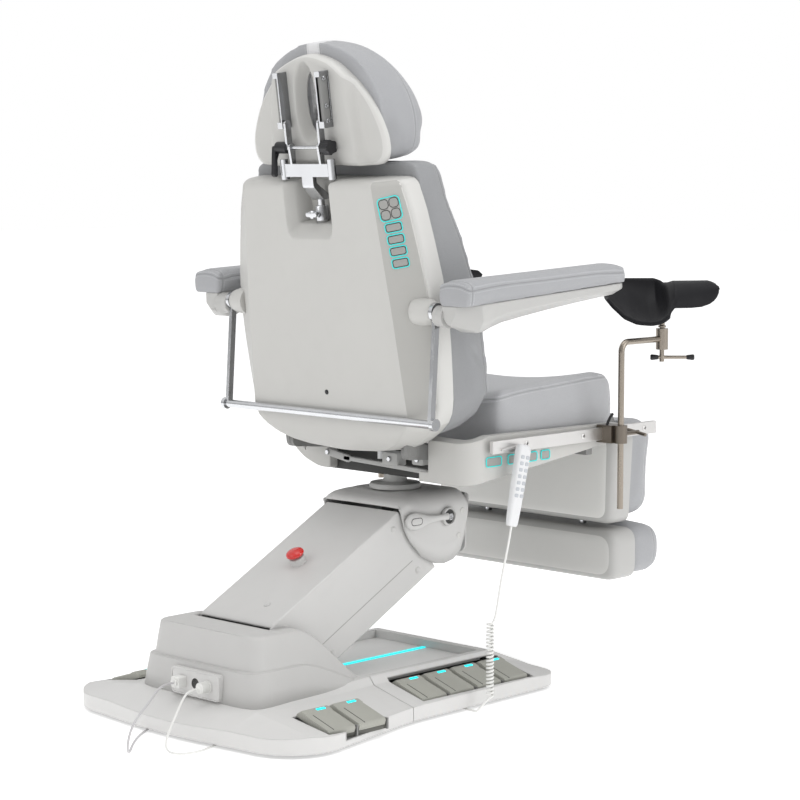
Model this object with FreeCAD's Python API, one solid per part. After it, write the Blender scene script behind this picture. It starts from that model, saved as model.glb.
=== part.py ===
import FreeCAD, Part
import math
import os

V = FreeCAD.Vector

# Motorised examination chair. Millimetres and degrees.
# It faces -Y, its right-hand side is -X, and it stands on z = 0.
# Sizes are counted from the swivel column; the finished pieces are set over the middle of the footprint.

# Clearances
RUN = 0.08            # radial play of a pin in its bore
FACE_GAP = 0.4        # side play between two pieces that move on each other
SOFT_GAP = 0.5        # room round an upholstered pad
SHELL_GAP = 1.5       # gap between neighbouring plastic shells
PLASTIC = 4.0         # wall of a moulded cover
STEEL = 10.0          # thickness of the steel cheeks and ears
BRACKET_SHEET = 5.0   # thickness of the folded steel brackets

# Middle of the footprint behind the swivel column
STANCE_Y = 39.0

# Base
FOOT_HEIGHT = 12.0
FOOT_RADIUS = 17.0
PLATE = 8.0
BASE_REAR_Y = 697.0
BASE_REAR_CORNER_Y = 655.0
BASE_REAR_HALF = 386.0
BASE_REAR_CORNER_R = 115.0
BASE_SEAM_Y = 262.0
BASE_SEAM_HALF = 306.0
BASE_FRONT_Y = -252.0
BASE_FRONT_CORNER_Y = -232.0
BASE_FRONT_HALF = 296.0
BASE_FRONT_CORNER_R = 60.0
BASE_EDGE_SWEEP_R = 1100.0
BASE_WAIST_R = 600.0
EDGE_Z = 39.0
SKIRT_FOOT_Z = 8.0
REAR_DECK_Z = 68.0
RIM_Z = 85.0
RIM_HALF = 178.0
SHOULDER = 14.0
SHOULDER_DROP = 17.0
REAR_DECK_Y = 600.0
FRONT_RIM_Y = -122.0
TRAY_HALF = 162.0
TRAY_FRONT_Y = -100.0
TRAY_DEPTH = 18.0
LIGHT_HALF = 5.0
LIGHT_FRONT_Y = -95.0
LIGHT_REAR_Y = 190.0
LIGHT_HEIGHT = 3.0

# Foot pedals
PEDAL_LENGTH = 98.0
PEDAL_RISE = 31.0
PEDAL_WIDTH = 82.0
PEDAL_PITCH = 88.0
PEDAL_HEEL = 16.0
PEDAL_HEAD = 26.0
PEDAL_PIN_IN = 12.0
PEDAL_PIN_DROP = 7.0
PEDAL_PIN_R = 3.0
PEDAL_EAR = 4.0
FRONT_PEDAL_X = 288.0
FRONT_PEDAL_Z = 43.0
FRONT_PEDAL_Y = 169.0
FRONT_PEDALS = 4
REAR_PEDAL_X = 350.0
REAR_PEDAL_Z = 44.0
REAR_PEDAL_Y = 508.0
REAR_PEDALS = 2

# Lift linkage: a raised parallelogram of one beam and one link
LIFT_Y = 455.0
LIFT_Z = 190.0
LIFT_LENGTH = 407.0
LIFT_ANGLE = 27.9
LINK_BACK = -20.0
LINK_DROP = 66.0
LIFT_PIN_R = 12.0
LINK_PIN_R = 9.0
CHEEK_IN = 80.0
BEAM_HALF = 60.0
BEAM_HALF_DEPTH = 25.0
LINK_HALF_DEPTH = 14.0
ARM_HALF = 113.0
ARM_TOP = 38.0
ARM_BOTTOM = 140.0
ARM_END = 8.0
ARM_BOTTOM_END = 50.0
ARM_CORNER_R = 14.0
ACTUATOR_R = 16.0
ARM_SADDLES = (80.0, 320.0)
ARM_SADDLE_HALF = 20.0
SCREW_R = 6.0

# Pivot housing over the foot of the lift arm
HOUSING_TOP_Z = 212.0
HOUSING_STEP_Z = 140.0
HOUSING_REAR_Y = 602.0
HOUSING_FOOT_HALF = 190.0
HOUSING_STEP_HALF = 174.0
HOUSING_TOP_HALF = 155.0
HOUSING_FRONT_Y = 268.0
HOUSING_STEP_FRONT_Y = 352.0
HOUSING_TOP_FRONT_Y = 440.0
HOUSING_DRAFT = 12.0
HOUSING_R = 42.0
HOUSING_LEDGE = 9.0
ARM_SLOT_PLAY = 4.0
PANEL_HALF = 76.0
PANEL_LOW_Z = 71.0
PANEL_HIGH_Z = 127.0
PANEL_DEPTH = 6.0
PANEL_X = -10.0
SOCKET_PITCH = 40.0
SOCKET_R = 11.0
SOCKET_DEPTH = 14.0

# Emergency stop on the arm
STOP_ALONG = 195.0
STOP_HEAD_R = 20.0
STOP_HEAD_H = 16.0
STOP_STEM_R = 9.0
STOP_COLLAR_R = 17.0
STOP_COLLAR_H = 16.0

# Lift head and swivel
HEAD_HALF = 122.0
HEAD_FRONT_Y = -112.0
HEAD_TOP_Z = 450.0
HEAD_SHOULDER_Z = 432.0
HEAD_SKIRT_Z = 286.0
HEAD_LIP = 52.0
HEAD_SCREWS = ((-92.0, 400.0), (-80.0, 345.0))
COLUMN_R = 20.0
COLUMN_FOOT_Z = 345.0
BEARING_R = 32.0
FLANGE_R = 58.0
FLANGE_H = 12.0
LEVER_Y = -41.0
LEVER_Z = 393.0
LEVER_REACH = 140.0
LEVER_R = 7.0
LEVER_SHAFT_R = 8.0
LEVER_STAND_OFF = 14.0

# Seat
BRACKET_Z = 490.0
BRACKET_HALF = 140.0
BRACKET_HALF_LENGTH = 90.0
TILT_Y = -20.0
TILT_Z = 520.0
TILT_PIN_R = 9.0
TILT_EAR_X = 104.0
PAN_Z = 545.0
PAN_HALF = 268.0
PAN_FRONT_Y = -415.0
PAN_REAR_Y = -14.0
PAN_SHEET = 6.0
CROSS_BAR = 20.0
CROSS_BAR_FRONT_Y = -300.0
CROSS_BAR_REAR_Y = -80.0
SIDE_COVER_OUT = 322.0
SIDE_COVER_DEPTH = 24.0
EAR_SLOT_PLAY = 4.0
SIDE_COVER_TOP_Z = 596.0
SIDE_COVER_REAR_Y = 96.0
SIDE_COVER_FRONT_Y = -405.0
SIDE_COVER_LOW_Z = 498.0
SIDE_COVER_LOW_Y = 53.0
SIDE_COVER_NOSE_Z = 552.0
SIDE_COVER_TAIL_Z = 488.0
SIDE_COVER_TAIL_TOP_Z = 580.0
SIDE_COVER_TAIL_X = 166.0
SIDE_COVER_BEND_Y = 102.0
SIDE_COVER_BEND_R = 45.0
SWEEP_Y = 50.0
SWEEP_Z = 570.0
SWEEP_ACROSS = 0.65
SWEEP_ALONG = 0.9
RAIL_OUT = 342.0
RAIL_THICK = 10.0
RAIL_HIGH = 28.0
RAIL_Z = 573.0
RAIL_REAR_Y = 51.0
RAIL_FRONT_Y = -513.0
RAIL_STANDOFF_R = 8.0
SEAT_HALF = 296.0
SEAT_REAR_Y = -16.0
SEAT_FRONT_Y = -432.0
SEAT_TOP_Z = 680.0
SEAT_REAR_TOP_Z = 654.0
SEAT_CROWN = -32.0
SEAT_REAR_R = 24.0
SEAT_FRONT_R = 30.0
SEAT_EAR_HEAD = 25.0
SEAT_KEY_Z = 540.0
SEAT_KEY_HIGH = 17.0
SEAT_KEY_PROUD = 2.0
SEAT_KEY_R = 4.0
SEAT_KEYS = ((28.0, 46.0), (-32.0, 26.0), (-92.0, 40.0), (-142.0, 26.0))

# Back
BACK_HINGE_Y = 60.0
BACK_HINGE_Z = 575.0
BACK_LEAN = 8.0
RECLINE_DEPTH = 81.0
RECLINE_UP = -4.0
HINGE_PIN_R = 10.0
HINGE_EAR_X = 170.0
SHELL_FRONT = 48.0
SHELL_REAR = 138.0
SHELL_FOOT = -16.0
SHELL_TOP = 590.0
SHELL_WIDEST = 311.0
SHELL_TOP_HALF = 256.0
SHELL_WIDE_HALF = 304.0
SHELL_LOW_HALF = 292.0
SHELL_LOW = 80.0
SHELL_TOP_FLAT = 196.0
SHELL_LOW_FLAT = 240.0
BACK_PLATE_DEPTH = 70.0
BACK_PLATE_HALF = 185.0
SHELL_BOSS_X = 120.0
SHELL_BOSS_R = 8.0
SHELL_BOSSES = (140.0, 420.0)
NOTCH_HALF = 52.0
NOTCH_FOOT = 470.0
NOTCH_DEPTH = 66.0
ARM_PIVOT_DEPTH = 100.0
ARM_TUBE_R = 11.0
ARM_TUBE_HALF = 350.0
ROLL_RING_R = 20.0
ROLL_ARM_X = 312.0
ROLL_ARM_THICK = 9.0
ROLL_ARM_WIDE = 14.0
ROLL_DROP = 235.0
ROLL_BAR_R = 9.0
ROLL_CAP_R = 13.0
ROLL_CAP = 10.0
BACK_CUSHION_TOP = 614.0
BACK_CUSHION_FOOT = 24.0

# Armrests
REST_IN = 340.0
REST_OUT = 430.0
REST_TILT = 2.5
REST_LENGTH = 517.0
REST_TAIL = 20.0
REST_BODY_TOP = 28.0
REST_BODY_REAR_DEPTH = 62.0
REST_BODY_FRONT_DEPTH = 22.0
REST_NECK_R = 22.0
REST_PAD = 40.0
REST_CROWN = 6.0
REST_END_R = 13.0

# Headrest, in the frame of the back
POST_DEPTH = 95.0
POST_R = 8.0
POST_FOOT = 405.0
POST_BEND = 545.0
SOCKET_TUBE_R = 14.0
SOCKET_TOP = 520.0
CROSS_PLATE_FRONT = 118.0
CROSS_PLATE = 11.0
CROSS_PLATE_HALF = 66.0
CROSS_PLATE_FOOT = 598.0
CROSS_PLATE_TOP = 626.0
SIDE_POST_X = 73.0
SIDE_POST_R = 9.0
SIDE_POST_TOP = 636.0
STEM_HALF = 17.0
LINK_PIVOT_DEPTH = 124.0
LINK_PIVOT_UP = 661.0
HEAD_PIVOT_UP = 712.0
HEAD_LINK_X = 48.0
HEAD_LINK_THICK = 6.0
HEAD_LINK_WIDE = 16.0
CROSS_ROD_R = 4.0
HEAD_RAIL_X = 57.0
HEAD_RAIL_WIDE = 15.0
HEAD_RAIL_TOP = 822.0
KNOB_R = 17.0
KNOB_LENGTH = 26.0
HEAD_LEVER_DROP = 66.0
HEAD_FRONT = 46.0
HEAD_REAR = 104.0
HEAD_FOOT = 617.0
HEAD_TOP = 866.0
HEAD_SHELL_HALF = 197.0
HEAD_REAR_HALF = 188.0
HEAD_DOME = 128.0
HEAD_PAD = 116.0
HEAD_PAD_LEAN = 50.0
HEAD_RECESS_HALF = 26.0
HEAD_RECESS_LOW = 680.0
HEAD_RECESS_HIGH = 826.0
HEAD_RECESS = 40.0

# Leg and foot sections
LEG_HINGE_Y = -470.0
LEG_HINGE_DROP = 5.0
LEG_PIN_R = 8.0
LEG_EAR_X = 214.0
LEG_HALF = 284.0
LEG_REAR_Y = -430.0
LEG_SPLIT_Y = -502.0
LEG_FRONT_Y = -600.0
LEG_TOP_Z = 590.0
LEG_HINGE_Z = LEG_TOP_Z - LEG_HINGE_DROP
LEG_FOOT_Z = 343.0
LEG_TAPER = 16.0
FOOT_HALF = 290.0
FOOT_REAR_Y = -404.0
FOOT_SET_BACK = 4.0
FOOT_SPLIT_Y = LEG_SPLIT_Y - FOOT_SET_BACK
FOOT_FRONT_Y = -620.0
FOOT_TOP_Z = 331.0
FOOT_LOW_Z = 212.0
SLIDE_TUBE = 14.0
SLIDE_X = 150.0
SLIDE_UP = 150.0
SLIDE_ROD_R = 9.0
LEG_PLATE_HALF = 220.0
LEG_SHELL_DROP = 48.0

# Stirrups
CLAMP_Y = -338.0
CLAMP_LENGTH = 44.0
CLAMP_HIGH = 40.0
CLAMP_WALL = 7.0
ROD_X = 378.0
ROD_R = 7.0
ROD_FOOT_Z = 404.0
ROD_TOP_Z = 780.0
ROD_BEND_R = 22.0
KNUCKLE_Y = -485.0
KNUCKLE_R = 14.0
KNUCKLE_HALF = 24.0
CRADLE_PIN_R = 6.0
CRADLE_YAW = 44.0
CRADLE_LENGTH = 170.0
CRADLE_TURN_LEFT = 53.0
CRADLE_SHEET = 10.0
TRAY_FLOOR_Z = 815.0
TROUGH_R = 68.0
TROUGH_WALL = 32.0
TROUGH_SHIFT = 56.0
WING = 116.0
WING_DROP = 52.0
WING_R = 20.0
TEE_DROP = 42.0
TEE_SHORT = 26.0
TEE_LONG = 74.0
TEE_R = 4.0
TEE_TIP_R = 6.5
TEE_TIP = 18.0
CLAMP_SCREW_REACH = 50.0

# Handset and its curly cord
HOOK_GAP = 0.3
HANDSET_Y = -10.0
HANDSET_Z = 488.0
HANDSET_LONG = 178.0
HANDSET_WIDE = 44.0
HANDSET_THICK = 22.0
HANDSET_LEAN = -13.0
HOOK_R = 3.0
HANDSET_CORD_D = 5.0
CURL_R = 6.4
CURL_TURNS = 20
CURL_X = -345.0
CURL_Y = 62.0
CURL_TOP_Z = 196.0
CURL_PITCH = 8.0
CORD_SAG = V(-350.0, 33.0, 290.0)
CORD_SAG_WAY = V(0.05, 0.16, -0.98)
CORD_FLOOR = V(-330.0, 88.0, 3.6)
CORD_END = V(-285.0, 84.0, 3.6)

# Leads at the rear panel
LEAD_D = 5.0
PLUG_R = 7.5
PLUG_GRIP_R = 9.0
PLUG_IN = 10.0
PLUG_OUT = 26.0
LEAD_ROUTE_LEFT = [
    V(30, 660, 99), V(16, 690, 93.5), V(-8, 724, 86), V(-36, 768, 77), V(-54, 806, 62), V(-65, 829, 43),
    V(-70, 839, 21), V(-68, 836, 3.4), V(-50, 814.8, 3.4), V(-24, 790, 3.4), V(16, 745, 3.4), V(48, 700,
    3.4),
    V(66, 668, 3.4),
]
LEAD_ROUTE_RIGHT = [
    V(-50, 660, 99), V(-62, 686, 89), V(-79, 715, 71), V(-90, 742, 47), V(-97, 760, 26), V(-104, 769, 10),
    V(-120, 773, 3.4), V(-140, 770, 3.4), V(-153, 755, 3.4), V(-157.5, 728, 3.4), V(-151, 695, 3.4),
    V(-141, 668, 3.4),
]


def box(x0, x1, y0, y1, z0, z1):
    """Box between two corners."""
    return Part.makeBox(x1 - x0, y1 - y0, z1 - z0, V(x0, y0, z0))


def rod(start, end, radius):
    """Round bar between two points."""
    return Part.makeCylinder(radius, (end - start).Length, start, end - start)


def bar_x(x0, x1, y, z, radius):
    """Round bar along X."""
    return rod(V(min(x0, x1), y, z), V(max(x0, x1), y, z), radius)


def rounded_wire(points, radii):
    """Closed outline whose corners are rounded by tangent arcs; a radius of 0 leaves a corner sharp."""
    stops = []
    count = len(points)
    for index, (point, radius) in enumerate(zip(points, radii)):
        before = (points[index - 1] - point).normalize()
        after = (points[(index + 1) % count] - point).normalize()
        half = before.getAngle(after) / 2
        setback = radius / math.tan(half)
        reach = radius / math.sin(half) - radius
        middle = point + (before + after).normalize() * reach
        stops.append((point + before * setback, middle, point + after * setback, radius))
    edges = []
    for index, (start, middle, end, radius) in enumerate(stops):
        if radius:
            edges.append(Part.Arc(start, middle, end).toShape())
        following = stops[(index + 1) % count][0]
        if (following - end).Length > 1e-6:
            edges.append(Part.makeLine(end, following))
    return Part.Wire(edges)


def slab(points, radii, depth):
    """Rounded outline pushed out along a vector."""
    return Part.Face(rounded_wire(points, radii)).extrude(depth)


def prism_x(points, radii, x0, x1):
    """Outline in (y, z) pushed from x0 to x1."""
    return slab([V(x0, y, z) for y, z in points], radii, V(x1 - x0, 0, 0))


def prism_z(points, radii, z0, z1):
    """Outline in (x, y) pushed from z0 to z1."""
    return slab([V(x, y, z0) for x, y in points], radii, V(0, 0, z1 - z0))


def fuse(first, *rest):
    """One solid out of touching pieces."""
    return first.fuse(list(rest)).removeSplitter()


def mirrored(shape):
    """The same piece on the other side of the chair."""
    return shape.mirror(V(0, 0, 0), V(1, 0, 0))


def both_sides(shape):
    """A piece and its mirror image."""
    return [shape, mirrored(shape)]


def group(shapes):
    """Separate solids kept in one node."""
    return Part.makeCompound([solid for shape in shapes for solid in shape.Solids])


def turned(shape, centre, angle):
    """Turn a piece about an X axis through centre; a positive angle takes +Z towards +Y."""
    copy = shape.copy()
    copy.rotate(centre, V(1, 0, 0), -angle)
    return copy


def on_back(shape):
    """Place a piece drawn in the upright frame of the back: depth along Y, height along Z."""
    copy = shape.copy()
    copy.rotate(V(0, 0, 0), V(1, 0, 0), -BACK_LEAN)
    copy.translate(V(0, BACK_HINGE_Y, BACK_HINGE_Z))
    return copy


def on_arm(along, up):
    """Point in (y, z) at a distance along the lift arm from its lower pivot and above its centre line."""
    slope = math.radians(LIFT_ANGLE)
    y = LIFT_Y - along * math.cos(slope) + up * math.sin(slope)
    z = LIFT_Z + along * math.sin(slope) + up * math.cos(slope)
    return y, z


def cushion(stations):
    """Pad lofted through closed sections of lines and arcs."""
    return Part.makeLoft(stations, True, True)


def rounded_rows(start, end, start_r, end_r):
    """Stations between two ends with the draw-in of a rounded end at each of them."""
    way = 1 if end > start else -1
    rows = []
    for step in range(5):
        angle = math.radians(22.5 * step)
        rows.append((start + way * start_r * (1 - math.cos(angle)), start_r * (1 - math.sin(angle))))
    for step in (4, 3, 2, 1, 0):
        angle = math.radians(22.5 * step)
        rows.append((end - way * end_r * (1 - math.cos(angle)), end_r * (1 - math.sin(angle))))
    return rows


def pad_section(place, half, low, high, crown, swell):
    """One pad section: flat foot, swelling sides, crowned top; place maps (across, up) to a point."""
    foot_left = place(-half + swell, low)
    foot_right = place(half - swell, low)
    top_left = place(-half + swell, high - crown)
    top_right = place(half - swell, high - crown)
    middle = (low + high - crown) / 2
    edges = [
        Part.makeLine(foot_left, foot_right),
        Part.Arc(foot_right, place(half, middle), top_right).toShape(),
        Part.Arc(top_right, place(0, high), top_left).toShape(),
        Part.Arc(top_left, place(-half, middle), foot_left).toShape(),
    ]
    return Part.Wire(edges)


# Base


def base_outline():
    """Plan outline of the base, mirrored about the middle."""
    side = [
        (BASE_FRONT_HALF, BASE_FRONT_CORNER_Y, BASE_FRONT_CORNER_R),
        (BASE_SEAM_HALF, BASE_SEAM_Y, BASE_WAIST_R),
        (BASE_REAR_HALF, BASE_REAR_CORNER_Y, BASE_REAR_CORNER_R),
    ]
    points = [V(0, BASE_FRONT_Y, 0)]
    radii = [BASE_EDGE_SWEEP_R]
    points += [V(x, y, 0) for x, y, radius in side]
    radii += [radius for x, y, radius in side]
    points.append(V(0, BASE_REAR_Y, 0))
    radii.append(BASE_EDGE_SWEEP_R)
    points += [V(-x, y, 0) for x, y, radius in reversed(side)]
    radii += [radius for x, y, radius in reversed(side)]
    return rounded_wire(points, radii)


def base_prism(inset, z0, z1):
    """Base outline drawn in by inset and raised between two heights."""
    wire = base_outline()
    if inset:
        wire = wire.makeOffset2D(-inset)
    solid = Part.Face(wire).extrude(V(0, 0, z1 - z0))
    solid.translate(V(0, 0, z0))
    return solid


def crown(drop):
    """Sloping top of the base, lowered by drop: high along the middle and falling to thin edges."""
    margin = 8.0
    reach = BASE_REAR_HALF + margin
    shoulder_z = RIM_Z - SHOULDER_DROP
    stations = [
        (BASE_REAR_Y + margin, HOUSING_FOOT_HALF, EDGE_Z - margin, EDGE_Z - margin, EDGE_Z - margin, reach),
        (REAR_DECK_Y, HOUSING_FOOT_HALF, REAR_DECK_Z, REAR_DECK_Z - 3, EDGE_Z, BASE_REAR_HALF),
        (BASE_SEAM_Y, RIM_HALF, RIM_Z, shoulder_z, EDGE_Z, BASE_SEAM_HALF),
        (FRONT_RIM_Y, RIM_HALF, RIM_Z, shoulder_z, EDGE_Z, BASE_FRONT_HALF),
        (BASE_FRONT_Y - margin, RIM_HALF, EDGE_Z - margin, EDGE_Z - margin, EDGE_Z - margin, reach),
    ]
    wires = []
    for y, half, top, land, edge, edge_half in stations:
        inner = half + SHOULDER
        fall = (land - edge) / (edge_half - inner) if edge_half > inner else 0
        outer_z = edge - fall * (reach - edge_half)
        right = [(reach, SKIRT_FOOT_Z - drop), (reach, outer_z - drop), (inner, land - drop), (half,
            top - drop)]
        outline = right + [(-x, z) for x, z in reversed(right)]
        corners = [V(x, y, z) for x, z in outline]
        wires.append(Part.makePolygon(corners + corners[:1]))
    return Part.makeLoft(wires, True, True)


def pedal_row(outer_x, first_y, count):
    """Plan limits of a row of pedals: inner x, outer x, front y and rear y."""
    half = PEDAL_WIDTH / 2
    return outer_x - PEDAL_LENGTH, outer_x, first_y - (count - 1) * PEDAL_PITCH - half, first_y + half


def pedal_pockets():
    """Openings in the base covers that the pedals sit in."""
    cuts = []
    for outer_x, first_y, count in (
        (FRONT_PEDAL_X, FRONT_PEDAL_Y, FRONT_PEDALS),
        (REAR_PEDAL_X, REAR_PEDAL_Y, REAR_PEDALS),
    ):
        x0, x1, y0, y1 = pedal_row(outer_x, first_y, count)
        play = (PEDAL_PITCH - PEDAL_WIDTH + PEDAL_EAR) / 2 + SOFT_GAP
        well = box(x0 - play, x1 + play, y0 - play, y1 + play, FOOT_HEIGHT + PLATE, RIM_Z + PEDAL_HEAD)
        cuts += both_sides(well)
    return cuts


def base_covers():
    """Front and rear halves of the base cover, split at the seam."""
    outer = crown(0).common(base_prism(0, SKIRT_FOOT_Z, RIM_Z + 1))
    hollow = crown(PLASTIC).common(base_prism(PLASTIC, SKIRT_FOOT_Z - PLASTIC, RIM_Z + 1))
    shell = outer.cut(hollow)
    floor_z = RIM_Z - TRAY_DEPTH
    tub = box(-TRAY_HALF - PLASTIC, TRAY_HALF + PLASTIC, TRAY_FRONT_Y - PLASTIC, BASE_SEAM_Y,
        floor_z - PLASTIC, RIM_Z)
    shell = fuse(shell, tub.common(outer))
    shell = shell.cut(box(-TRAY_HALF, TRAY_HALF, TRAY_FRONT_Y, BASE_SEAM_Y + 1, floor_z, RIM_Z + 1))
    well_half = ARM_HALF + ARM_SLOT_PLAY
    shell = shell.cut(box(-well_half, well_half, BASE_SEAM_Y - 1, REAR_DECK_Y - 50, FOOT_HEIGHT, RIM_Z + 1))
    shell = shell.cut(pedal_pockets())
    reach = BASE_REAR_Y
    seam = BASE_SEAM_Y
    top = RIM_Z + 1
    rear = shell.common(box(-reach, reach, seam + SHELL_GAP / 2, reach + 1, 0, top))
    front = shell.common(box(-reach, reach, -reach, seam - SHELL_GAP / 2, 0, top))
    return front, rear


def base_chassis():
    """Steel floor plate with the cheeks and pins of the lift linkage and the pivots of the pedals."""
    plate_top = FOOT_HEIGHT + PLATE
    pieces = [base_prism(PLASTIC + SOFT_GAP, FOOT_HEIGHT, plate_top)]
    link_y = LIFT_Y + LINK_BACK
    link_z = LIFT_Z - LINK_DROP
    spread = 48.0
    boss = LIFT_PIN_R + 10
    outline = [
        (link_y - spread, plate_top), (link_y - spread / 2, link_z), (LIFT_Y - boss, LIFT_Z + boss),
        (LIFT_Y + boss, LIFT_Z + boss), (LIFT_Y + spread, plate_top),
    ]
    cheek = prism_x(outline, [0, 20, 18, 18, 0], CHEEK_IN, CHEEK_IN + STEEL)
    pieces += both_sides(cheek)
    reach = CHEEK_IN + STEEL
    pieces.append(bar_x(-reach, reach, LIFT_Y, LIFT_Z, LIFT_PIN_R))
    pieces.append(bar_x(-reach, reach, link_y, link_z, LINK_PIN_R))
    for outer_x, outer_z, first_y, count in (
        (FRONT_PEDAL_X, FRONT_PEDAL_Z, FRONT_PEDAL_Y, FRONT_PEDALS),
        (REAR_PEDAL_X, REAR_PEDAL_Z, REAR_PEDAL_Y, REAR_PEDALS),
    ):
        pin_x = outer_x - PEDAL_PIN_IN
        pin_z = outer_z - PEDAL_PIN_DROP
        ears = [first_y + PEDAL_PITCH / 2 - index * PEDAL_PITCH for index in range(count + 1)]
        wing = PEDAL_PIN_R + 4
        for y in ears:
            ear = box(pin_x - wing, pin_x + wing, y - PEDAL_EAR / 2, y + PEDAL_EAR / 2, plate_top,
                pin_z + wing - 1)
            pieces += both_sides(ear)
        pin = rod(V(pin_x, ears[-1], pin_z), V(pin_x, ears[0], pin_z), PEDAL_PIN_R)
        pieces += both_sides(pin)
    return fuse(*pieces)


def pedal(outer_x, outer_z, y):
    """Wedge-shaped foot pedal on the left-hand side, pivoting on a pin near its outer edge."""
    inner_x = outer_x - PEDAL_LENGTH
    inner_z = outer_z + PEDAL_RISE
    outline = [
        (outer_x, outer_z - PEDAL_HEEL), (outer_x, outer_z), (inner_x, inner_z), (inner_x,
        inner_z - PEDAL_HEAD),
    ]
    start = y - PEDAL_WIDTH / 2
    body = slab([V(x, start, z) for x, z in outline], [3, 4, 6, 3], V(0, PEDAL_WIDTH, 0))
    pin_x = outer_x - PEDAL_PIN_IN
    pin_z = outer_z - PEDAL_PIN_DROP
    bore = rod(V(pin_x, start - 1, pin_z), V(pin_x, start + PEDAL_WIDTH + 1, pin_z), PEDAL_PIN_R + RUN)
    return body.cut(bore)


def pedals():
    """All foot pedals by name, counted from the rear on each side."""
    named = {}
    places = []
    for index in range(REAR_PEDALS):
        places.append((REAR_PEDAL_X, REAR_PEDAL_Z, REAR_PEDAL_Y - index * PEDAL_PITCH))
    for index in range(FRONT_PEDALS):
        places.append((FRONT_PEDAL_X, FRONT_PEDAL_Z, FRONT_PEDAL_Y - index * PEDAL_PITCH))
    for number, (outer_x, outer_z, y) in enumerate(places, 1):
        left = pedal(outer_x, outer_z, y)
        named["pedal_left_%d" % number] = left
        named["pedal_right_%d" % number] = mirrored(left)
    return named


def levelling_feet():
    """Round feet under the floor plate."""
    inset = 78.0
    spots = [
        (BASE_REAR_HALF - inset, BASE_REAR_CORNER_Y - inset), (BASE_SEAM_HALF - inset / 2, BASE_SEAM_Y),
        (BASE_FRONT_HALF - inset / 2, BASE_FRONT_CORNER_Y + inset / 2),
    ]
    feet = []
    for x, y in spots:
        foot = Part.makeCone(FOOT_RADIUS - 3, FOOT_RADIUS, FOOT_HEIGHT, V(x, y, 0))
        feet += both_sides(foot)
    return group(feet)


def tray_light():
    """Light bar along the middle of the base tray."""
    z = RIM_Z - TRAY_DEPTH
    return box(-LIGHT_HALF, LIGHT_HALF, LIGHT_FRONT_Y, LIGHT_REAR_Y, z, z + LIGHT_HEIGHT)


def housing_outline(front, rear, front_half, rear_half, z):
    """Plan of the housing at one height: narrower in front, round corners."""
    points = [V(front_half, front, z), V(rear_half, rear, z), V(-rear_half, rear, z), V(-front_half,
        front, z)]
    return rounded_wire(points, [HOUSING_R / 2, HOUSING_R, HOUSING_R, HOUSING_R / 2])


def housing_block(inset):
    """Two-tier body of the housing, drawn in by inset."""
    rear = HOUSING_REAR_Y - inset
    step = HOUSING_STEP_Z
    low = housing_outline(
        HOUSING_FRONT_Y + inset, rear, HOUSING_FOOT_HALF - inset - 30, HOUSING_FOOT_HALF - inset,
        REAR_DECK_Z - 2 - inset)
    shelf = housing_outline(
        HOUSING_STEP_FRONT_Y + inset, rear - HOUSING_DRAFT, HOUSING_STEP_HALF - inset - 12,
        HOUSING_STEP_HALF - inset,
        step - inset)
    lower = Part.makeLoft([low, shelf], True, True)
    ledge = HOUSING_LEDGE
    foot = housing_outline(
        HOUSING_STEP_FRONT_Y + inset + ledge, rear - HOUSING_DRAFT - ledge,
        HOUSING_STEP_HALF - inset - ledge - 8,
        HOUSING_STEP_HALF - inset - ledge, step - inset - 1)
    roof = housing_outline(
        HOUSING_TOP_FRONT_Y + inset, rear - 2 * HOUSING_DRAFT - ledge, HOUSING_TOP_HALF - inset - 6,
        HOUSING_TOP_HALF - inset, HOUSING_TOP_Z - inset)
    upper = Part.makeLoft([foot, roof], True, True)
    return lower.fuse(upper)


def pivot_housing():
    """Cover over the lower pivots, open in front and above for the lift arm."""
    shell = housing_block(0).cut(housing_block(PLASTIC))
    half = ARM_HALF + ARM_SLOT_PLAY
    rear_play = ARM_TOP + ARM_SLOT_PLAY
    slot = box(-half, half, 0, LIFT_Y, REAR_DECK_Z - 20, HOUSING_TOP_Z + 60)
    heel = bar_x(-half, half, LIFT_Y, LIFT_Z, rear_play)
    shell = shell.cut([slot, heel])
    deck = crown(0).common(base_prism(0, FOOT_HEIGHT, RIM_Z + 1))
    shell = shell.cut(deck)
    for x in socket_places():
        hole = rod(V(x, HOUSING_REAR_Y - 60, socket_height()), V(x, HOUSING_REAR_Y + 20, socket_height()),
            SOCKET_R)
        shell = shell.cut(hole)
    return max(shell.Solids, key=lambda solid: solid.Volume)


def socket_places():
    """Places of the three sockets across the panel."""
    return [PANEL_X + step * SOCKET_PITCH for step in (-1, 0, 1)]


def socket_height():
    """Height of the socket row."""
    return (PANEL_LOW_Z + PANEL_HIGH_Z) / 2


def panel_face_y():
    """Rear face of the connector panel."""
    return HOUSING_REAR_Y + PANEL_DEPTH


def connector_panel():
    """Raised panel on the rear of the housing with three round sockets."""
    y = HOUSING_REAR_Y - HOUSING_DRAFT
    points = [(-PANEL_HALF, PANEL_LOW_Z), (PANEL_HALF, PANEL_LOW_Z), (PANEL_HALF, PANEL_HIGH_Z),
        (-PANEL_HALF, PANEL_HIGH_Z)]
    corners = [V(PANEL_X + x, y, z) for x, z in points]
    plate = slab(corners, [8, 8, 8, 8], V(0, panel_face_y() - y, 0)).cut(housing_block(0))
    z = socket_height()
    sockets = []
    for x in socket_places():
        plate = plate.cut(rod(V(x, y - 1, z), V(x, panel_face_y() + 1, z), SOCKET_R))
        well = rod(V(x, panel_face_y() - SOCKET_DEPTH - 3, z), V(x, panel_face_y(), z), SOCKET_R - RUN)
        hole = rod(V(x, panel_face_y() - SOCKET_DEPTH, z), V(x, panel_face_y() + 1, z), SOCKET_R - 3)
        sockets.append(well.cut(hole))
    return group([plate] + sockets)


# Lift linkage


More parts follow.
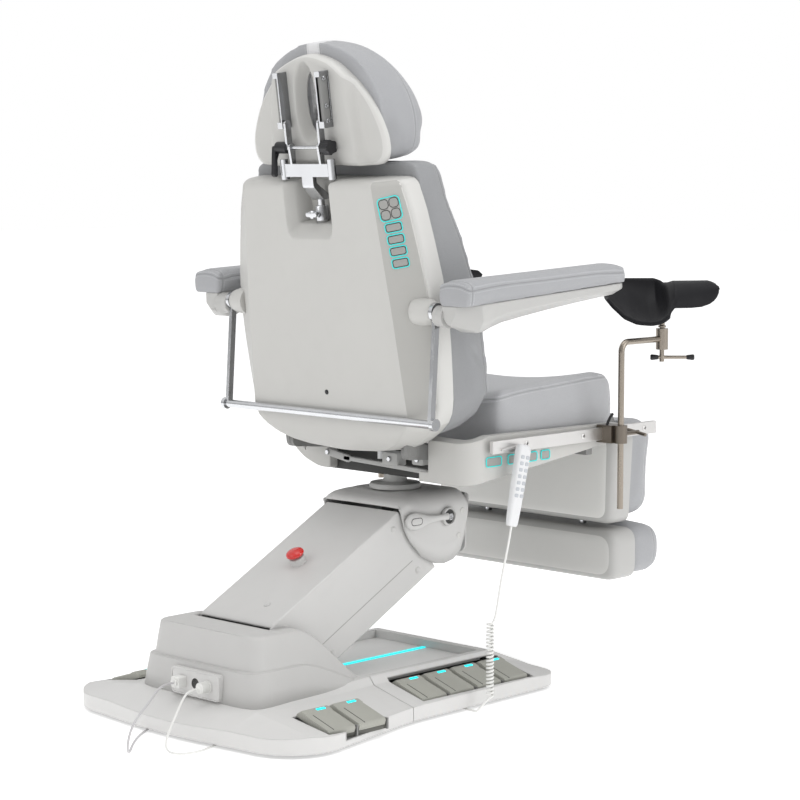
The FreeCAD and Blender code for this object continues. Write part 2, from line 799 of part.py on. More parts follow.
def arm_profile(inset):
    """Side view of the lift arm cover, drawn in by inset and open at both ends."""
    start = -ARM_TOP + inset
    end = LIFT_LENGTH + ARM_END
    low_end = LIFT_LENGTH + ARM_BOTTOM_END
    run_out = 60.0 if inset else 0.0
    corners = [
        (start - run_out, ARM_TOP - inset), (end + run_out, ARM_TOP - inset),
        (low_end + run_out, -ARM_BOTTOM + inset), (20 - run_out, -ARM_BOTTOM + inset), (start - run_out,
        -30),
    ]
    return [on_arm(along, up) for along, up in corners]


def lift_arm_cover():
    """Long cover round the lift beam, with its side screws and the collar of the stop button."""
    sharp = ARM_CORNER_R
    body = prism_x(arm_profile(0), [ARM_TOP - 1, 3, 3, sharp, sharp], -ARM_HALF, ARM_HALF)
    core = prism_x(arm_profile(PLASTIC), [0, 0, 0, 0, 0], PLASTIC - ARM_HALF, ARM_HALF - PLASTIC)
    body = body.cut(core)
    opening = [(-60, 0), (95, 0), (95, -ARM_BOTTOM - 10), (-60, -ARM_BOTTOM - 10)]
    gap = prism_x([on_arm(*corner) for corner in opening], [0, 0, 0, 0], PLASTIC - ARM_HALF,
        ARM_HALF - PLASTIC)
    body = body.cut(gap)
    long_edges = [edge for edge in body.Edges if top_corner(edge)]
    body = body.makeFillet(PLASTIC * 0.9, long_edges)
    screws = []
    for along, up in ((16, 12), (383, 12), (105, -118), (405, -112)):
        y, z = on_arm(along, up)
        screws += both_sides(bar_x(ARM_HALF, ARM_HALF + 2, y, z, SCREW_R))
    stem = stop_point(0)
    hole = rod(stop_point(-3 * PLASTIC), stop_point(PLASTIC), STOP_STEM_R + FACE_GAP)
    body = body.cut(hole)
    collar = rod(stem, stop_point(STOP_COLLAR_H), STOP_COLLAR_R)
    collar = collar.cut(rod(stop_point(-1), stop_point(STOP_COLLAR_H + 1), STOP_STEM_R + FACE_GAP))
    return group([body, collar] + screws)


def top_corner(edge):
    """True for the two long outer edges along the top of the arm."""
    centre = edge.BoundBox.Center
    if abs(abs(centre.x) - ARM_HALF) > 0.1 or edge.Length < LIFT_LENGTH / 2:
        return False
    return abs(centre.z - on_arm((LIFT_Y - centre.y) / math.cos(math.radians(LIFT_ANGLE)),
        0)[1]) < 2 * ARM_TOP


def stop_point(up):
    """Point on the axis of the stop button above the top face of the arm."""
    y, z = on_arm(STOP_ALONG, ARM_TOP + up)
    return V(0, y, z)


def emergency_stop_button():
    """Mushroom head on a stem that slides in the collar."""
    travel = 6.0
    head_low = STOP_COLLAR_H + travel
    stem = rod(stop_point(-2 * PLASTIC), stop_point(head_low + 1), STOP_STEM_R)
    head = rod(stop_point(head_low), stop_point(head_low + STOP_HEAD_H), STOP_HEAD_R)
    middle = head.BoundBox.Center.z
    rim = [edge for edge in head.Edges if edge.BoundBox.Center.z > middle and edge.Length > STOP_HEAD_R]
    head = head.makeFillet(STOP_HEAD_H * 0.4, rim[-1:])
    return fuse(stem, head)


def lift_arm_beam():
    """Box beam between the upper pins, with the drive tube of the lift motor beside it."""
    over = BEAM_HALF_DEPTH
    corners = [(-over, over), (LIFT_LENGTH + over, over), (LIFT_LENGTH + over, -over), (-over, -over)]
    beam = prism_x([on_arm(*corner) for corner in corners], [over - 1] * 4, -BEAM_HALF, BEAM_HALF)
    wall = 8.0
    hollow = [(over, over - wall), (LIFT_LENGTH - over, over - wall), (LIFT_LENGTH - over, wall - over),
        (over, wall - over)]
    beam = beam.cut(prism_x([on_arm(*corner) for corner in hollow], [6] * 4, wall - BEAM_HALF,
        BEAM_HALF - wall))
    for along in (0, LIFT_LENGTH):
        y, z = on_arm(along, 0)
        beam = beam.cut(bar_x(-BEAM_HALF - 1, BEAM_HALF + 1, y, z, LIFT_PIN_R + RUN))
    for along in ARM_SADDLES:
        half = ARM_SADDLE_HALF
        pad = [(along - half, over - 1), (along + half, over - 1), (along + half, ARM_TOP - PLASTIC),
               (along - half, ARM_TOP - PLASTIC)]
        saddle = prism_x([on_arm(*corner) for corner in pad], [0] * 4, -BEAM_HALF, BEAM_HALF)
        beam = fuse(beam, saddle)
    motor_x = BEAM_HALF + ACTUATOR_R + 1
    low = on_arm(130, -over)
    high = on_arm(LIFT_LENGTH - 120, -over)
    tube = rod(V(motor_x, *low), V(motor_x, *high), ACTUATOR_R)
    lug_y, lug_z = on_arm(200, -over)
    lug = bar_x(BEAM_HALF, motor_x, lug_y, lug_z, ACTUATOR_R / 2)
    return group([beam, fuse(tube, lug)])


def lift_link():
    """Lower bar of the parallelogram; its upper eye keeps a wide running gap on the head pin."""
    y = LIFT_Y + LINK_BACK
    z = LIFT_Z - LINK_DROP
    slope = math.radians(LIFT_ANGLE)
    end_y = y - LIFT_LENGTH * math.cos(slope)
    end_z = z + LIFT_LENGTH * math.sin(slope)
    eye = LINK_PIN_R + 7
    half = 40.0
    across = V(0, math.sin(slope), math.cos(slope)) * LINK_HALF_DEPTH
    start = V(-half, y, z)
    end = V(-half, end_y, end_z)
    bar = slab([start + across, end + across, end - across, start - across], [0] * 4, V(2 * half, 0, 0))
    link = fuse(bar, bar_x(-half, half, y, z, eye), bar_x(-half, half, end_y, end_z, eye))
    open_eye_play = 0.6
    link = link.cut(bar_x(-half - 1, half + 1, y, z, LINK_PIN_R + RUN))
    return link.cut(bar_x(-half - 1, half + 1, end_y, end_z, LINK_PIN_R + open_eye_play))


# Lift head and swivel


def head_pin():
    """Place of the upper arm pin in (y, z)."""
    return on_arm(LIFT_LENGTH, 0)


def lift_head_block():
    """Steel block that carries the swivel bearing on the upper pins of the linkage."""
    pin_y, pin_z = head_pin()
    low_y = pin_y + LINK_BACK
    low_z = pin_z - LINK_DROP
    boss = 20.0
    bearing_top = HEAD_TOP_Z - PLASTIC - 1
    outline = [
        (low_y + boss, low_z - boss), (pin_y + boss, pin_z), (pin_y + boss, pin_z + boss), (BEARING_R,
        bearing_top),
        (-BEARING_R - 10, bearing_top), (-BEARING_R - 10, COLUMN_FOOT_Z), (low_y - boss, low_z - boss),
    ]
    cheek = prism_x(outline, [16, 8, 10, 4, 4, 10, 16], CHEEK_IN, CHEEK_IN + STEEL)
    pieces = both_sides(cheek)
    reach = CHEEK_IN + STEEL
    pieces.append(bar_x(-reach, reach, pin_y, pin_z, LIFT_PIN_R))
    pieces.append(bar_x(-reach, reach, low_y, low_z, LINK_PIN_R))
    pieces.append(box(-reach, reach, -BEARING_R - 10, BEARING_R, bearing_top - STEEL, bearing_top))
    pieces.append(rod(V(0, 0, COLUMN_FOOT_Z), V(0, 0, bearing_top), BEARING_R))
    block = fuse(*pieces)
    bore = rod(V(0, 0, COLUMN_FOOT_Z - 1), V(0, 0, bearing_top + 1), COLUMN_R + RUN)
    shaft = bar_x(-HEAD_HALF, -CHEEK_IN + 1, LEVER_Y, LEVER_Z, LEVER_SHAFT_R + RUN)
    return block.cut([bore, shaft])


def head_profile(inset):
    """Side view of the head cover; with an inset the hollow runs out at the rear and below."""
    pin_y, pin_z = head_pin()
    slope = math.radians(LIFT_ANGLE)
    lip_y = pin_y + HEAD_LIP * math.sin(slope)
    lip_z = pin_z + HEAD_LIP * math.cos(slope)
    run_out = 80.0 if inset else 0.0
    front = HEAD_FRONT_Y + inset
    top = HEAD_TOP_Z - inset
    return [
        (lip_y + run_out, lip_z - run_out), (lip_y - 22, pin_z - 6 - run_out), (26, HEAD_SKIRT_Z - run_out),
        (-62, HEAD_SKIRT_Z - run_out), (front + 8, HEAD_SKIRT_Z + 40 - run_out), (front,
        HEAD_SHOULDER_Z - 30),
        (front + 14, top - 4), (-30, top), (FLANGE_R, top), (lip_y + run_out, lip_z + 12 - inset),
    ]


def lift_head_cover():
    """Moulded cover over the lift head, open towards the arm."""
    outer = prism_x(head_profile(0), [2, 14, 40, 40, 20, 60, 24, 60, 60, 6], -HEAD_HALF, HEAD_HALF)
    inner = prism_x(head_profile(PLASTIC), [0] * 10, PLASTIC - HEAD_HALF, HEAD_HALF - PLASTIC)
    cover = outer.cut(inner)
    cover = cover.cut(rod(V(0, 0, HEAD_TOP_Z - 30), V(0, 0, HEAD_TOP_Z + 5), COLUMN_R + 4))
    cover = cover.cut(bar_x(-HEAD_HALF - 1, -HEAD_HALF + 20, LEVER_Y, LEVER_Z, LEVER_SHAFT_R + 2))
    pieces = [max(cover.Solids, key=lambda solid: solid.Volume)]
    for y, z in HEAD_SCREWS:
        pieces += both_sides(bar_x(HEAD_HALF, HEAD_HALF + 2, y, z, SCREW_R))
    return group(pieces)


def swivel_lock_lever():
    """Side lever whose threaded shaft clamps the swivel column."""
    start = -CHEEK_IN - 2
    hub_out = -HEAD_HALF - LEVER_STAND_OFF - LEVER_R - 3
    shaft = bar_x(hub_out, start, LEVER_Y, LEVER_Z, LEVER_SHAFT_R)
    hub = bar_x(hub_out, -HEAD_HALF - 2, LEVER_Y, LEVER_Z, LEVER_SHAFT_R + 7)
    arm_x = -HEAD_HALF - LEVER_STAND_OFF
    arm = rod(V(arm_x, LEVER_Y, LEVER_Z), V(arm_x, LEVER_Y + LEVER_REACH - 30, LEVER_Z + 2), LEVER_R)
    grip = rod(V(arm_x, LEVER_Y + LEVER_REACH - 50, LEVER_Z + 1), V(arm_x, LEVER_Y + LEVER_REACH,
        LEVER_Z + 2), LEVER_R + 3)
    return fuse(shaft, hub, arm, grip)


def swivel_column():
    """Flanged column with the bracket that carries the seat's tilt pin."""
    flange_z = HEAD_TOP_Z + 1
    post = rod(V(0, 0, COLUMN_FOOT_Z), V(0, 0, BRACKET_Z + 1), COLUMN_R)
    flange = rod(V(0, 0, flange_z), V(0, 0, flange_z + FLANGE_H), FLANGE_R)
    length = BRACKET_HALF_LENGTH
    plate = box(-BRACKET_HALF, BRACKET_HALF, -length, length, BRACKET_Z, BRACKET_Z + STEEL)
    ear_in = TILT_EAR_X + STEEL + FACE_GAP
    boss = TILT_PIN_R + 8
    outline = [
        (TILT_Y - 34, BRACKET_Z + STEEL), (TILT_Y - boss, TILT_Z + boss), (TILT_Y + boss, TILT_Z + boss),
        (TILT_Y + 34, BRACKET_Z + STEEL),
    ]
    ears = both_sides(prism_x(outline, [0, 12, 12, 0], ear_in, ear_in + STEEL))
    pin = bar_x(-ear_in - STEEL, ear_in + STEEL, TILT_Y, TILT_Z, TILT_PIN_R)
    return fuse(post, flange, plate, pin, *ears)


# Seat


def recline_pivot():
    """Centre of the back hinge in (y, z)."""
    point = on_back(Part.Vertex(0, RECLINE_DEPTH, RECLINE_UP)).Point
    return point.y, point.z


def seat_frame():
    """Steel pan with cross bars, the tilt ears and the ears of the back and leg hinges."""
    pieces = [box(-PAN_HALF, PAN_HALF, PAN_FRONT_Y, PAN_REAR_Y, PAN_Z, PAN_Z + PAN_SHEET)]
    reach = SIDE_COVER_OUT - PLASTIC
    for y in (CROSS_BAR_FRONT_Y, CROSS_BAR_REAR_Y):
        pieces.append(box(-reach, reach, y - CROSS_BAR / 2, y + CROSS_BAR / 2, PAN_Z - CROSS_BAR, PAN_Z))
    boss = TILT_PIN_R + 7
    tilt = [(TILT_Y - 30, PAN_Z), (TILT_Y - boss, TILT_Z - boss), (TILT_Y + boss, TILT_Z - boss),
        (PAN_REAR_Y, PAN_Z)]
    pieces += both_sides(prism_x(tilt, [0, 12, 6, 0], TILT_EAR_X, TILT_EAR_X + STEEL))
    boss = HINGE_PIN_R + 7
    hinge_y, hinge_z = recline_pivot()
    back = [
        (PAN_REAR_Y - 90, PAN_Z), (PAN_REAR_Y - 60, PAN_Z - 24), (hinge_y + boss, hinge_z - boss),
        (hinge_y + boss, hinge_z + boss), (hinge_y - boss, hinge_z + boss), (PAN_REAR_Y - 4,
        PAN_Z + PAN_SHEET),
    ]
    pieces += both_sides(prism_x(back, [0, 8, 15, 15, 10, 0], HINGE_EAR_X, HINGE_EAR_X + STEEL))
    pin_end = HINGE_EAR_X + 2 * STEEL + FACE_GAP
    pieces += both_sides(bar_x(HINGE_EAR_X, pin_end, hinge_y, hinge_z, HINGE_PIN_R))
    boss = LEG_PIN_R + 7
    leg = [
        (PAN_FRONT_Y + 50, PAN_Z), (PAN_FRONT_Y, PAN_Z + PAN_SHEET), (LEG_HINGE_Y + boss,
        LEG_HINGE_Z + boss),
        (LEG_HINGE_Y - boss, LEG_HINGE_Z + boss), (LEG_HINGE_Y - boss, LEG_HINGE_Z - boss),
        (PAN_FRONT_Y + 8, PAN_Z - 4),
    ]
    pieces += both_sides(prism_x(leg, [0, 0, 10, 12, 12, 0], LEG_EAR_X, LEG_EAR_X + STEEL))
    pin_end = LEG_EAR_X + 2 * STEEL + FACE_GAP
    pieces += both_sides(bar_x(LEG_EAR_X, pin_end, LEG_HINGE_Y, LEG_HINGE_Z, LEG_PIN_R))
    frame = fuse(*pieces)
    return frame.cut(bar_x(-BRACKET_HALF, BRACKET_HALF, TILT_Y, TILT_Z, TILT_PIN_R + RUN))


def cover_plan(thick):
    """Plan of the left side cover: straight along the seat, bent inwards behind it."""
    out = SIDE_COVER_OUT
    bend = SIDE_COVER_BEND_Y
    turn = math.atan2(out - SIDE_COVER_TAIL_X, SIDE_COVER_REAR_Y - bend)
    points = [
        (out, SIDE_COVER_FRONT_Y), (out, bend), (SIDE_COVER_TAIL_X, SIDE_COVER_REAR_Y),
        (SIDE_COVER_TAIL_X - thick * math.cos(turn), SIDE_COVER_REAR_Y - thick * math.sin(turn)),
        (out - thick, bend - thick * math.tan(turn / 2)), (out - thick, SIDE_COVER_FRONT_Y),
    ]
    radii = [0, SIDE_COVER_BEND_R, 0, 0, SIDE_COVER_BEND_R - thick, 0]
    return prism_z(points, radii, SIDE_COVER_TAIL_Z - 5, SIDE_COVER_TOP_Z + 5)


def sweep_block():
    """Block under the slanting plane that sweeps up the rear of the left cover, which has no keys."""
    reach = 2 * SIDE_COVER_OUT
    block = Part.makeBox(2 * reach, 2 * reach, reach, V(-reach, -reach, -reach))
    turn = FreeCAD.Rotation(V(0, 0, 1), V(-SWEEP_ACROSS, -SWEEP_ALONG, 1))
    block.Placement = FreeCAD.Placement(V(SIDE_COVER_OUT, SWEEP_Y, SWEEP_Z), turn)
    return block


def seat_side_covers():
    """Covers along both sides of the seat with a flange round their edge."""
    points = [
        (SIDE_COVER_BEND_Y + 5, SIDE_COVER_TAIL_TOP_Z), (SIDE_COVER_BEND_Y - 60, SIDE_COVER_TOP_Z),
        (SIDE_COVER_FRONT_Y, SIDE_COVER_TOP_Z - 6), (SIDE_COVER_FRONT_Y, SIDE_COVER_NOSE_Z),
        (SIDE_COVER_LOW_Y, SIDE_COVER_LOW_Z), (SIDE_COVER_BEND_Y + 5, SIDE_COVER_TAIL_Z),
    ]
    wire = rounded_wire([V(0, y, z) for y, z in points], [4, 60, 8, 12, 60, 4])
    reach = V(SIDE_COVER_OUT + 5, 0, 0)
    side = Part.Face(wire).extrude(reach)
    inside = Part.Face(wire.makeOffset2D(-PLASTIC)).extrude(reach)
    skin = cover_plan(PLASTIC).common(side)
    rim = cover_plan(SIDE_COVER_DEPTH).common(side).cut(inside)
    cover = fuse(skin, rim)
    for y in (CROSS_BAR_FRONT_Y, CROSS_BAR_REAR_Y):
        half = CROSS_BAR / 2 + SOFT_GAP
        low = PAN_Z - CROSS_BAR - SOFT_GAP
        end = SIDE_COVER_OUT - PLASTIC
        cover = cover.cut(box(end - SIDE_COVER_DEPTH, end, y - half, y + half, low, PAN_Z + SOFT_GAP))
    slot_in = HINGE_EAR_X - EAR_SLOT_PLAY
    slot_out = HINGE_EAR_X + 2 * STEEL + EAR_SLOT_PLAY
    slot = box(slot_in, slot_out, 0, SIDE_COVER_REAR_Y + 20, PAN_Z - 34, SIDE_COVER_TOP_Z)
    cover = cover.cut(slot)
    right = mirrored(max(cover.Solids, key=lambda solid: solid.Volume))
    left = cover.cut(sweep_block())
    return group([max(left.Solids, key=lambda solid: solid.Volume), right])


def side_rails():
    """Accessory rails along both sides on stand-offs, with the handset hook on the right one."""
    rail_in = RAIL_OUT - RAIL_THICK
    low = RAIL_Z - RAIL_HIGH / 2
    rail = box(rail_in, RAIL_OUT, RAIL_FRONT_Y, RAIL_REAR_Y, low, low + RAIL_HIGH)
    for y in (RAIL_REAR_Y - 40, SIDE_COVER_FRONT_Y + 120, SIDE_COVER_FRONT_Y + 30):
        rail = fuse(rail, bar_x(SIDE_COVER_OUT, rail_in + 1, y, RAIL_Z, RAIL_STANDOFF_R))
    x = hook_x()
    hook = rod(V(x, HANDSET_Y - 26, RAIL_Z - 2), V(x, HANDSET_Y + 36, RAIL_Z - 6), HOOK_R)
    left, right = both_sides(rail)
    return group([left, fuse(right, mirrored(hook))])


def seat_cushion():
    """Seat pad: crowned top, swelling sides and a rounded front."""
    low = PAN_Z + PAN_SHEET
    slope = (SEAT_TOP_Z - SEAT_REAR_TOP_Z) / (SEAT_REAR_Y - SEAT_FRONT_Y)
    wires = []
    for y, draw in rounded_rows(SEAT_REAR_Y, SEAT_FRONT_Y, SEAT_REAR_R, SEAT_FRONT_R):
        half = SEAT_HALF - draw * 0.6
        top = SEAT_REAR_TOP_Z + slope * (SEAT_REAR_Y - y) - draw
        wires.append(pad_section(lambda across, up, y=y: V(across, y, up), half, low + SOFT_GAP, top,
            SEAT_CROWN, 8))
    pad = cushion(wires)
    ears = []
    for ear_x in (HINGE_EAR_X, LEG_EAR_X):
        ear = box(ear_x - 2, ear_x + STEEL + 2, SEAT_FRONT_Y - 10, PAN_FRONT_Y + 20, low - 1,
            LEG_HINGE_Z + SEAT_EAR_HEAD)
        ears += both_sides(ear)
    return pad.cut(ears)


def seat_keys():
    """Sealed touch keys let into the right side cover."""
    keys = []
    x = -SIDE_COVER_OUT
    low = SEAT_KEY_Z - SEAT_KEY_HIGH / 2
    high = SEAT_KEY_Z + SEAT_KEY_HIGH / 2
    for y, wide in SEAT_KEYS:
        half = wide / 2
        points = [V(x, y - half, low), V(x, y + half, low), V(x, y + half, high), V(x, y - half, high)]
        keys.append(slab(points, [SEAT_KEY_R] * 4, V(-SEAT_KEY_PROUD, 0, 0)))
    return group(keys)


# Back


def shell_outline(depth, spread):
    """Outline of the back shell at one depth; spread runs from the front rim (0) to the rear face (1)."""
    top_half = SHELL_TOP_HALF + spread * (SHELL_TOP_FLAT - SHELL_TOP_HALF)
    low_half = SHELL_LOW_HALF + spread * (SHELL_LOW_FLAT - SHELL_LOW_HALF)
    wide_half = SHELL_WIDE_HALF + spread * ((SHELL_TOP_FLAT + SHELL_LOW_FLAT) / 2 + 2 - SHELL_WIDE_HALF)
    foot = SHELL_FOOT + 30 * spread
    right = [
        (top_half, SHELL_TOP - 12 * spread), (wide_half, SHELL_WIDEST), (low_half, SHELL_LOW),
        (low_half * 0.45, foot + 8),
    ]
    points = right + [(-x, h) for x, h in reversed(right)]
    radii = [46, 400, 60, 240, 240, 60, 400, 46]
    return rounded_wire([V(x, depth, h) for x, h in points], radii)


def back_shell():
    """Moulded rear shell of the back with its headrest notch."""
    outer = Part.makeLoft([shell_outline(SHELL_FRONT, 0), shell_outline(SHELL_REAR, 1)], True, True)
    wall = PLASTIC
    front = shell_outline(SHELL_FRONT, 0).makeOffset2D(-wall)
    rear = shell_outline(SHELL_REAR - wall, 1).makeOffset2D(-wall)
    hollow = Part.makeLoft([front, rear], True, True)
    shell = outer.cut(hollow)
    block_half = NOTCH_HALF + wall
    floor = SHELL_REAR - NOTCH_DEPTH
    block = box(-block_half, block_half, floor - wall, SHELL_REAR, NOTCH_FOOT - wall, SHELL_TOP)
    shell = fuse(shell, block.common(outer))
    notch = slab(
        [V(-NOTCH_HALF, floor, SHELL_TOP + 40), V(-NOTCH_HALF, floor, NOTCH_FOOT), V(NOTCH_HALF, floor,
        NOTCH_FOOT),
         V(NOTCH_HALF, floor, SHELL_TOP + 40)], [0, 22, 22, 0], V(0, NOTCH_DEPTH + 10, 0))
    post = rod(V(0, POST_DEPTH, NOTCH_FOOT - 20), V(0, POST_DEPTH, SHELL_TOP), SOCKET_TUBE_R + SHELL_GAP)
    tube = bar_x(-ARM_TUBE_HALF, ARM_TUBE_HALF, ARM_PIVOT_DEPTH, SHELL_WIDEST, ARM_TUBE_R + SHELL_GAP)
    shell = shell.cut([notch, post, tube])
    for ear in both_sides(box(HINGE_EAR_X - 4, HINGE_EAR_X + 2 * STEEL + 6, 0, SHELL_REAR - 30, -60, 60)):
        shell = shell.cut(ear)
    return on_back(max(shell.Solids, key=lambda solid: solid.Volume))


def back_frame():
    """Steel back plate with hinge ears, the armrest tube and the headrest socket."""
    sheet = BRACKET_SHEET
    low = 40.0
    ear_out = HINGE_EAR_X + 2 * STEEL + FACE_GAP
    plate = box(-ear_out, ear_out, BACK_PLATE_DEPTH, BACK_PLATE_DEPTH + sheet, low + 20, NOTCH_FOOT - 10)
    ear_in = HINGE_EAR_X + STEEL + FACE_GAP
    boss = HINGE_PIN_R + 8
    depth = BACK_PLATE_DEPTH
    ear_front = RECLINE_DEPTH - boss
    ear_rear = RECLINE_DEPTH + boss
    outline = [
        (ear_front, RECLINE_UP - boss), (ear_rear, RECLINE_UP - boss), (ear_rear, low + 30),
        (depth + sheet, low + 120),
        (depth, low + 120), (ear_front, low),
    ]
    ear = prism_x(outline, [15, 15, 10, 0, 0, 4], ear_in, ear_in + STEEL)
    tube = bar_x(-ARM_TUBE_HALF, ARM_TUBE_HALF, ARM_PIVOT_DEPTH, SHELL_WIDEST, ARM_TUBE_R)
    pieces = [plate, tube]
    pieces += both_sides(ear)
    saddle_x = BACK_PLATE_HALF - 40
    for x in (saddle_x, -saddle_x):
        pieces.append(box(x - 8, x + 8, depth + sheet, ARM_PIVOT_DEPTH, SHELL_WIDEST - 16,
            SHELL_WIDEST + 16))
    for height in SHELL_BOSSES:
        start = V(SHELL_BOSS_X, depth + sheet - 1, height)
        boss_bar = rod(start, V(SHELL_BOSS_X, SHELL_REAR - PLASTIC, height), SHELL_BOSS_R)
        pieces += both_sides(boss_bar)
    socket = rod(V(0, POST_DEPTH, POST_FOOT - 8), V(0, POST_DEPTH, SOCKET_TOP), SOCKET_TUBE_R)
    pieces.append(socket)
    pieces.append(box(-SOCKET_TUBE_R, SOCKET_TUBE_R, depth, POST_DEPTH, POST_FOOT, NOTCH_FOOT - 12))
    frame = fuse(*pieces)
    frame = frame.cut(rod(V(0, POST_DEPTH, POST_FOOT - 4), V(0, POST_DEPTH, SOCKET_TOP + 1), POST_R + RUN))
    frame = frame.cut(bar_x(-ARM_TUBE_HALF, ARM_TUBE_HALF, RECLINE_DEPTH, RECLINE_UP, HINGE_PIN_R + RUN))
    return on_back(frame)


def back_cushion():
    """Back pad with a fuller lumbar part and a rounded foot."""
    rear = SHELL_FRONT - SOFT_GAP
    rows = [
        (BACK_CUSHION_FOOT, SHELL_LOW_HALF - 50, 8), (BACK_CUSHION_FOOT + 10, SHELL_LOW_HALF - 28, -18),
        (SHELL_LOW - 24, SHELL_LOW_HALF - 6, -50), (SHELL_LOW + 20, SHELL_LOW_HALF + 12, -76),
        (SHELL_LOW + 78, SHELL_WIDE_HALF - 1, -88), (SHELL_WIDEST - 60, SHELL_WIDE_HALF + 2, -84),
        (SHELL_WIDEST + 40, SHELL_WIDE_HALF, -72), (SHELL_WIDEST + 140, SHELL_WIDE_HALF - 14, -58),
        (SHELL_TOP - 60, SHELL_TOP_HALF + 14, -45), (SHELL_TOP - 12, SHELL_TOP_HALF + 6, -38),
        (BACK_CUSHION_TOP - 12, SHELL_TOP_HALF - 2, -30), (BACK_CUSHION_TOP - 3, SHELL_TOP_HALF - 16, -14),
        (BACK_CUSHION_TOP, SHELL_TOP_HALF - 32, 4),
    ]
    wires = []
    for height, half, front in rows:
        wires.append(pad_section(
            lambda across, up, height=height: V(across, -up, height), half, -rear, -front, 10, 8))
    pad = cushion(wires)
    ears = both_sides(box(HINGE_EAR_X - 3, HINGE_EAR_X + 2 * STEEL + 5, -60, SHELL_FRONT + 1, -30,
        BACK_CUSHION_FOOT + 12))
    socket = box(-NOTCH_HALF, NOTCH_HALF, SHELL_FRONT - 2, SHELL_FRONT + 1, 0, SHELL_TOP)
    return on_back(pad.cut(ears + [socket]))


def back_keys():
    """Sealed touch keys on the right-hand bevel of the back shell."""
    keys = []
    top = SHELL_TOP - 54.0
    for index in range(6):
        height = top - index * 27.0
        for shift in ((-11, 11) if index < 2 else (0,)):
            half = 9.0 if index < 2 else 17.0
            keys.append(bevel_key(height, shift, half, 9.0))
    return group(keys)


def bevel_key(height, shift, half, half_high):
    """One key lying on the bevel between the rear face and the right rim."""
    blend = (height - SHELL_WIDEST) / (SHELL_TOP - SHELL_WIDEST)
    rim = SHELL_WIDE_HALF + blend * (SHELL_TOP_HALF - SHELL_WIDE_HALF)
    flat_wide = (SHELL_TOP_FLAT + SHELL_LOW_FLAT) / 2 + 2
    flat = flat_wide + blend * (SHELL_TOP_FLAT - flat_wide)
    angle = math.degrees(math.atan2(SHELL_REAR - SHELL_FRONT, rim - flat))
    points = [V(-half, 0, -half_high), V(half, 0, -half_high), V(half, 0, half_high), V(-half, 0,
        half_high)]
    key = slab(points, [4, 4, 4, 4], V(0, 2.0, 0))
    key.translate(V(shift, 0, 0))
    key.rotate(V(0, 0, 0), V(0, 0, 1), angle)
    share = 0.34
    key.translate(V(-flat - share * (rim - flat), SHELL_REAR - share * (SHELL_REAR - SHELL_FRONT) + 1.5,
        height))
    return on_back(key)


def arm_pivot():
    """Centre of the armrest tube in (y, z)."""
    point = on_back(Part.Vertex(0, ARM_PIVOT_DEPTH, SHELL_WIDEST)).Point
    return point.y, point.z


def armrest_body():
    """Moulded armrest on the left-hand side with its neck and bore, drawn level about the pivot."""
    front = REST_TAIL - REST_LENGTH
    outline = [
        (REST_TAIL, REST_BODY_TOP), (front, REST_BODY_TOP), (front + 14,
        REST_BODY_TOP - REST_BODY_FRONT_DEPTH),
        (front + 330, REST_BODY_TOP - 48), (-40, REST_BODY_TOP - REST_BODY_REAR_DEPTH - 6),
        (REST_TAIL - 4, REST_BODY_TOP - REST_BODY_REAR_DEPTH),
    ]
    body = prism_x(outline, [6, 4, 10, 120, 30, 20], REST_IN + 4, REST_OUT - 4)
    neck_in = ROLL_ARM_X + ROLL_ARM_THICK + FACE_GAP
    neck = bar_x(neck_in, REST_IN + 10, 0, 0, REST_NECK_R)
    arm = fuse(body, neck)
    arm = arm.cut(bar_x(neck_in - 1, ARM_TUBE_HALF + FACE_GAP, 0, 0, ARM_TUBE_R + RUN))
    return place_rest(arm)


def place_rest(shape):
    """Tilt an armrest piece a little up to the front and put it on its pivot."""
    y, z = arm_pivot()
    placed = turned(shape, V(0, 0, 0), REST_TILT)
    placed.translate(V(0, y, z))
    return placed


def armrest_pad():
    """Upholstered top of the left-hand armrest."""
    low = REST_BODY_TOP
    middle = (REST_IN + REST_OUT) / 2
    half = (REST_OUT - REST_IN) / 2
    front = REST_TAIL - REST_LENGTH - 4
    rear = REST_TAIL + 6
    wires = []
    for y, draw in rounded_rows(rear, front, REST_END_R, REST_END_R):
        wires.append(pad_section(
            lambda across, up, y=y: V(middle + across, y, up), half - draw, low, low + REST_PAD - draw,
            REST_CROWN, 3))
    return place_rest(cushion(wires))


def paper_roll_holder():
    """Swinging bracket: two flat arms on rings, with a round bar and end caps."""
    depth = SHELL_REAR + ROLL_BAR_R + 1 - ARM_PIVOT_DEPTH
    drop = math.sqrt(ROLL_DROP ** 2 - depth ** 2)
    bar_y = ARM_PIVOT_DEPTH + depth
    bar_z = SHELL_WIDEST - drop
    x0 = ROLL_ARM_X
    x1 = ROLL_ARM_X + ROLL_ARM_THICK
    ring = bar_x(x0, x1, ARM_PIVOT_DEPTH, SHELL_WIDEST, ROLL_RING_R)
    across = V(0, drop, depth).normalize() * (ROLL_ARM_WIDE / 2)
    start = V(x0, ARM_PIVOT_DEPTH, SHELL_WIDEST)
    end = V(x0, bar_y, bar_z)
    arm = slab([start - across, end - across, end + across, start + across], [0] * 4, V(ROLL_ARM_THICK, 0,
        0))
    cap = bar_x(x1, x1 + ROLL_CAP, bar_y, bar_z, ROLL_CAP_R)
    bar = bar_x(-x1 - 1, x1 + 1, bar_y, bar_z, ROLL_BAR_R)
    sides = []
    for piece in (ring, arm, cap):
        sides += both_sides(piece)
    holder = fuse(bar, *sides)
    return on_back(holder.cut(bar_x(-x1 - 1, x1 + 1, ARM_PIVOT_DEPTH, SHELL_WIDEST, ARM_TUBE_R + RUN)))


# Headrest


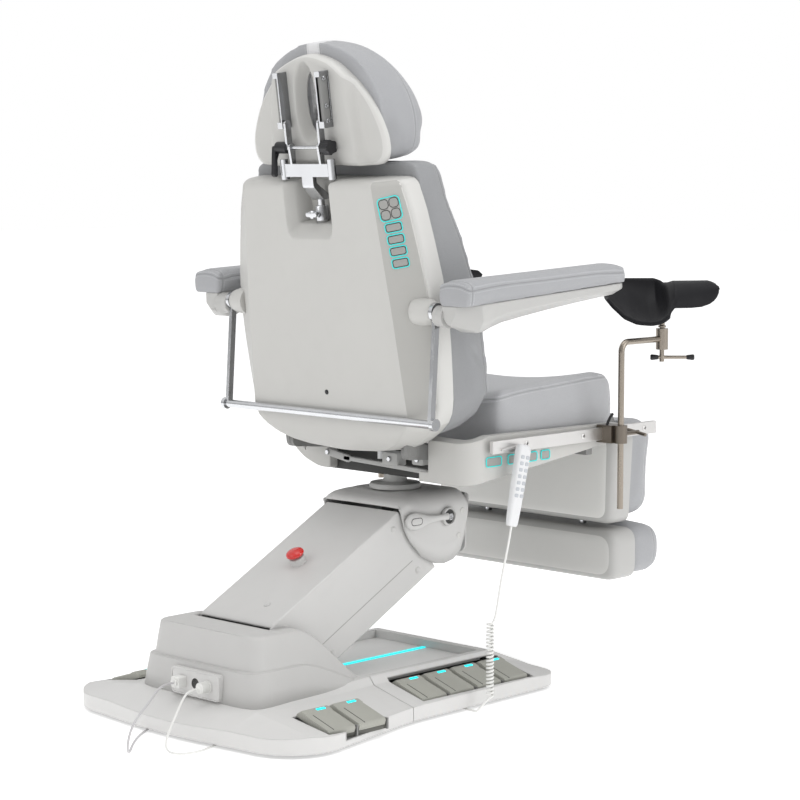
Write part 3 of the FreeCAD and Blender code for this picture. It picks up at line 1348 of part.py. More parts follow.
def headrest_bracket():
    """Sliding post, bent stem and cross plate with two side posts and the ears of the link rod."""
    front = CROSS_PLATE_FRONT
    rear = front + CROSS_PLATE
    post = rod(V(0, POST_DEPTH, POST_FOOT), V(0, POST_DEPTH, POST_BEND + 4), POST_R)
    outline = [
        (POST_DEPTH - POST_R, POST_BEND), (POST_DEPTH + POST_R, POST_BEND), (rear, POST_BEND + 32), (rear,
        CROSS_PLATE_TOP),
        (front, CROSS_PLATE_TOP), (front, POST_BEND + 38), (POST_DEPTH - POST_R, POST_BEND + 12),
    ]
    stem = prism_x(outline, [0, 6, 10, 0, 0, 8, 4], -STEM_HALF, STEM_HALF)
    plate = box(-CROSS_PLATE_HALF, CROSS_PLATE_HALF, front, rear, CROSS_PLATE_FOOT, CROSS_PLATE_TOP)
    side_y = (front + rear) / 2
    side = rod(V(SIDE_POST_X, side_y, CROSS_PLATE_FOOT - 6), V(SIDE_POST_X, side_y, SIDE_POST_TOP),
        SIDE_POST_R)
    ear_out = HEAD_LINK_X - FACE_GAP
    boss = CROSS_ROD_R + 5
    ear = [
        (front, CROSS_PLATE_TOP - 4), (LINK_PIVOT_DEPTH - boss, LINK_PIVOT_UP + boss),
        (LINK_PIVOT_DEPTH + boss, LINK_PIVOT_UP + boss), (rear, CROSS_PLATE_TOP - 4),
    ]
    ears = both_sides(prism_x(ear, [0, 7, 7, 0], ear_out - HEAD_LINK_THICK, ear_out))
    bracket = fuse(post, stem, plate, *(both_sides(side) + ears))
    return on_back(bracket.cut(bar_x(-HEAD_LINK_X, HEAD_LINK_X, LINK_PIVOT_DEPTH, LINK_PIVOT_UP,
        CROSS_ROD_R + RUN)))


def headrest_links():
    """Pair of short links on the cross rod."""
    half = HEAD_LINK_WIDE / 2
    depth = LINK_PIVOT_DEPTH
    outline = [
        (depth - half, LINK_PIVOT_UP - half), (depth + half, LINK_PIVOT_UP - half), (depth + half,
        HEAD_PIVOT_UP + half),
        (depth - half, HEAD_PIVOT_UP + half),
    ]
    link = prism_x(outline, [half - 1] * 4, HEAD_LINK_X, HEAD_LINK_X + HEAD_LINK_THICK)
    reach = HEAD_LINK_X + HEAD_LINK_THICK
    cross = bar_x(-reach, reach, depth, LINK_PIVOT_UP, CROSS_ROD_R)
    pin_end = HEAD_RAIL_X + 4
    pins = both_sides(bar_x(reach - 1, pin_end, depth, HEAD_PIVOT_UP, CROSS_ROD_R))
    return on_back(fuse(cross, *(both_sides(link) + pins)))


def headrest_knobs():
    """Clamp lever on the left end of the cross rod and star knob on the right end."""
    depth = LINK_PIVOT_DEPTH
    start = HEAD_LINK_X + HEAD_LINK_THICK
    knob = bar_x(-start - KNOB_LENGTH, -start, depth, LINK_PIVOT_UP, KNOB_R - 3)
    lobes = 5
    for index in range(lobes):
        angle = 2 * math.pi * index / lobes
        y = depth + (KNOB_R - 6) * math.cos(angle)
        z = LINK_PIVOT_UP + (KNOB_R - 6) * math.sin(angle)
        knob = fuse(knob, bar_x(-start - KNOB_LENGTH, -start - 8, y, z, 6))
    lever_in = SIDE_POST_X + SIDE_POST_R + 2
    hub = bar_x(start, lever_in + 2, depth, LINK_PIVOT_UP, KNOB_R - 4)
    handle = [
        (depth - 9, LINK_PIVOT_UP + 6), (depth + 11, LINK_PIVOT_UP + 4), (depth + 22,
        LINK_PIVOT_UP - HEAD_LEVER_DROP + 8),
        (depth + 12, LINK_PIVOT_UP - HEAD_LEVER_DROP), (depth + 8, LINK_PIVOT_UP - 26),
    ]
    lever = fuse(hub, prism_x(handle, [4, 4, 5, 5, 10], lever_in, lever_in + STEEL))
    return on_back(group([knob, lever]))


def headrest_rails():
    """Two channel rails on the rear of the headrest shell with the link pivots."""
    wall = 3.0
    x1 = HEAD_RAIL_X + HEAD_RAIL_WIDE
    rear = LINK_PIVOT_DEPTH + 8
    low = HEAD_PIVOT_UP - 10
    rail = box(HEAD_RAIL_X, x1, HEAD_REAR, rear, low, HEAD_RAIL_TOP)
    rail = rail.cut(box(HEAD_RAIL_X + wall, x1 + 1, HEAD_REAR + wall, rear + 1, low + 14,
        HEAD_RAIL_TOP - 12))
    rail = rail.cut(bar_x(HEAD_RAIL_X - 1, HEAD_RAIL_X + 4 + FACE_GAP, LINK_PIVOT_DEPTH, HEAD_PIVOT_UP,
        CROSS_ROD_R + RUN))
    return on_back(group(both_sides(rail)))


def head_outline(depth, half, foot, top):
    """Dome-shaped outline of the headrest at one depth: nearly straight sides under a round arch."""
    dome = top - HEAD_DOME
    share = half / HEAD_SHELL_HALF
    foot_half = half - 10
    corner = 22.0

    def arch(turn):
        angle = math.radians(turn)
        return V(half * math.cos(angle), depth, dome + HEAD_DOME * math.sin(angle))

    right = [Part.Arc(arch(0), arch(26), arch(52)).toShape()]
    crest = Part.Arc(arch(52), arch(90), arch(128)).toShape()
    left = Part.Arc(arch(128), arch(154), arch(180)).toShape()
    low_left = V(-foot_half, depth, foot + corner)
    low_right = V(foot_half, depth, foot + corner)
    turn = corner * (1 - math.sqrt(0.5))
    edges = right + [crest, left, Part.makeLine(arch(180), low_left)]
    foot_left = V(-foot_half + corner * share, depth, foot)
    foot_right = V(foot_half - corner * share, depth, foot)
    edges.append(Part.Arc(low_left, V(-foot_half + turn * share, depth, foot + turn), foot_left).toShape())
    edges.append(Part.makeLine(foot_left, foot_right))
    edges.append(Part.Arc(foot_right, V(foot_half - turn * share, depth, foot + turn), low_right).toShape())
    edges.append(Part.makeLine(low_right, arch(0)))
    return Part.Wire(edges)


def headrest_shell():
    """Bowl-shaped rear shell of the headrest with an oval recess."""
    outer = Part.makeLoft(
        [head_outline(HEAD_FRONT, HEAD_SHELL_HALF, HEAD_FOOT, HEAD_TOP),
         head_outline(HEAD_REAR, HEAD_REAR_HALF, HEAD_FOOT + 8, HEAD_TOP - 26)], True, True)
    hollow = Part.makeLoft(
        [head_outline(HEAD_FRONT, HEAD_SHELL_HALF, HEAD_FOOT, HEAD_TOP).makeOffset2D(-PLASTIC),
         head_outline(HEAD_REAR - PLASTIC, HEAD_REAR_HALF, HEAD_FOOT + 8,
         HEAD_TOP - 26).makeOffset2D(-PLASTIC)], True, True)
    shell = outer.cut(hollow)
    tub = recess_column(HEAD_RECESS_HALF + PLASTIC, HEAD_REAR - HEAD_RECESS - PLASTIC, HEAD_REAR)
    shell = fuse(shell, tub)
    shell = shell.cut(recess_column(HEAD_RECESS_HALF, HEAD_REAR - HEAD_RECESS, HEAD_REAR + 1))
    return on_back(shell)


def recess_column(half, front, rear):
    """Oval column through the middle of the headrest shell."""
    grow = half - HEAD_RECESS_HALF
    low = HEAD_RECESS_LOW - grow
    high = HEAD_RECESS_HIGH + grow
    points = [V(-half, front, low), V(half, front, low), V(half, front, high), V(-half, front, high)]
    return slab(points, [half - 1] * 4, V(0, rear - front, 0))


def headrest_cushion():
    """Head pad: a domed outline lofted to a smaller front face."""
    back_face = HEAD_FRONT - SOFT_GAP
    wires = []
    for share, draw in ((0.0, 5), (0.06, 1), (0.2, -2), (0.55, 0), (0.75, 6), (0.88, 14), (0.96, 25),
        (1.0, 40)):
        depth = back_face - share * HEAD_PAD
        lean = HEAD_PAD_LEAN * share ** 2
        wires.append(head_outline(depth, HEAD_SHELL_HALF - draw, HEAD_FOOT + 4 + draw,
            HEAD_TOP + 12 - draw - lean))
    return on_back(cushion(wires))


# Leg and foot sections


def leg_shell():
    """Rear shell of the leg section with its hinge bracket and the guide sleeves of the foot section."""
    low_half = LEG_HALF - LEG_TAPER
    rim_z = LEG_TOP_Z - LEG_SHELL_DROP
    outer = [
        V(-LEG_HALF, LEG_REAR_Y, rim_z), V(LEG_HALF, LEG_REAR_Y, rim_z), V(low_half, LEG_REAR_Y,
        LEG_FOOT_Z),
        V(-low_half, LEG_REAR_Y, LEG_FOOT_Z),
    ]
    depth = LEG_SPLIT_Y - LEG_REAR_Y
    wire = rounded_wire(outer, [20, 20, 26, 26])
    shell = Part.Face(wire).extrude(V(0, depth, 0))
    pocket = Part.Face(wire.makeOffset2D(-PLASTIC)).extrude(V(0, depth + PLASTIC, 0))
    pocket.translate(V(0, -PLASTIC, 0))
    shell = shell.cut(pocket)
    sheet = BRACKET_SHEET
    plate_top = rim_z - PLASTIC - SOFT_GAP
    ear_in = LEG_EAR_X + STEEL + FACE_GAP
    ear_out = ear_in + STEEL
    boss = LEG_PIN_R + 7
    ear = [
        (LEG_SPLIT_Y, LEG_HINGE_Z - 90), (LEG_HINGE_Y + 4, LEG_HINGE_Z - 60), (LEG_HINGE_Y + boss,
        LEG_HINGE_Z),
        (LEG_HINGE_Y + boss, LEG_HINGE_Z + boss), (LEG_HINGE_Y - boss, LEG_HINGE_Z + boss),
        (LEG_SPLIT_Y, LEG_HINGE_Z - 20),
    ]
    ears = both_sides(prism_x(ear, [0, 12, 8, 12, 12, 6], ear_in, ear_out))
    plate = box(-LEG_PLATE_HALF, LEG_PLATE_HALF, LEG_SPLIT_Y, LEG_SPLIT_Y + sheet, LEG_FOOT_Z + 40,
        plate_top)
    wings = box(-ear_out, ear_out, LEG_SPLIT_Y, LEG_SPLIT_Y + sheet, LEG_HINGE_Z - 120, plate_top)
    bracket = fuse(plate, wings, *ears)
    sleeve_y = LEG_SPLIT_Y + sheet + SLIDE_TUBE
    half = SLIDE_TUBE
    slot = SLIDE_TUBE + SHELL_GAP
    for x in (SLIDE_X, -SLIDE_X):
        sleeve = box(x - half, x + half, sleeve_y - half, sleeve_y + half, LEG_FOOT_Z + 44,
            LEG_FOOT_Z + 120)
        bracket = fuse(bracket, sleeve)
        bore = rod(V(x, sleeve_y, LEG_FOOT_Z), V(x, sleeve_y, LEG_TOP_Z), SLIDE_ROD_R + RUN)
        bracket = bracket.cut(bore)
        shell = shell.cut(box(
            x - slot, x + slot, sleeve_y - slot, sleeve_y + slot, LEG_FOOT_Z - 1, LEG_FOOT_Z + PLASTIC + 1))
    bracket = bracket.cut(bar_x(-LEG_HALF, LEG_HALF, LEG_HINGE_Y, LEG_HINGE_Z, LEG_PIN_R + RUN))
    gap = SHELL_GAP
    ear_slot = box(
        ear_in - gap, ear_out + gap, LEG_SPLIT_Y - 1, LEG_HINGE_Y + boss + gap, rim_z - PLASTIC - 1,
        rim_z + 1)
    shell = shell.cut(both_sides(ear_slot))
    return group([shell, bracket])


def front_pad(half_low, half_high, low, high, back, front, corner):
    """Upright pad: rounded outline at the back, swelling and drawn in again at the front."""
    depth = back - front
    wires = []
    for share, draw in ((0.0, 5), (0.08, 1), (0.2, 0), (0.6, 0), (0.78, 4), (0.9, 11), (0.97, 19), (1.0,
        28)):
        y = back - share * depth
        points = [
            V(-half_high + draw, y, high - draw), V(half_high - draw, y, high - draw), V(half_low - draw,
            y, low + draw),
            V(-half_low + draw, y, low + draw),
        ]
        wires.append(rounded_wire(points, [corner] * 4))
    return cushion(wires)


def leg_cushion():
    """Upholstered front of the leg section."""
    back = LEG_SPLIT_Y - SOFT_GAP
    pad = front_pad(LEG_HALF - LEG_TAPER, LEG_HALF, LEG_FOOT_Z + 6, LEG_TOP_Z - 4, back, LEG_FRONT_Y, 44)
    ear_in = LEG_EAR_X - 3
    notch = box(ear_in, LEG_EAR_X + 2 * STEEL + 5, LEG_SPLIT_Y - 16, back + 10, LEG_HINGE_Z - 50,
        LEG_TOP_Z + 5)
    return pad.cut(both_sides(notch))


def foot_shell():
    """Rear shell of the foot section on two rods that slide in the leg section."""
    depth = FOOT_SPLIT_Y - FOOT_REAR_Y
    points = [V(-FOOT_HALF, FOOT_REAR_Y, FOOT_TOP_Z), V(FOOT_HALF, FOOT_REAR_Y, FOOT_TOP_Z),
              V(FOOT_HALF, FOOT_REAR_Y, FOOT_LOW_Z), V(-FOOT_HALF, FOOT_REAR_Y, FOOT_LOW_Z)]
    wire = rounded_wire(points, [24, 24, 40, 40])
    shell = Part.Face(wire).extrude(V(0, depth, 0))
    pocket = Part.Face(wire.makeOffset2D(-PLASTIC)).extrude(V(0, depth + PLASTIC, 0))
    pocket.translate(V(0, -PLASTIC, 0))
    shell = shell.cut(pocket)
    sheet = BRACKET_SHEET
    sleeve_y = LEG_SPLIT_Y + sheet + SLIDE_TUBE
    rods = []
    for x in (SLIDE_X, -SLIDE_X):
        bar = rod(V(x, sleeve_y, FOOT_LOW_Z + 40), V(x, sleeve_y, LEG_FOOT_Z + SLIDE_UP), SLIDE_ROD_R)
        foot = box(x - 20, x + 20, FOOT_SPLIT_Y + sheet, sleeve_y, FOOT_LOW_Z + 40, FOOT_LOW_Z + 80)
        rods.append(fuse(bar, foot))
    plate = box(-LEG_PLATE_HALF, LEG_PLATE_HALF, FOOT_SPLIT_Y, FOOT_SPLIT_Y + sheet, FOOT_LOW_Z + 24,
        FOOT_TOP_Z - 16)
    bracket = fuse(plate, *rods)
    for x in (SLIDE_X, -SLIDE_X):
        hole = rod(V(x, sleeve_y, FOOT_TOP_Z - 20), V(x, sleeve_y, FOOT_TOP_Z + 5), SLIDE_ROD_R + SHELL_GAP)
        shell = shell.cut(hole)
    return group([shell, bracket])


def foot_cushion():
    """Upholstered front of the foot section."""
    back = FOOT_SPLIT_Y - SOFT_GAP
    return front_pad(FOOT_HALF, FOOT_HALF, FOOT_LOW_Z + 4, FOOT_TOP_Z + 2, back, FOOT_FRONT_Y, 36)


# Stirrups


def rail_clamp():
    """Left-hand rail clamp: a jaw round the rail, a rod eye and a clamp screw with a tee bar."""
    half = CLAMP_LENGTH / 2
    rail_in = RAIL_OUT - RAIL_THICK
    low = RAIL_Z - CLAMP_HIGH / 2
    out = ROD_X - ROD_R - 4
    jaw = box(rail_in - CLAMP_WALL + 1, out + 1, CLAMP_Y - half, CLAMP_Y + half, low, low + CLAMP_HIGH)
    slot_low = RAIL_Z - RAIL_HIGH / 2
    jaw = jaw.cut(box(rail_in, RAIL_OUT, CLAMP_Y - half - 1, CLAMP_Y + half + 1, slot_low,
        slot_low + RAIL_HIGH))
    jaw = jaw.cut(box(0, rail_in + 1, CLAMP_Y - half - 1, CLAMP_Y + half + 1, slot_low + 6,
        slot_low + RAIL_HIGH - 6))
    eye = rod(V(ROD_X, CLAMP_Y, low), V(ROD_X, CLAMP_Y, low + CLAMP_HIGH), ROD_R + 8)
    screw_y = CLAMP_Y - ROD_R - 6
    screw = rod(V(ROD_X, screw_y, RAIL_Z), V(ROD_X, screw_y - CLAMP_SCREW_REACH, RAIL_Z), TEE_R + 1)
    tee_y = screw_y - CLAMP_SCREW_REACH + 6
    tee = rod(V(ROD_X - 26, tee_y, RAIL_Z + 4), V(ROD_X + 26, tee_y, RAIL_Z - 4), TEE_R)
    clamp = fuse(jaw, eye, screw, tee)
    return clamp.cut(rod(V(ROD_X, CLAMP_Y, low - 1), V(ROD_X, CLAMP_Y, low + CLAMP_HIGH + 1), ROD_R + RUN))


def stirrup_rod():
    """Left-hand stirrup rod: upright, a bend, and a knuckle that takes the cradle's pin."""
    bend = ROD_BEND_R
    foot = V(ROD_X, CLAMP_Y, ROD_FOOT_Z)
    corner_low = V(ROD_X, CLAMP_Y, ROD_TOP_Z - bend)
    corner_high = V(ROD_X, CLAMP_Y - bend, ROD_TOP_Z)
    turn = math.sqrt(0.5) * bend
    middle = V(ROD_X, CLAMP_Y - bend + turn, ROD_TOP_Z - bend + turn)
    end = V(ROD_X, KNUCKLE_Y, ROD_TOP_Z)
    path = Part.Wire([
        Part.makeLine(foot, corner_low), Part.Arc(corner_low, middle, corner_high).toShape(),
        Part.makeLine(corner_high, end)])
    profile = Part.Wire(Part.makeCircle(ROD_R, foot, V(0, 0, 1)))
    tube = path.makePipeShell([profile], True, False)
    knuckle = rod(V(ROD_X, KNUCKLE_Y, ROD_TOP_Z - KNUCKLE_HALF), V(ROD_X, KNUCKLE_Y,
        ROD_TOP_Z + KNUCKLE_HALF), KNUCKLE_R)
    arm = fuse(tube, knuckle)
    bore_foot = ROD_TOP_Z - KNUCKLE_HALF
    return arm.cut(rod(V(ROD_X, KNUCKLE_Y, bore_foot - 1), V(ROD_X, KNUCKLE_Y,
        bore_foot + 2 * KNUCKLE_HALF + 1),
                       CRADLE_PIN_R + RUN))


def cradle_profile():
    """Cross-section of the leg cradle in (across, up): a trough with one wing."""
    inner = TROUGH_R - CRADLE_SHEET
    top = TRAY_FLOOR_Z + TROUGH_R
    rim = top + TROUGH_WALL
    shift = -TROUGH_SHIFT

    def at(radius, angle):
        turn = math.radians(angle)
        return V(shift + radius * math.cos(turn), 0, top + radius * math.sin(turn))

    tip = V(WING, 0, rim)
    tip_low = V(WING, 0, rim - CRADLE_SHEET)
    left_rim = V(shift - TROUGH_R, 0, rim)
    left_inner = V(shift - inner, 0, rim)
    crest = V(shift + inner, 0, rim)
    edges = [
        Part.makeLine(left_rim, at(TROUGH_R, 180)),
        Part.Arc(at(TROUGH_R, 180), at(TROUGH_R, 225), at(TROUGH_R, 270)).toShape(),
        Part.Arc(at(TROUGH_R, 270), at(TROUGH_R, 312), at(TROUGH_R, 355)).toShape(),
        Part.makeLine(at(TROUGH_R, 355), V(shift + TROUGH_R, 0, rim - CRADLE_SHEET)),
        Part.makeLine(V(shift + TROUGH_R, 0, rim - CRADLE_SHEET), tip_low),
        Part.makeLine(tip_low, tip),
        Part.makeLine(tip, crest),
        Part.makeLine(crest, at(inner, 0)),
        Part.Arc(at(inner, 0), at(inner, -45), at(inner, -90)).toShape(),
        Part.Arc(at(inner, -90), at(inner, -135), at(inner, -180)).toShape(),
        Part.makeLine(at(inner, -180), left_inner),
        Part.makeLine(left_inner, left_rim),
    ]
    return Part.Wire(edges)


def cradle_wing():
    """Turned-down end of the wing."""
    rim = TRAY_FLOOR_Z + TROUGH_R + TROUGH_WALL
    start = TROUGH_R - TROUGH_SHIFT - 2
    rear = CRADLE_LENGTH / 2
    points = [V(start, rear, rim), V(WING, rear, rim), V(WING - 14, rear, rim - WING_DROP), V(start, rear,
        rim - WING_DROP)]
    return slab(points, [0, 0, WING_R, 6], V(0, -CRADLE_SHEET, 0))


def place_cradle(shape, turn):
    """Turn a piece of the left cradle about its pin and put it on the knuckle."""
    placed = shape.copy()
    placed.rotate(V(0, 0, 0), V(0, 0, 1), turn)
    placed.translate(V(ROD_X, KNUCKLE_Y, 0))
    return placed


def stirrup_cradle(turn):
    """Left-hand leg cradle with its pin through the knuckle and the tee handle under it."""
    trough = Part.Face(cradle_profile()).extrude(V(0, CRADLE_LENGTH, 0))
    trough.translate(V(0, -CRADLE_LENGTH / 2, 0))
    trough = fuse(trough, cradle_wing())
    base_z = ROD_TOP_Z + KNUCKLE_HALF
    top = TRAY_FLOOR_Z + TROUGH_R
    flange = rod(V(0, 0, base_z + FACE_GAP), V(0, 0, top), CRADLE_PIN_R + 5)
    inner = TROUGH_R - CRADLE_SHEET / 2
    hollow = rod(V(-TROUGH_SHIFT, -CRADLE_LENGTH, top), V(-TROUGH_SHIFT, CRADLE_LENGTH, top), inner)
    flange = flange.cut(hollow)
    pin_foot = ROD_TOP_Z - KNUCKLE_HALF - TEE_DROP + 16
    pin = rod(V(0, 0, pin_foot), V(0, 0, base_z + 6), CRADLE_PIN_R)
    tee_z = pin_foot + 8
    tee = rod(V(-TEE_SHORT, 0, tee_z), V(TEE_LONG, 0, tee_z), TEE_R)
    tips = [rod(V(-TEE_SHORT, 0, tee_z), V(TEE_TIP - TEE_SHORT, 0, tee_z), TEE_TIP_R)]
    tips.append(rod(V(TEE_LONG - TEE_TIP, 0, tee_z), V(TEE_LONG, 0, tee_z), TEE_TIP_R))
    return place_cradle(fuse(trough, flange, pin, tee, *tips), turn)



# Handset and cords


def hook_x():
    """Distance of the handset hook's centre line from the middle of the chair."""
    return RAIL_OUT + HOOK_R - 1


def handset_inner_x():
    """Distance of the handset's inner face from the middle of the chair."""
    return hook_x() + HOOK_R + HOOK_GAP


def handset():
    """Hand control hanging on the right-hand rail."""
    half = HANDSET_WIDE / 2
    points = [V(0, -half, -HANDSET_LONG / 2), V(0, half, -HANDSET_LONG / 2), V(0, half, HANDSET_LONG / 2),
        V(0, -half, HANDSET_LONG / 2)]
    body = slab(points, [9, 9, 12, 12], V(-HANDSET_THICK, 0, 0))
    body.rotate(V(0, 0, 0), V(1, 0, 0), -HANDSET_LEAN)
    body.translate(V(-handset_inner_x(), HANDSET_Y, HANDSET_Z))
    return body


def cord_path(points):
    """Straight runs joined by tangent arcs, each as large as its two runs allow."""
    edges = []
    radii = []
    start = points[0]
    for before, corner, after in zip(points, points[1:], points[2:]):
        back = (before - corner)
        ahead = (after - corner)
        run = min(back.Length, ahead.Length) * 0.45
        back.normalize()
        ahead.normalize()
        half = back.getAngle(ahead) / 2
        radius = run * math.tan(half)
        reach = radius / math.sin(half) - radius
        entry = corner + back * run
        leave = corner + ahead * run
        middle = corner + (back + ahead).normalize() * reach
        edges.append(Part.makeLine(start, entry))
        edges.append(Part.Arc(entry, middle, leave).toShape())
        radii.append(radius)
        start = leave
    edges.append(Part.makeLine(start, points[-1]))
    return Part.Wire(edges), radii


def cord_tube(name, points, diameter):
    """Round cord along a route; prints its radii and compares its volume with section times length."""
    path, radii = cord_path(points)
    profile = Part.Wire(Part.makeCircle(diameter / 2, points[0], points[1] - points[0]))
    tube = path.makePipeShell([profile], True, False)
    ideal = math.pi * diameter ** 2 / 4 * path.Length
    print(name, "radii", [round(radius, 1) for radius in radii], "length", round(path.Length, 1),
          "volume share", round(tube.Volume / ideal, 4))
    return tube


def plug_end(x):
    """Rear end of a plug, where its lead comes out."""
    return V(x, panel_face_y() + PLUG_OUT, socket_height())


def lead_plugs():
    """Plugs in the two outer sockets."""
    plugs = []
    for x in (socket_places()[0], socket_places()[2]):
        z = socket_height()
        start = V(x, panel_face_y() - PLUG_IN, z)
        face = V(x, panel_face_y() + 1, z)
        plugs.append(fuse(rod(start, face, PLUG_R), rod(face, plug_end(x), PLUG_GRIP_R)))
    return group(plugs)


def rear_leads():
    """Two leads from the rear plugs down to the floor and under the base."""
    left_start = plug_end(socket_places()[2])
    right_start = plug_end(socket_places()[0])
    left = cord_tube("rear lead left", [left_start] + LEAD_ROUTE_LEFT, LEAD_D)
    right = cord_tube("rear lead right", [right_start] + LEAD_ROUTE_RIGHT, LEAD_D)
    return group([left, right])


def corner_arc(start, corner, end):
    """Arc that leaves start towards corner and reaches end coming from corner, both equally far from it."""
    chord = (start + end) / 2 - corner
    half = (start - corner).getAngle(chord)
    radius = (start - corner).Length * math.tan(half)
    reach = radius / math.sin(half) - radius
    return Part.Arc(start, corner + chord.normalize() * reach, end).toShape(), radius


def biarc(start, start_way, end, end_way):
    """Two tangent arcs between two points with given directions."""
    span = end - start
    sum_way = start_way + end_way
    slack = 2 * (1 - start_way.dot(end_way))
    along = span.dot(sum_way)
    if slack < 1e-9:
        tangent = span.dot(span) / (2 * along)
    else:
        tangent = (math.sqrt(along ** 2 + slack * span.dot(span)) - along) / slack
    first = start + start_way * tangent
    last = end - end_way * tangent
    join = (first + last) / 2
    arc_in, radius_in = corner_arc(start, first, join)
    arc_out, radius_out = corner_arc(join, last, end)
    return [arc_in, arc_out], min(radius_in, radius_out)


def curl_point(turns):
    """Point and direction on the curls after a number of turns."""
    angle = math.pi + 2 * math.pi * turns
    z = CURL_TOP_Z - CURL_PITCH * turns
    point = V(CURL_X + CURL_R * math.cos(angle), CURL_Y - CURL_R * math.sin(angle), z)
    way = V(-CURL_R * math.sin(angle), -CURL_R * math.cos(angle), -CURL_PITCH / (2 * math.pi))
    return point, way.normalize()


def handset_cord():
    """One tube: hanging from the handset, curled, then along the floor and under the base."""
    lean = math.radians(HANDSET_LEAN)
    axis = V(0, -math.sin(lean), -math.cos(lean))
    middle = V(-handset_inner_x() - HANDSET_THICK / 2, HANDSET_Y, HANDSET_Z)
    start = middle + axis * (HANDSET_LONG / 2)
    stops = [(start + axis * HANDSET_CORD_D, axis), (CORD_SAG, CORD_SAG_WAY.normalize())]
    stops += [curl_point(half / 2) for half in range(2 * CURL_TURNS + 1)]
    floor_way = (CORD_END - CORD_FLOOR).normalize()
    stops.append((CORD_FLOOR, floor_way))
    edges = [Part.makeLine(start, stops[0][0])]
    radii = []
    for (point, way), (following, following_way) in zip(stops, stops[1:]):
        arcs, radius = biarc(point, way, following, following_way)
        edges += arcs
        radii.append(radius)
    edges.append(Part.makeLine(CORD_FLOOR, CORD_END))
    path = Part.Wire(edges)
    profile = Part.Wire(Part.makeCircle(HANDSET_CORD_D / 2, start, axis))
    tube = path.makePipeShell([profile], True, False)
    ideal = math.pi * HANDSET_CORD_D ** 2 / 4 * path.Length
    print("handset cord length", round(path.Length, 1), "least radius", round(min(radii), 2),
          "entry radii", [round(radius, 1) for radius in radii[:3]], "exit radius", round(radii[-1], 1),
          "volume share", round(tube.Volume / ideal, 4))
    report_self_gap(path)
    return tube


def report_self_gap(path):
    """Print the least gap between parts of the cord that are more than half a turn apart along it."""
    points = path.discretize(Distance=0.8)
    step = path.Length / (len(points) - 1)
    apart = int(math.pi * CURL_R / step) + 1
    nearest = min(
        points[index].distanceToPoint(other)
        for index in range(len(points))
        for other in points[index + apart:index + 5 * apart])
    print("handset cord least self gap", round(nearest - HANDSET_CORD_D, 2))


def write(named):
    """One file for each node, set over the middle of the footprint."""
    os.makedirs("parts", exist_ok=True)
    for name, shape in named.items():
        placed = shape.copy()
        placed.translate(V(0, -STANCE_Y, 0))
        placed.exportStep("parts/%s.step" % name)


def main():
    """Build every node and write it."""
    cover_front, cover_rear = base_covers()
    named = {
        "base_chassis": base_chassis(),
        "base_cover_front": cover_front,
        "base_cover_rear": cover_rear,
        "levelling_feet": levelling_feet(),
        "tray_light": tray_light(),
        "pivot_housing": pivot_housing(),
        "connector_panel": connector_panel(),
        "lift_arm_cover": lift_arm_cover(),
        "lift_arm_beam": lift_arm_beam(),
        "lift_link": lift_link(),
        "emergency_stop_button": emergency_stop_button(),
        "lift_head_block": lift_head_block(),
        "lift_head_cover": lift_head_cover(),
        "swivel_lock_lever": swivel_lock_lever(),
        "swivel_column": swivel_column(),
        "seat_frame": seat_frame(),
        "seat_side_covers": seat_side_covers(),
        "side_rails": side_rails(),
        "seat_cushion": seat_cushion(),
        "seat_keys": seat_keys(),
        "back_frame": back_frame(),
        "back_shell": back_shell(),
        "back_cushion": back_cushion(),
        "back_keys": back_keys(),
        "paper_roll_holder": paper_roll_holder(),
        "headrest_bracket": headrest_bracket(),
        "headrest_links": headrest_links(),
        "headrest_knobs": headrest_knobs(),
        "headrest_rails": headrest_rails(),
        "headrest_shell": headrest_shell(),
        "headrest_cushion": headrest_cushion(),
        "leg_shell": leg_shell(),
        "leg_cushion": leg_cushion(),
        "foot_shell": foot_shell(),
        "foot_cushion": foot_cushion(),
        "handset": handset(),
        "rail_clamps": group(both_sides(rail_clamp())),
        "lead_plugs": lead_plugs(),
        "rear_leads": rear_leads(),
        "handset_cord": handset_cord(),
    }
    for name, left in (
        ("armrest_body", armrest_body()), ("armrest_pad", armrest_pad()), ("stirrup_rod", stirrup_rod()),
    ):
        named[name + "_left"] = left
        named[name + "_right"] = mirrored(left)
    named["stirrup_cradle_right"] = mirrored(stirrup_cradle(-CRADLE_YAW))
    named["stirrup_cradle_left"] = stirrup_cradle(CRADLE_TURN_LEFT - CRADLE_YAW)
    named.update(pedals())
    write(named)


main()
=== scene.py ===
import logging
import math
from dataclasses import dataclass
from enum import Enum
from typing import Callable, Dict, List, Optional, Sequence, Tuple, Union

import bmesh
import bpy
import numpy as np
from mathutils import Matrix, Vector


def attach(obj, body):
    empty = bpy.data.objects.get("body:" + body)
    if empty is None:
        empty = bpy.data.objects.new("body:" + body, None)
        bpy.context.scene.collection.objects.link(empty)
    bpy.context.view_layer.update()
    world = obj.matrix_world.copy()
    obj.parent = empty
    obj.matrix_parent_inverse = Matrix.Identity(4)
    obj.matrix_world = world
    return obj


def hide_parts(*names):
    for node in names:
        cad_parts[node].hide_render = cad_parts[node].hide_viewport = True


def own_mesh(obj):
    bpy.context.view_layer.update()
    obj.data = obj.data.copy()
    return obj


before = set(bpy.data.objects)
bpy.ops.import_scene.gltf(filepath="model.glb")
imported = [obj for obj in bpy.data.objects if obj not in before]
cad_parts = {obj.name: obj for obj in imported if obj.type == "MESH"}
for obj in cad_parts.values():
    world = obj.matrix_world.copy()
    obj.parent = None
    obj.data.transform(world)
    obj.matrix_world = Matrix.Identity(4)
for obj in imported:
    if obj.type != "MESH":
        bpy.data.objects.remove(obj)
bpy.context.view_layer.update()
LOG = logging.getLogger("exam_chair")

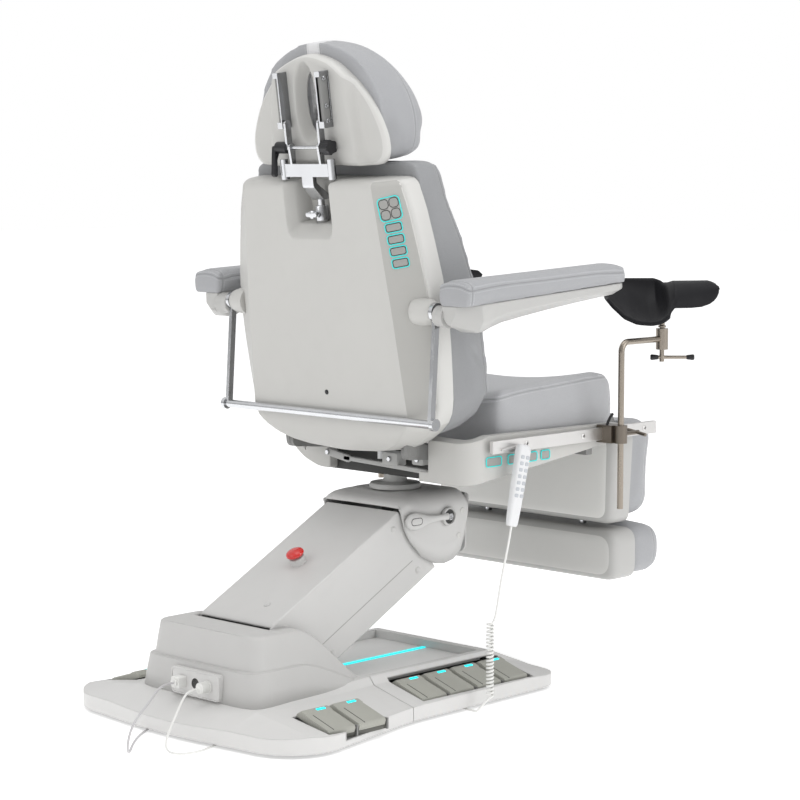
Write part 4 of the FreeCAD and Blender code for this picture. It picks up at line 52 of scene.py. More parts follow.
Colour = Tuple[float, float, float]
Triple = Tuple[float, float, float]
Quad = Tuple[float, float, float, float]
Spot = Tuple[float, float]
Table = Tuple[Spot, ...]
Point = Sequence[float]

MM = 0.001
UP = (0, 0, 1)
SIDES = (-1, 1)
FULL_TURN = 2 * math.pi
QUARTER_TURN = math.pi / 2
CORNER_STEPS = 5
MERGE = 1e-6
SHARP_ANGLE = math.radians(38)
BEVEL_ANGLE = math.radians(35)
BACK_LEAN = math.radians(8.0)


def at(x: float, y: float, z: float) -> Matrix:
    """A frame moved to a place."""
    return Matrix.Translation((x, y, z))


# Frames of the drawing: each takes millimetres of a sub-assembly to metres of the row frame
DRAWING = at(0.0, -0.039, 0.0) @ Matrix.Scale(MM, 4)
BACK = DRAWING @ at(0, 60, 575) @ Matrix.Rotation(-BACK_LEAN, 4, "X")
ARM = DRAWING @ at(0, 455, 190) @ Matrix.Rotation(math.radians(-27.9), 4, "X")
REST = DRAWING @ at(0, 202.3, 869.05) @ Matrix.Rotation(math.radians(-2.5), 4, "X")


# Shader maths


class Sock:
    """An output socket that takes part in Python expressions."""

    def __init__(self, graph: "Graph", socket: bpy.types.NodeSocket) -> None:
        """Keep the socket and the graph that it belongs to."""
        self.graph = graph
        self.socket = socket

    def maths(self, operation: str, *values: "Value") -> "Sock":
        """Add one Math node over these values."""
        return self.graph.node("ShaderNodeMath", {"operation": operation}, dict(enumerate(values)))

    def __add__(self, other: "Value") -> "Sock":
        """Sum of two values."""
        return self.maths("ADD", self, other)

    def __radd__(self, other: float) -> "Sock":
        """Sum with a number on the left."""
        return self.maths("ADD", other, self)

    def __sub__(self, other: "Value") -> "Sock":
        """Difference of two values."""
        return self.maths("SUBTRACT", self, other)

    def __rsub__(self, other: float) -> "Sock":
        """Difference with a number on the left."""
        return self.maths("SUBTRACT", other, self)

    def __mul__(self, other: "Value") -> "Sock":
        """Product of two values."""
        return self.maths("MULTIPLY", self, other)

    def __rmul__(self, other: float) -> "Sock":
        """Product with a number on the left."""
        return self.maths("MULTIPLY", other, self)

    def __abs__(self) -> "Sock":
        """Size of a value without its sign."""
        return self.maths("ABSOLUTE", self)

    def above(self, low: float, high: float) -> "Sock":
        """Smooth step from 0 at low to 1 at high."""
        settings = {"interpolation_type": "SMOOTHSTEP"}
        return self.graph.node("ShaderNodeMapRange", settings, {0: self, 1: low, 2: high, 3: 0.0, 4: 1.0})

    def below(self, low: float, high: float) -> "Sock":
        """Smooth step from 1 at low to 0 at high."""
        return 1.0 - self.above(low, high)


Value = Union[Sock, float]


class Graph:
    """The node tree of one material or of the world."""

    def __init__(self, owner: Union[bpy.types.Material, bpy.types.World]) -> None:
        """Empty the owner's tree."""
        owner.use_nodes = True
        self.owner = owner
        self.tree = owner.node_tree
        self.tree.nodes.clear()

    def node(self, kind: str, settings: Optional[Dict[str, object]] = None,
             inputs: Optional[Dict[Union[str, int], object]] = None, output: Union[str, int] = 0) -> Sock:
        """Add any node.

        Args:
            kind: the node's type.
            settings: its properties, which are set first.
            inputs: values or links of its sockets by name or number.
            output: the socket to give back.

        Returns:
            The chosen output.
        """
        made = self.tree.nodes.new(kind)
        for key, value in (settings or {}).items():
            setattr(made, key, value)
        for key, value in (inputs or {}).items():
            if isinstance(value, Sock):
                self.tree.links.new(value.socket, made.inputs[key])
            else:
                made.inputs[key].default_value = value
        return Sock(self, made.outputs[output])

    def place(self) -> Sock:
        """Position on the piece, in metres of the row frame at rest."""
        return self.node("ShaderNodeTexCoord", output="Object")

    def axes(self) -> Tuple[Sock, Sock, Sock]:
        """The three coordinates of the position on the piece."""
        place = self.place()
        return tuple(self.node("ShaderNodeSeparateXYZ", None, {0: place}, axis) for axis in range(3))

    def noise(self, scale: float, detail: float = 2.0, place: Optional[Sock] = None) -> Sock:
        """Soft noise from 0 to 1 with so many features to the metre."""
        inputs = {"Vector": place or self.place(), "Scale": scale, "Detail": detail}
        return self.node("ShaderNodeTexNoise", None, inputs)

    def stretched(self, x: float, y: float, z: float) -> Sock:
        """Position on the piece with each axis scaled."""
        settings = {"operation": "MULTIPLY"}
        return self.node("ShaderNodeVectorMath", settings, {0: self.place(), 1: (x, y, z)})

    def mix(self, share: Value, first: object, second: object) -> Sock:
        """Colour between two colours."""
        inputs = {0: share, 6: solid(first), 7: solid(second)}
        return self.node("ShaderNodeMix", {"data_type": "RGBA"}, inputs, 2)

    def rounded(self, radius: float) -> Tuple[Sock, Sock]:
        """Normal of softened edges, and a mask that is 1 along those edges.

        Args:
            radius: the softening radius in metres.

        Returns:
            The soft normal and the edge mask.
        """
        soft = self.node("ShaderNodeBevel", {"samples": 4}, {"Radius": radius})
        sharp = self.node("ShaderNodeNewGeometry", output="Normal")
        along = self.node("ShaderNodeVectorMath", {"operation": "DOT_PRODUCT"}, {0: soft, 1: sharp}, 1)
        return soft, along.below(0.86, 0.999)

    def bump(self, height: Sock, depth: float, normal: Optional[Sock] = None) -> Sock:
        """Normal that follows a height of 0 to 1 over so many metres."""
        inputs = {"Strength": 1.0, "Distance": depth, "Height": height}
        if normal is not None:
            inputs["Normal"] = normal
        return self.node("ShaderNodeBump", None, inputs)

    def shader(self, **inputs: object) -> Sock:
        """A Principled shader with these sockets; underscores stand for spaces."""
        named = {key.replace("_", " "): value for key, value in inputs.items()}
        if not isinstance(named["Base Color"], Sock):
            named["Base Color"] = solid(named["Base Color"])
        return self.node("ShaderNodeBsdfPrincipled", None, named)

    def surface(self, shader: Sock, kind: str = "ShaderNodeOutputMaterial") -> None:
        """Use this shader as the owner's surface."""
        output = self.tree.nodes.new(kind)
        self.tree.links.new(shader.socket, output.inputs[0])


def solid(colour: object) -> object:
    """A colour with its alpha, or the socket as it is."""
    return colour if isinstance(colour, Sock) else (*colour[:3], 1.0)


def shade(colour: Colour, factor: float) -> Colour:
    """A colour made lighter or darker."""
    return tuple(min(1.0, part * factor) for part in colour)


# Finishes


@dataclass(frozen=True)
class Finish:
    """A finish that makes its material once."""

    name: str
    colour: Colour
    rough: float = 0.4
    edge: float = 0.0

    def material(self) -> bpy.types.Material:
        """The finish's material, made at the first call."""
        found = bpy.data.materials.get(self.name)
        if found is None:
            found = bpy.data.materials.new(self.name)
            graph = Graph(found)
            graph.surface(self.paint(graph))
        return found

    def paint(self, graph: Graph) -> Sock:
        """Build the shader of this finish."""
        raise NotImplementedError

    def tint(self, graph: Graph, share: Value, low: float, high: float) -> Sock:
        """The colour, wandering from a darker to a lighter shade."""
        return graph.mix(share, shade(self.colour, low), shade(self.colour, high))

    def lit_edges(self, graph: Graph, base: Sock, share: float, light: float) -> Tuple[Sock, Optional[Sock]]:
        """Paint a highlight: lighten a colour along its softened edges, if the finish has them.

        Args:
            graph: the material's nodes.
            base: the colour so far.
            share: how much of the painted highlight shows.
            light: the painted highlight's factor.

        Returns:
            The colour, and the normal of the softened edges.
        """
        if not self.edge:
            return base, None
        normal, edge = graph.rounded(self.edge)
        return graph.mix(edge * share, base, shade(self.colour, light)), normal


@dataclass(frozen=True)
class Moulding(Finish):
    """Moulded plastic: faint clouds, a fine spark-eroded grain and a painted highlight along softened edges.
    """

    grain: float = 1400.0
    depth: float = 0.00003
    # share of the painted edge highlight
    edge_light: float = 0.5
    ior: float = 1.46

    def paint(self, graph: Graph) -> Sock:
        """Build the shader of this finish."""
        cloud = graph.noise(5.0, 3.0)
        grain = graph.noise(self.grain, 2.0)
        smudge = graph.noise(28.0, 4.0).above(0.45, 0.75)
        base = self.tint(graph, cloud, 0.97, 1.03)
        base = graph.mix(smudge * 0.25, base, shade(self.colour, 0.96))
        rough = self.rough + (cloud - 0.5) * 0.14 + (grain - 0.5) * 0.1 + smudge * 0.05
        # painted highlight: softened edges drawn 12 % lighter
        base, normal = self.lit_edges(graph, base, self.edge_light, 1.12)
        return graph.shader(Base_Color=base, Roughness=rough, IOR=self.ior,
                            Normal=graph.bump(grain, self.depth, normal))


@dataclass(frozen=True)
class Leather(Finish):
    """Fine-grained synthetic leather with sewn seams, painted shade in their grooves, and their stitches."""

    pebble: float = 620.0
    band: float = 0.0
    band_colour: Colour = (0.8, 0.8, 0.8)
    stitch_row: float = 0.0045
    stitch_pitch: float = 0.006

    def paint(self, graph: Graph) -> Sock:
        """Build the shader of this finish."""
        settings = {"feature": "DISTANCE_TO_EDGE"}
        cells = graph.node("ShaderNodeTexVoronoi", settings, {"Vector": graph.place(), "Scale": self.pebble})
        pebble = cells.above(0.0, 0.22)
        cloud = graph.noise(7.0, 3.0)
        fine = graph.noise(2400.0, 2.0)
        pull = graph.noise(42.0, 3.0)
        colour = self.tint(graph, cloud, 0.96, 1.04)
        colour = graph.mix((1.0 - pebble) * 0.35, colour, shade(self.colour, 0.72))
        seam = abs(self.attribute(graph, "seam"))
        seam_end = abs(self.attribute(graph, "seam_end"))
        if self.band:
            across = abs(graph.axes()[0])
            inside = across.below(self.band, self.band + 0.0008)
            colour = graph.mix(inside, colour, self.band_colour)
            seam_end = seam_end.maths("MINIMUM", seam_end, abs(across - self.band))
        nearest = seam.maths("MINIMUM", seam, seam_end)
        line = nearest.below(0.0004, 0.0016)
        puckered = nearest.below(0.001, 0.011)
        stitch = self.stitches(graph, nearest)
        # painted shade: the seam's groove drawn darker
        colour = graph.mix(line * 0.38, colour, shade(self.colour, 0.4))
        colour = graph.mix(stitch * 0.7, colour, shade(self.colour, 1.3))
        rough = self.rough + (cloud - 0.5) * 0.12 + (1.0 - pebble) * 0.12 - puckered * 0.04
        height = pebble * 0.16 + fine * 0.05 + stitch * 0.4 + pull * puckered * 0.5 - line
        return graph.shader(Base_Color=colour, Roughness=rough, IOR=1.45, Sheen_Weight=0.12,
                            Sheen_Roughness=0.5, Normal=graph.bump(height, 0.0007))

    @staticmethod
    def attribute(graph: Graph, name: str) -> Sock:
        """A number stored on the cushion's points."""
        return graph.node("ShaderNodeAttribute", {"attribute_name": name}, None, "Fac")

    def stitches(self, graph: Graph, nearest: Sock) -> Sock:
        """Rows of stitches, 6 mm apart, on both sides of a seam."""
        row = abs(nearest - self.stitch_row).below(0.0005, 0.0012)
        run = self.attribute(graph, "run") * (1.0 / self.stitch_pitch)
        dash = abs(run.maths("FRACT", run) - 0.5).below(0.3, 0.42)
        return row * dash


@dataclass(frozen=True)
class Metal(Finish):
    """Bare or plated metal with fine drawn lines, smudges, painted highlights along softened edges and, where
    level is below 1, painted reflection bands.
    """

    lines: Triple = (400.0, 400.0, 400.0)
    depth: float = 0.000012
    smudge: float = 0.1
    # level: colour factor of the painted reflection; below 1, faces turned sideways darken like a reflected
    # dark horizon
    level: float = 1.0

    def paint(self, graph: Graph) -> Sock:
        """Build the shader of this finish."""
        drawn = graph.noise(1.0, 3.0, graph.stretched(*self.lines))
        cloud = graph.noise(22.0, 4.0)
        base = self.tint(graph, cloud, 0.9, 1.06)
        # painted reflection: faces turned up, down or rearwards keep the colour, the others darken towards
        # level
        if self.level < 1.0:
            turned = graph.node("ShaderNodeNewGeometry", output="Normal")
            rearward = graph.node("ShaderNodeSeparateXYZ", None, {0: turned}, 1)
            upward = graph.node("ShaderNodeSeparateXYZ", None, {0: turned}, 2)
            reflection_light = upward.above(0.2, 0.6) + upward.below(-0.75, -0.35) * 0.7 + rearward.above(0.6, 0.93)
            reflection_light = reflection_light.maths("MINIMUM", reflection_light, 1.0)
            base = graph.mix(reflection_light, shade(self.colour, self.level), base)
        rough = self.rough + (drawn - 0.5) * 0.12 + cloud.above(0.4, 0.8) * self.smudge
        # painted highlight along softened edges
        base, normal = self.lit_edges(graph, base, 0.5, 1.25)
        return graph.shader(Base_Color=base, Roughness=rough, Metallic=1.0,
                            Normal=graph.bump(drawn, self.depth, normal))


@dataclass(frozen=True)
class Paint(Finish):
    """Satin paint on steel with a slight orange peel and painted highlights along its edges."""

    def paint(self, graph: Graph) -> Sock:
        """Build the shader of this finish."""
        peel = graph.noise(320.0, 2.0)
        cloud = graph.noise(9.0, 4.0)
        base = self.tint(graph, cloud, 0.9, 1.08)
        rough = self.rough + (cloud - 0.5) * 0.2
        # painted highlight along softened edges
        base, normal = self.lit_edges(graph, base, 0.4, 1.4)
        return graph.shader(Base_Color=base, Roughness=rough, Normal=graph.bump(peel, 0.00006, normal))


@dataclass(frozen=True)
class Gloss(Finish):
    """Glossy lacquered plastic with a clear coat and faint swirl marks."""

    def paint(self, graph: Graph) -> Sock:
        """Build the shader of this finish."""
        cloud = graph.noise(40.0, 3.0)
        swirl = graph.noise(900.0, 4.0)
        base = self.tint(graph, cloud, 0.88, 1.1)
        rough = self.rough + (swirl - 0.5) * 0.1
        return graph.shader(Base_Color=base, Roughness=rough, Coat_Weight=0.5, Coat_Roughness=0.08,
                            Normal=graph.bump(swirl, 0.00001))


@dataclass(frozen=True)
class PedalRubber(Finish):
    """Hard rubber tread: fine slanting ribs, painted shade in their troughs and painted highlights along
    edges.
    """

    edge: float = 0.002
    pitch: float = 0.0042

    def paint(self, graph: Graph) -> Sock:
        """Build the shader of this finish."""
        x, y = graph.axes()[:2]
        phase = (abs(x) * 0.9 + y) * (FULL_TURN / self.pitch)
        rib = phase.maths("SINE", phase) * 0.5 + 0.5
        cloud = graph.noise(14.0, 4.0)
        grain = graph.noise(1100.0, 2.0)
        base = self.tint(graph, cloud, 0.9, 1.08)
        # painted shade: the ribs' troughs drawn darker
        base = graph.mix((1.0 - rib) * 0.6, base, shade(self.colour, 0.7))
        # painted highlight along softened edges
        base, normal = self.lit_edges(graph, base, 0.6, 1.35)
        rough = self.rough + (cloud - 0.5) * 0.15 + (1.0 - rib) * 0.1
        return graph.shader(Base_Color=base, Roughness=rough,
                            Normal=graph.bump(rib * 0.8 + grain * 0.2, 0.0006, normal))


@dataclass(frozen=True)
class Glow(Finish):
    """Lit light guide with faint diffuser grains."""

    power: float = 1.0

    def paint(self, graph: Graph) -> Sock:
        """Build the shader of this finish."""
        grain = graph.noise(260.0, 2.0)
        lit = self.tint(graph, grain, 0.9, 1.08)
        return graph.shader(Base_Color=lit, Roughness=0.25 + grain * 0.1, Emission_Color=lit,
                            Emission_Strength=self.power, Normal=graph.bump(grain, 0.00003))


class Look(Enum):
    """The chair's finishes."""

    WARM = Moulding("warm_shell", (0.535, 0.53, 0.51), 0.42, 0.004)
    # painted light: lighter copy of the shell plastic, for lit rims and the screw caps
    LIT_SHELL = Moulding("shell_painted_light", (0.62, 0.615, 0.595), 0.4, 0.0)
    # painted light: the leg and foot shells are lighter copies of the shell plastic, making up for the seat's
    # shade on them
    LIT_LEG = Moulding("leg_shell_lit", (0.78, 0.775, 0.75), 0.42, 0.0)
    LIT_FOOTREST = Moulding("foot_shell_lit", (0.66, 0.655, 0.635), 0.42, 0.0)
    SECTION = Moulding("section_rim", (0.47, 0.467, 0.455), 0.4, 0.0)
    PALE = Moulding("pale_shell", (0.48, 0.477, 0.465), 0.4, 0.003)
    # painted shade: darker copy of the shell for the back's right-hand bevel, where less light falls
    SHADED_BEVEL = Moulding("bevel_painted_shade", (0.43, 0.425, 0.405), 0.5, 0.0)
    COOL = Moulding("base_shell", (0.66, 0.655, 0.645), 0.38, 0.004)
    HOUSING = Moulding("housing_grey", (0.53, 0.525, 0.515), 0.4, 0.004)
    TRAY = Moulding("tray_floor", (0.84, 0.835, 0.825), 0.45, 0.0)
    HOUSE = Moulding("arm_shell", (0.585, 0.58, 0.57), 0.4, 0.004)
    # painted shade: near-black for grooves, slots, recesses and gaps; also the colour of the dark pan under
    # the seat
    SHADE_AND_DARK = Moulding("gap_shade_and_dark_pan", (0.05, 0.05, 0.048), 0.6, 0.0)
    WHITE = Moulding("handset_white", (0.72, 0.725, 0.735), 0.35, 0.0025)
    KEY = Moulding("key_grey", (0.33, 0.33, 0.315), 0.5, 0.001)
    SOFT_KEY = Moulding("handset_key", (0.5, 0.52, 0.55), 0.55, 0.0008)
    BLACK = Moulding("black_plastic", (0.012, 0.012, 0.014), 0.38, 0.0015, edge_light=0.2)
    CRADLE = Moulding("cradle_black", (0.007, 0.007, 0.009), 0.5, 0.004, grain=900.0, depth=0.00005, edge_light=0.2,
                      ior=1.3)
    CORD = Moulding("cord_sheath", (0.78, 0.78, 0.76), 0.4, 0.0, grain=700.0)
    GREY_CORD = Moulding("grey_sheath", (0.55, 0.54, 0.55), 0.4, 0.0, grain=700.0)
    FOOT = Moulding("foot_rubber", (0.03, 0.03, 0.03), 0.75, 0.001)
    CUSHION = Leather("grey_leather", (0.385, 0.39, 0.405), 0.45)
    # painted shade and light: the back's leather is a darker copy, the seat's a lighter copy, of the same
    # grey leather
    SHADED_BACK_CUSHION = Leather("back_leather_shaded", (0.305, 0.31, 0.32), 0.45)
    LIT_SEAT_CUSHION = Leather("seat_leather_lit", (0.46, 0.465, 0.48), 0.45)
    HEAD_CUSHION = Leather("head_leather", (0.385, 0.39, 0.405), 0.45, band=0.02,
                           band_colour=(0.72, 0.72, 0.73))
    # painted reflection: level=0.4 darkens its sideways-facing faces into dark bands
    CHROME = Metal("bright_chrome", (0.70, 0.71, 0.73), 0.14, 0.0012, level=0.4)
    SATIN = Metal("satin_rail", (0.67, 0.66, 0.65), 0.32, 0.0012, (1500.0, 30.0, 1500.0))
    NICKEL = Metal("bronze_nickel", (0.34, 0.30, 0.255), 0.26, 0.001, (900.0, 900.0, 60.0))
    BRONZE = Metal("clamp_bronze", (0.2, 0.175, 0.148), 0.3, 0.001)
    STEEL = Paint("frame_paint", (0.22, 0.22, 0.215), 0.45, 0.0015)
    COLUMN = Paint("column_paint", (0.46, 0.46, 0.45), 0.4, 0.0015)
    RED = Gloss("stop_red", (0.62, 0.015, 0.012), 0.2)
    PEDAL = PedalRubber("pedal_tread", (0.44, 0.44, 0.395), 0.5)
    BED = Moulding("pedal_bed", (0.10, 0.10, 0.088), 0.55, 0.0)
    LIGHT = Glow("cyan_light", (0.0, 0.85, 0.9), 0.1, power=0.9)
    RIM = Glow("cyan_rim", (0.02, 0.62, 0.6), 0.1, power=0.35)


NODE_LOOKS: Dict[Look, Tuple[str, ...]] = {
    Look.WARM: ("seat_side_covers",),
    Look.COOL: ("base_cover_front", "base_cover_rear", "connector_panel"),
    Look.HOUSE: ("lift_arm_cover",),
    Look.STEEL: ("base_chassis", "lift_arm_beam", "lift_link", "lift_head_block", "seat_frame", "back_frame"),
    Look.SATIN: ("side_rails",),
    Look.NICKEL: ("stirrup_rod_left", "stirrup_rod_right"),
    Look.BRONZE: ("rail_clamps",),
    Look.CHROME: ("headrest_bracket", "headrest_links", "headrest_rails", "paper_roll_holder"),
    Look.BLACK: ("headrest_knobs",),
    Look.KEY: ("seat_keys",),
    Look.CORD: ("lead_plugs",),
    Look.FOOT: ("levelling_feet",),
    Look.LIGHT: ("tray_light",),
}


# Mesh making


def facing(origin: Point, out: Point, up: Point) -> Matrix:
    """A frame whose Z points out of a face and whose Y points up along it.

    Args:
        origin: the frame's place in millimetres.
        out: the direction away from the face.
        up: a direction along the face.

    Returns:
        The frame's matrix.
    """
    z = Vector(out).normalized()
    x = Vector(up).cross(z).normalized()
    made = Matrix((x, z.cross(x), z)).transposed().to_4x4()
    made.translation = Vector(origin)
    return made


def round_rect(width: float, height: float, radius: float) -> List[Spot]:
    """Outline of a rectangle with round corners, anticlockwise.

    Args:
        width: its size along x.
        height: its size along y.
        radius: the corners' radius.

    Returns:
        The outline's points.
    """
    points = []
    for index, (side, end) in enumerate(((1, 1), (-1, 1), (-1, -1), (1, -1))):
        for step in range(CORNER_STEPS + 1):
            angle = QUARTER_TURN * (index + step / CORNER_STEPS)
            points.append((side * (width / 2 - radius) + radius * math.cos(angle),
                           end * (height / 2 - radius) + radius * math.sin(angle)))
    return points


def side_face(side: float, x: float, y: float, z: float) -> Matrix:
    """A frame on a face that looks to the left (1) or to the right (-1)."""
    return facing((side * x, y, z), (side, 0, 0), UP)


def rear_face(x: float, y: float, z: float) -> Matrix:
    """A frame on a face that looks rearwards."""
    return facing((x, y, z), (0, 1, 0), UP)


def circle(steps: int) -> List[float]:
    """So many angles, evenly once around."""
    return [FULL_TURN * step / steps for step in range(steps)]


def clamp(value: float) -> float:
    """A value kept between 0 and 1."""
    return min(1.0, max(0.0, value))


def mirrored(half: Sequence[Spot], middle: Sequence[Spot] = ()) -> List[Spot]:
    """A whole section: one half, its middle and the other half."""
    return [*half, *middle, *((-x, z) for x, z in reversed(half))]


def sign(value: float) -> float:
    """The sign of a value."""
    return math.copysign(1.0, value)


def smooth_step(low: float, high: float, value: float) -> float:
    """Smooth step from 0 at low to 1 at high; low may be the larger."""
    share = clamp((value - low) / (high - low))
    return share * share * (3.0 - 2.0 * share)


def along_curve(value: float, table: Sequence[Spot]) -> float:
    """Value of a table of (place, value), read evenly between its places."""
    for (start, first), (end, second) in zip(table, table[1:]):
        if value <= end:
            share = max(0.0, (value - start) / (end - start))
            return first + (second - first) * share
    return table[-1][1]


def spread(low: float, high: float, count: int) -> List[float]:
    """So many values evenly from low to high."""
    return [low + (high - low) * index / (count - 1) for index in range(count)]


def round_poly(corners: Sequence[Spot], radii: Sequence[float], steps: int = 6) -> List[Spot]:
    """Outline of a polygon with round corners.

    Args:
        corners: the polygon's corners in order.
        radii: how far each corner is cut back along its sides.
        steps: points to each corner.

    Returns:
        The outline's points.
    """
    points: List[Spot] = []
    count = len(corners)
    for index, corner in enumerate(corners):
        middle = Vector(corner)
        before = Vector(corners[index - 1]) - middle
        after = Vector(corners[(index + 1) % count]) - middle
        reach = min(radii[index], before.length / 2, after.length / 2)
        start, end = middle + before.normalized() * reach, middle + after.normalized() * reach
        for share in spread(0.0, 1.0, steps):
            spot = start * (1 - share) ** 2 + middle * (2 * share * (1 - share)) + end * share ** 2
            points.append((spot.x, spot.y))
    return points


def link(name: str, data: bpy.types.ID) -> bpy.types.Object:
    """Put a new object with this data into the scene."""
    made = bpy.data.objects.new(name, data)
    bpy.context.scene.collection.objects.link(made)
    return made


class Maker:
    """Collects the faces of one piece, drawn in millimetres of a base frame."""

    def __init__(self, base: Matrix = DRAWING) -> None:
        """Start an empty piece in that frame."""
        self.bm = bmesh.new()
        self.base = base

    def loft(self, rings: Sequence[Sequence[Point]], place: Optional[Matrix] = None, capped: bool = True,
             closed: bool = False, wrap: bool = True) -> "Maker":
        """Skin a run of rings that have the same number of points.

        Args:
            rings: the rings' points.
            place: a frame inside the base frame.
            capped: whether the two ends are closed by faces.
            closed: whether the last ring joins the first.
            wrap: whether each ring joins its own start; otherwise it is an open row.

        Returns:
            The maker itself.
        """
        matrix = self.base @ (place or Matrix.Identity(4))
        rows = [[self.bm.verts.new(matrix @ Vector(point)) for point in ring] for ring in rings]
        pairs = list(zip(rows, rows[1:])) + ([(rows[-1], rows[0])] if closed else [])
        count = len(rows[0])
        for low, high in pairs:
            for index in range(count if wrap else count - 1):
                after = (index + 1) % count
                self.bm.faces.new((low[index], low[after], high[after], high[index]))
        if capped and wrap and not closed:
            self.bm.faces.new(list(reversed(rows[0])))
            self.bm.faces.new(rows[-1])
        return self

    def lathe(self, profile: Sequence[Spot], place: Matrix, steps: int = 40) -> "Maker":
        """Turn a profile of (radius, height) about the Z axis of a frame."""
        rings = []
        for radius, height in profile:
            radius = max(radius, 0.02)
            rings.append([(radius * math.cos(turn), radius * math.sin(turn), height)
                          for turn in circle(steps)])
        self.loft(rings, place)
        return self

    def pillow(self, place: Matrix, width: float, height: float, radius: float, low: float, high: float,
               ease: float = 1.0) -> "Maker":
        """A round-cornered block with eased top edges, standing along Z of a frame."""
        rings = [[(x, y, low) for x, y in round_rect(width, height, radius)]]
        for step in range(4):
            angle = QUARTER_TURN * step / 3
            inset = ease * (1 - math.cos(angle))
            level = high - ease * (1 - math.sin(angle))
            outline = round_rect(width - 2 * inset, height - 2 * inset, max(radius - inset, 0.2))
            rings.append([(x, y, level) for x, y in outline])
        self.loft(rings, place)
        return self

    def tube(self, points: Sequence[Point], radius: float, steps: int = 12, closed: bool = False) -> "Maker":
        """Sweep a circle along points with the least twist.

        Args:
            points: the centre line.
            radius: the tube's radius.
            steps: sides of the tube.
            closed: whether the line returns to its start.

        Returns:
            The maker itself.
        """
        line = [Vector(point) for point in points]
        count = len(line)
        ways = []
        for index in range(count):
            before = line[index - 1] if index or closed else line[0]
            after = line[(index + 1) % count] if index + 1 < count or closed else line[-1]
            ways.append((after - before).normalized())
        side = ways[0].orthogonal().normalized()
        rings = []
        for point, way in zip(line, ways):
            side = (side - way * side.dot(way)).normalized()
            other = way.cross(side)
            rings.append([point + side * (radius * math.cos(turn)) + other * (radius * math.sin(turn))
                          for turn in circle(steps)])
        self.loft(rings, closed=closed)
        return self

    def ring(self, place: Matrix, width: float, height: float, radius: float, wire: float) -> "Maker":
        """A wire frame along a round-cornered rectangle."""
        outline = [place @ Vector((x, y, 0)) for x, y in round_rect(width, height, radius)]
        self.tube(outline, wire, 8, True)
        return self

    def prism(self, outline: Sequence[Spot], place: Matrix, low: float, high: float,
              ease: float = 0.0) -> "Maker":
        """Stand an outline up along Z of a frame, drawn in a little at both ends."""
        rings = []
        for level, inset in ((low, ease), (low + ease, 0.0), (high - ease, 0.0), (high, ease)):
            middle = (sum(x for x, y in outline) / len(outline), sum(y for x, y in outline) / len(outline))
            rings.append([(x - inset * sign(x - middle[0]), y - inset * sign(y - middle[1]), level)
                          for x, y in outline])
        self.loft(rings if ease else rings[1:3], place)
        return self

    def middles(self) -> List[Tuple[bmesh.types.BMFace, Vector]]:
        """Each face with its middle, in millimetres of the base frame."""
        inverse = self.base.inverted()
        return [(face, inverse @ face.calc_center_median()) for face in self.bm.faces]

    def weld(self) -> None:
        """Join points in one place and drop faces without area."""
        bmesh.ops.remove_doubles(self.bm, verts=self.bm.verts, dist=MERGE)
        bmesh.ops.dissolve_degenerate(self.bm, dist=MERGE, edges=self.bm.edges)

    def piece(self, name: str, look: Look, body: str, slot: str, replaces: Sequence[str] = (),
              bevel: float = 0.0, thick: float = 0.0, extra: Sequence[Look] = ()) -> bpy.types.Object:
        """Finish the piece and let it ride.

        Args:
            name: the piece's name.
            look: its finish.
            body: the CAD body that it moves with.
            slot: not used.
            replaces: CAD nodes that it stands for.
            bevel: width of the eased edges in millimetres.
            thick: wall that a skin gets, inwards, in millimetres.
            extra: finishes of marked faces.

        Returns:
            The new object.
        """
        mesh = bpy.data.meshes.new(name)
        bmesh.ops.recalc_face_normals(self.bm, faces=self.bm.faces)
        self.bm.to_mesh(mesh)
        self.bm.free()
        mesh.polygons.foreach_set("use_smooth", [True] * len(mesh.polygons))
        for finish in (look, *extra):
            mesh.materials.append(finish.value.material())
        made = link(name, mesh)
        if thick:
            wall = made.modifiers.new("wall", "SOLIDIFY")
            wall.thickness, wall.offset = thick * MM, -1.0
        if bevel:
            ease = made.modifiers.new("eased", "BEVEL")
            ease.width, ease.segments, ease.angle_limit = bevel * MM, 2, BEVEL_ANGLE
            ease.harden_normals = True
        else:
            mesh.set_sharp_from_angle(angle=SHARP_ANGLE)
        return settle(made, body, replaces)


def settle(made: bpy.types.Object, body: str, replaces: Sequence[str] = ()) -> bpy.types.Object:
    """Let a piece ride on its body and hide what it stands for."""
    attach(made, body)
    if replaces:
        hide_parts(*replaces)
    LOG.info("%s rides on %s", made.name, body)
    return made


# Studio


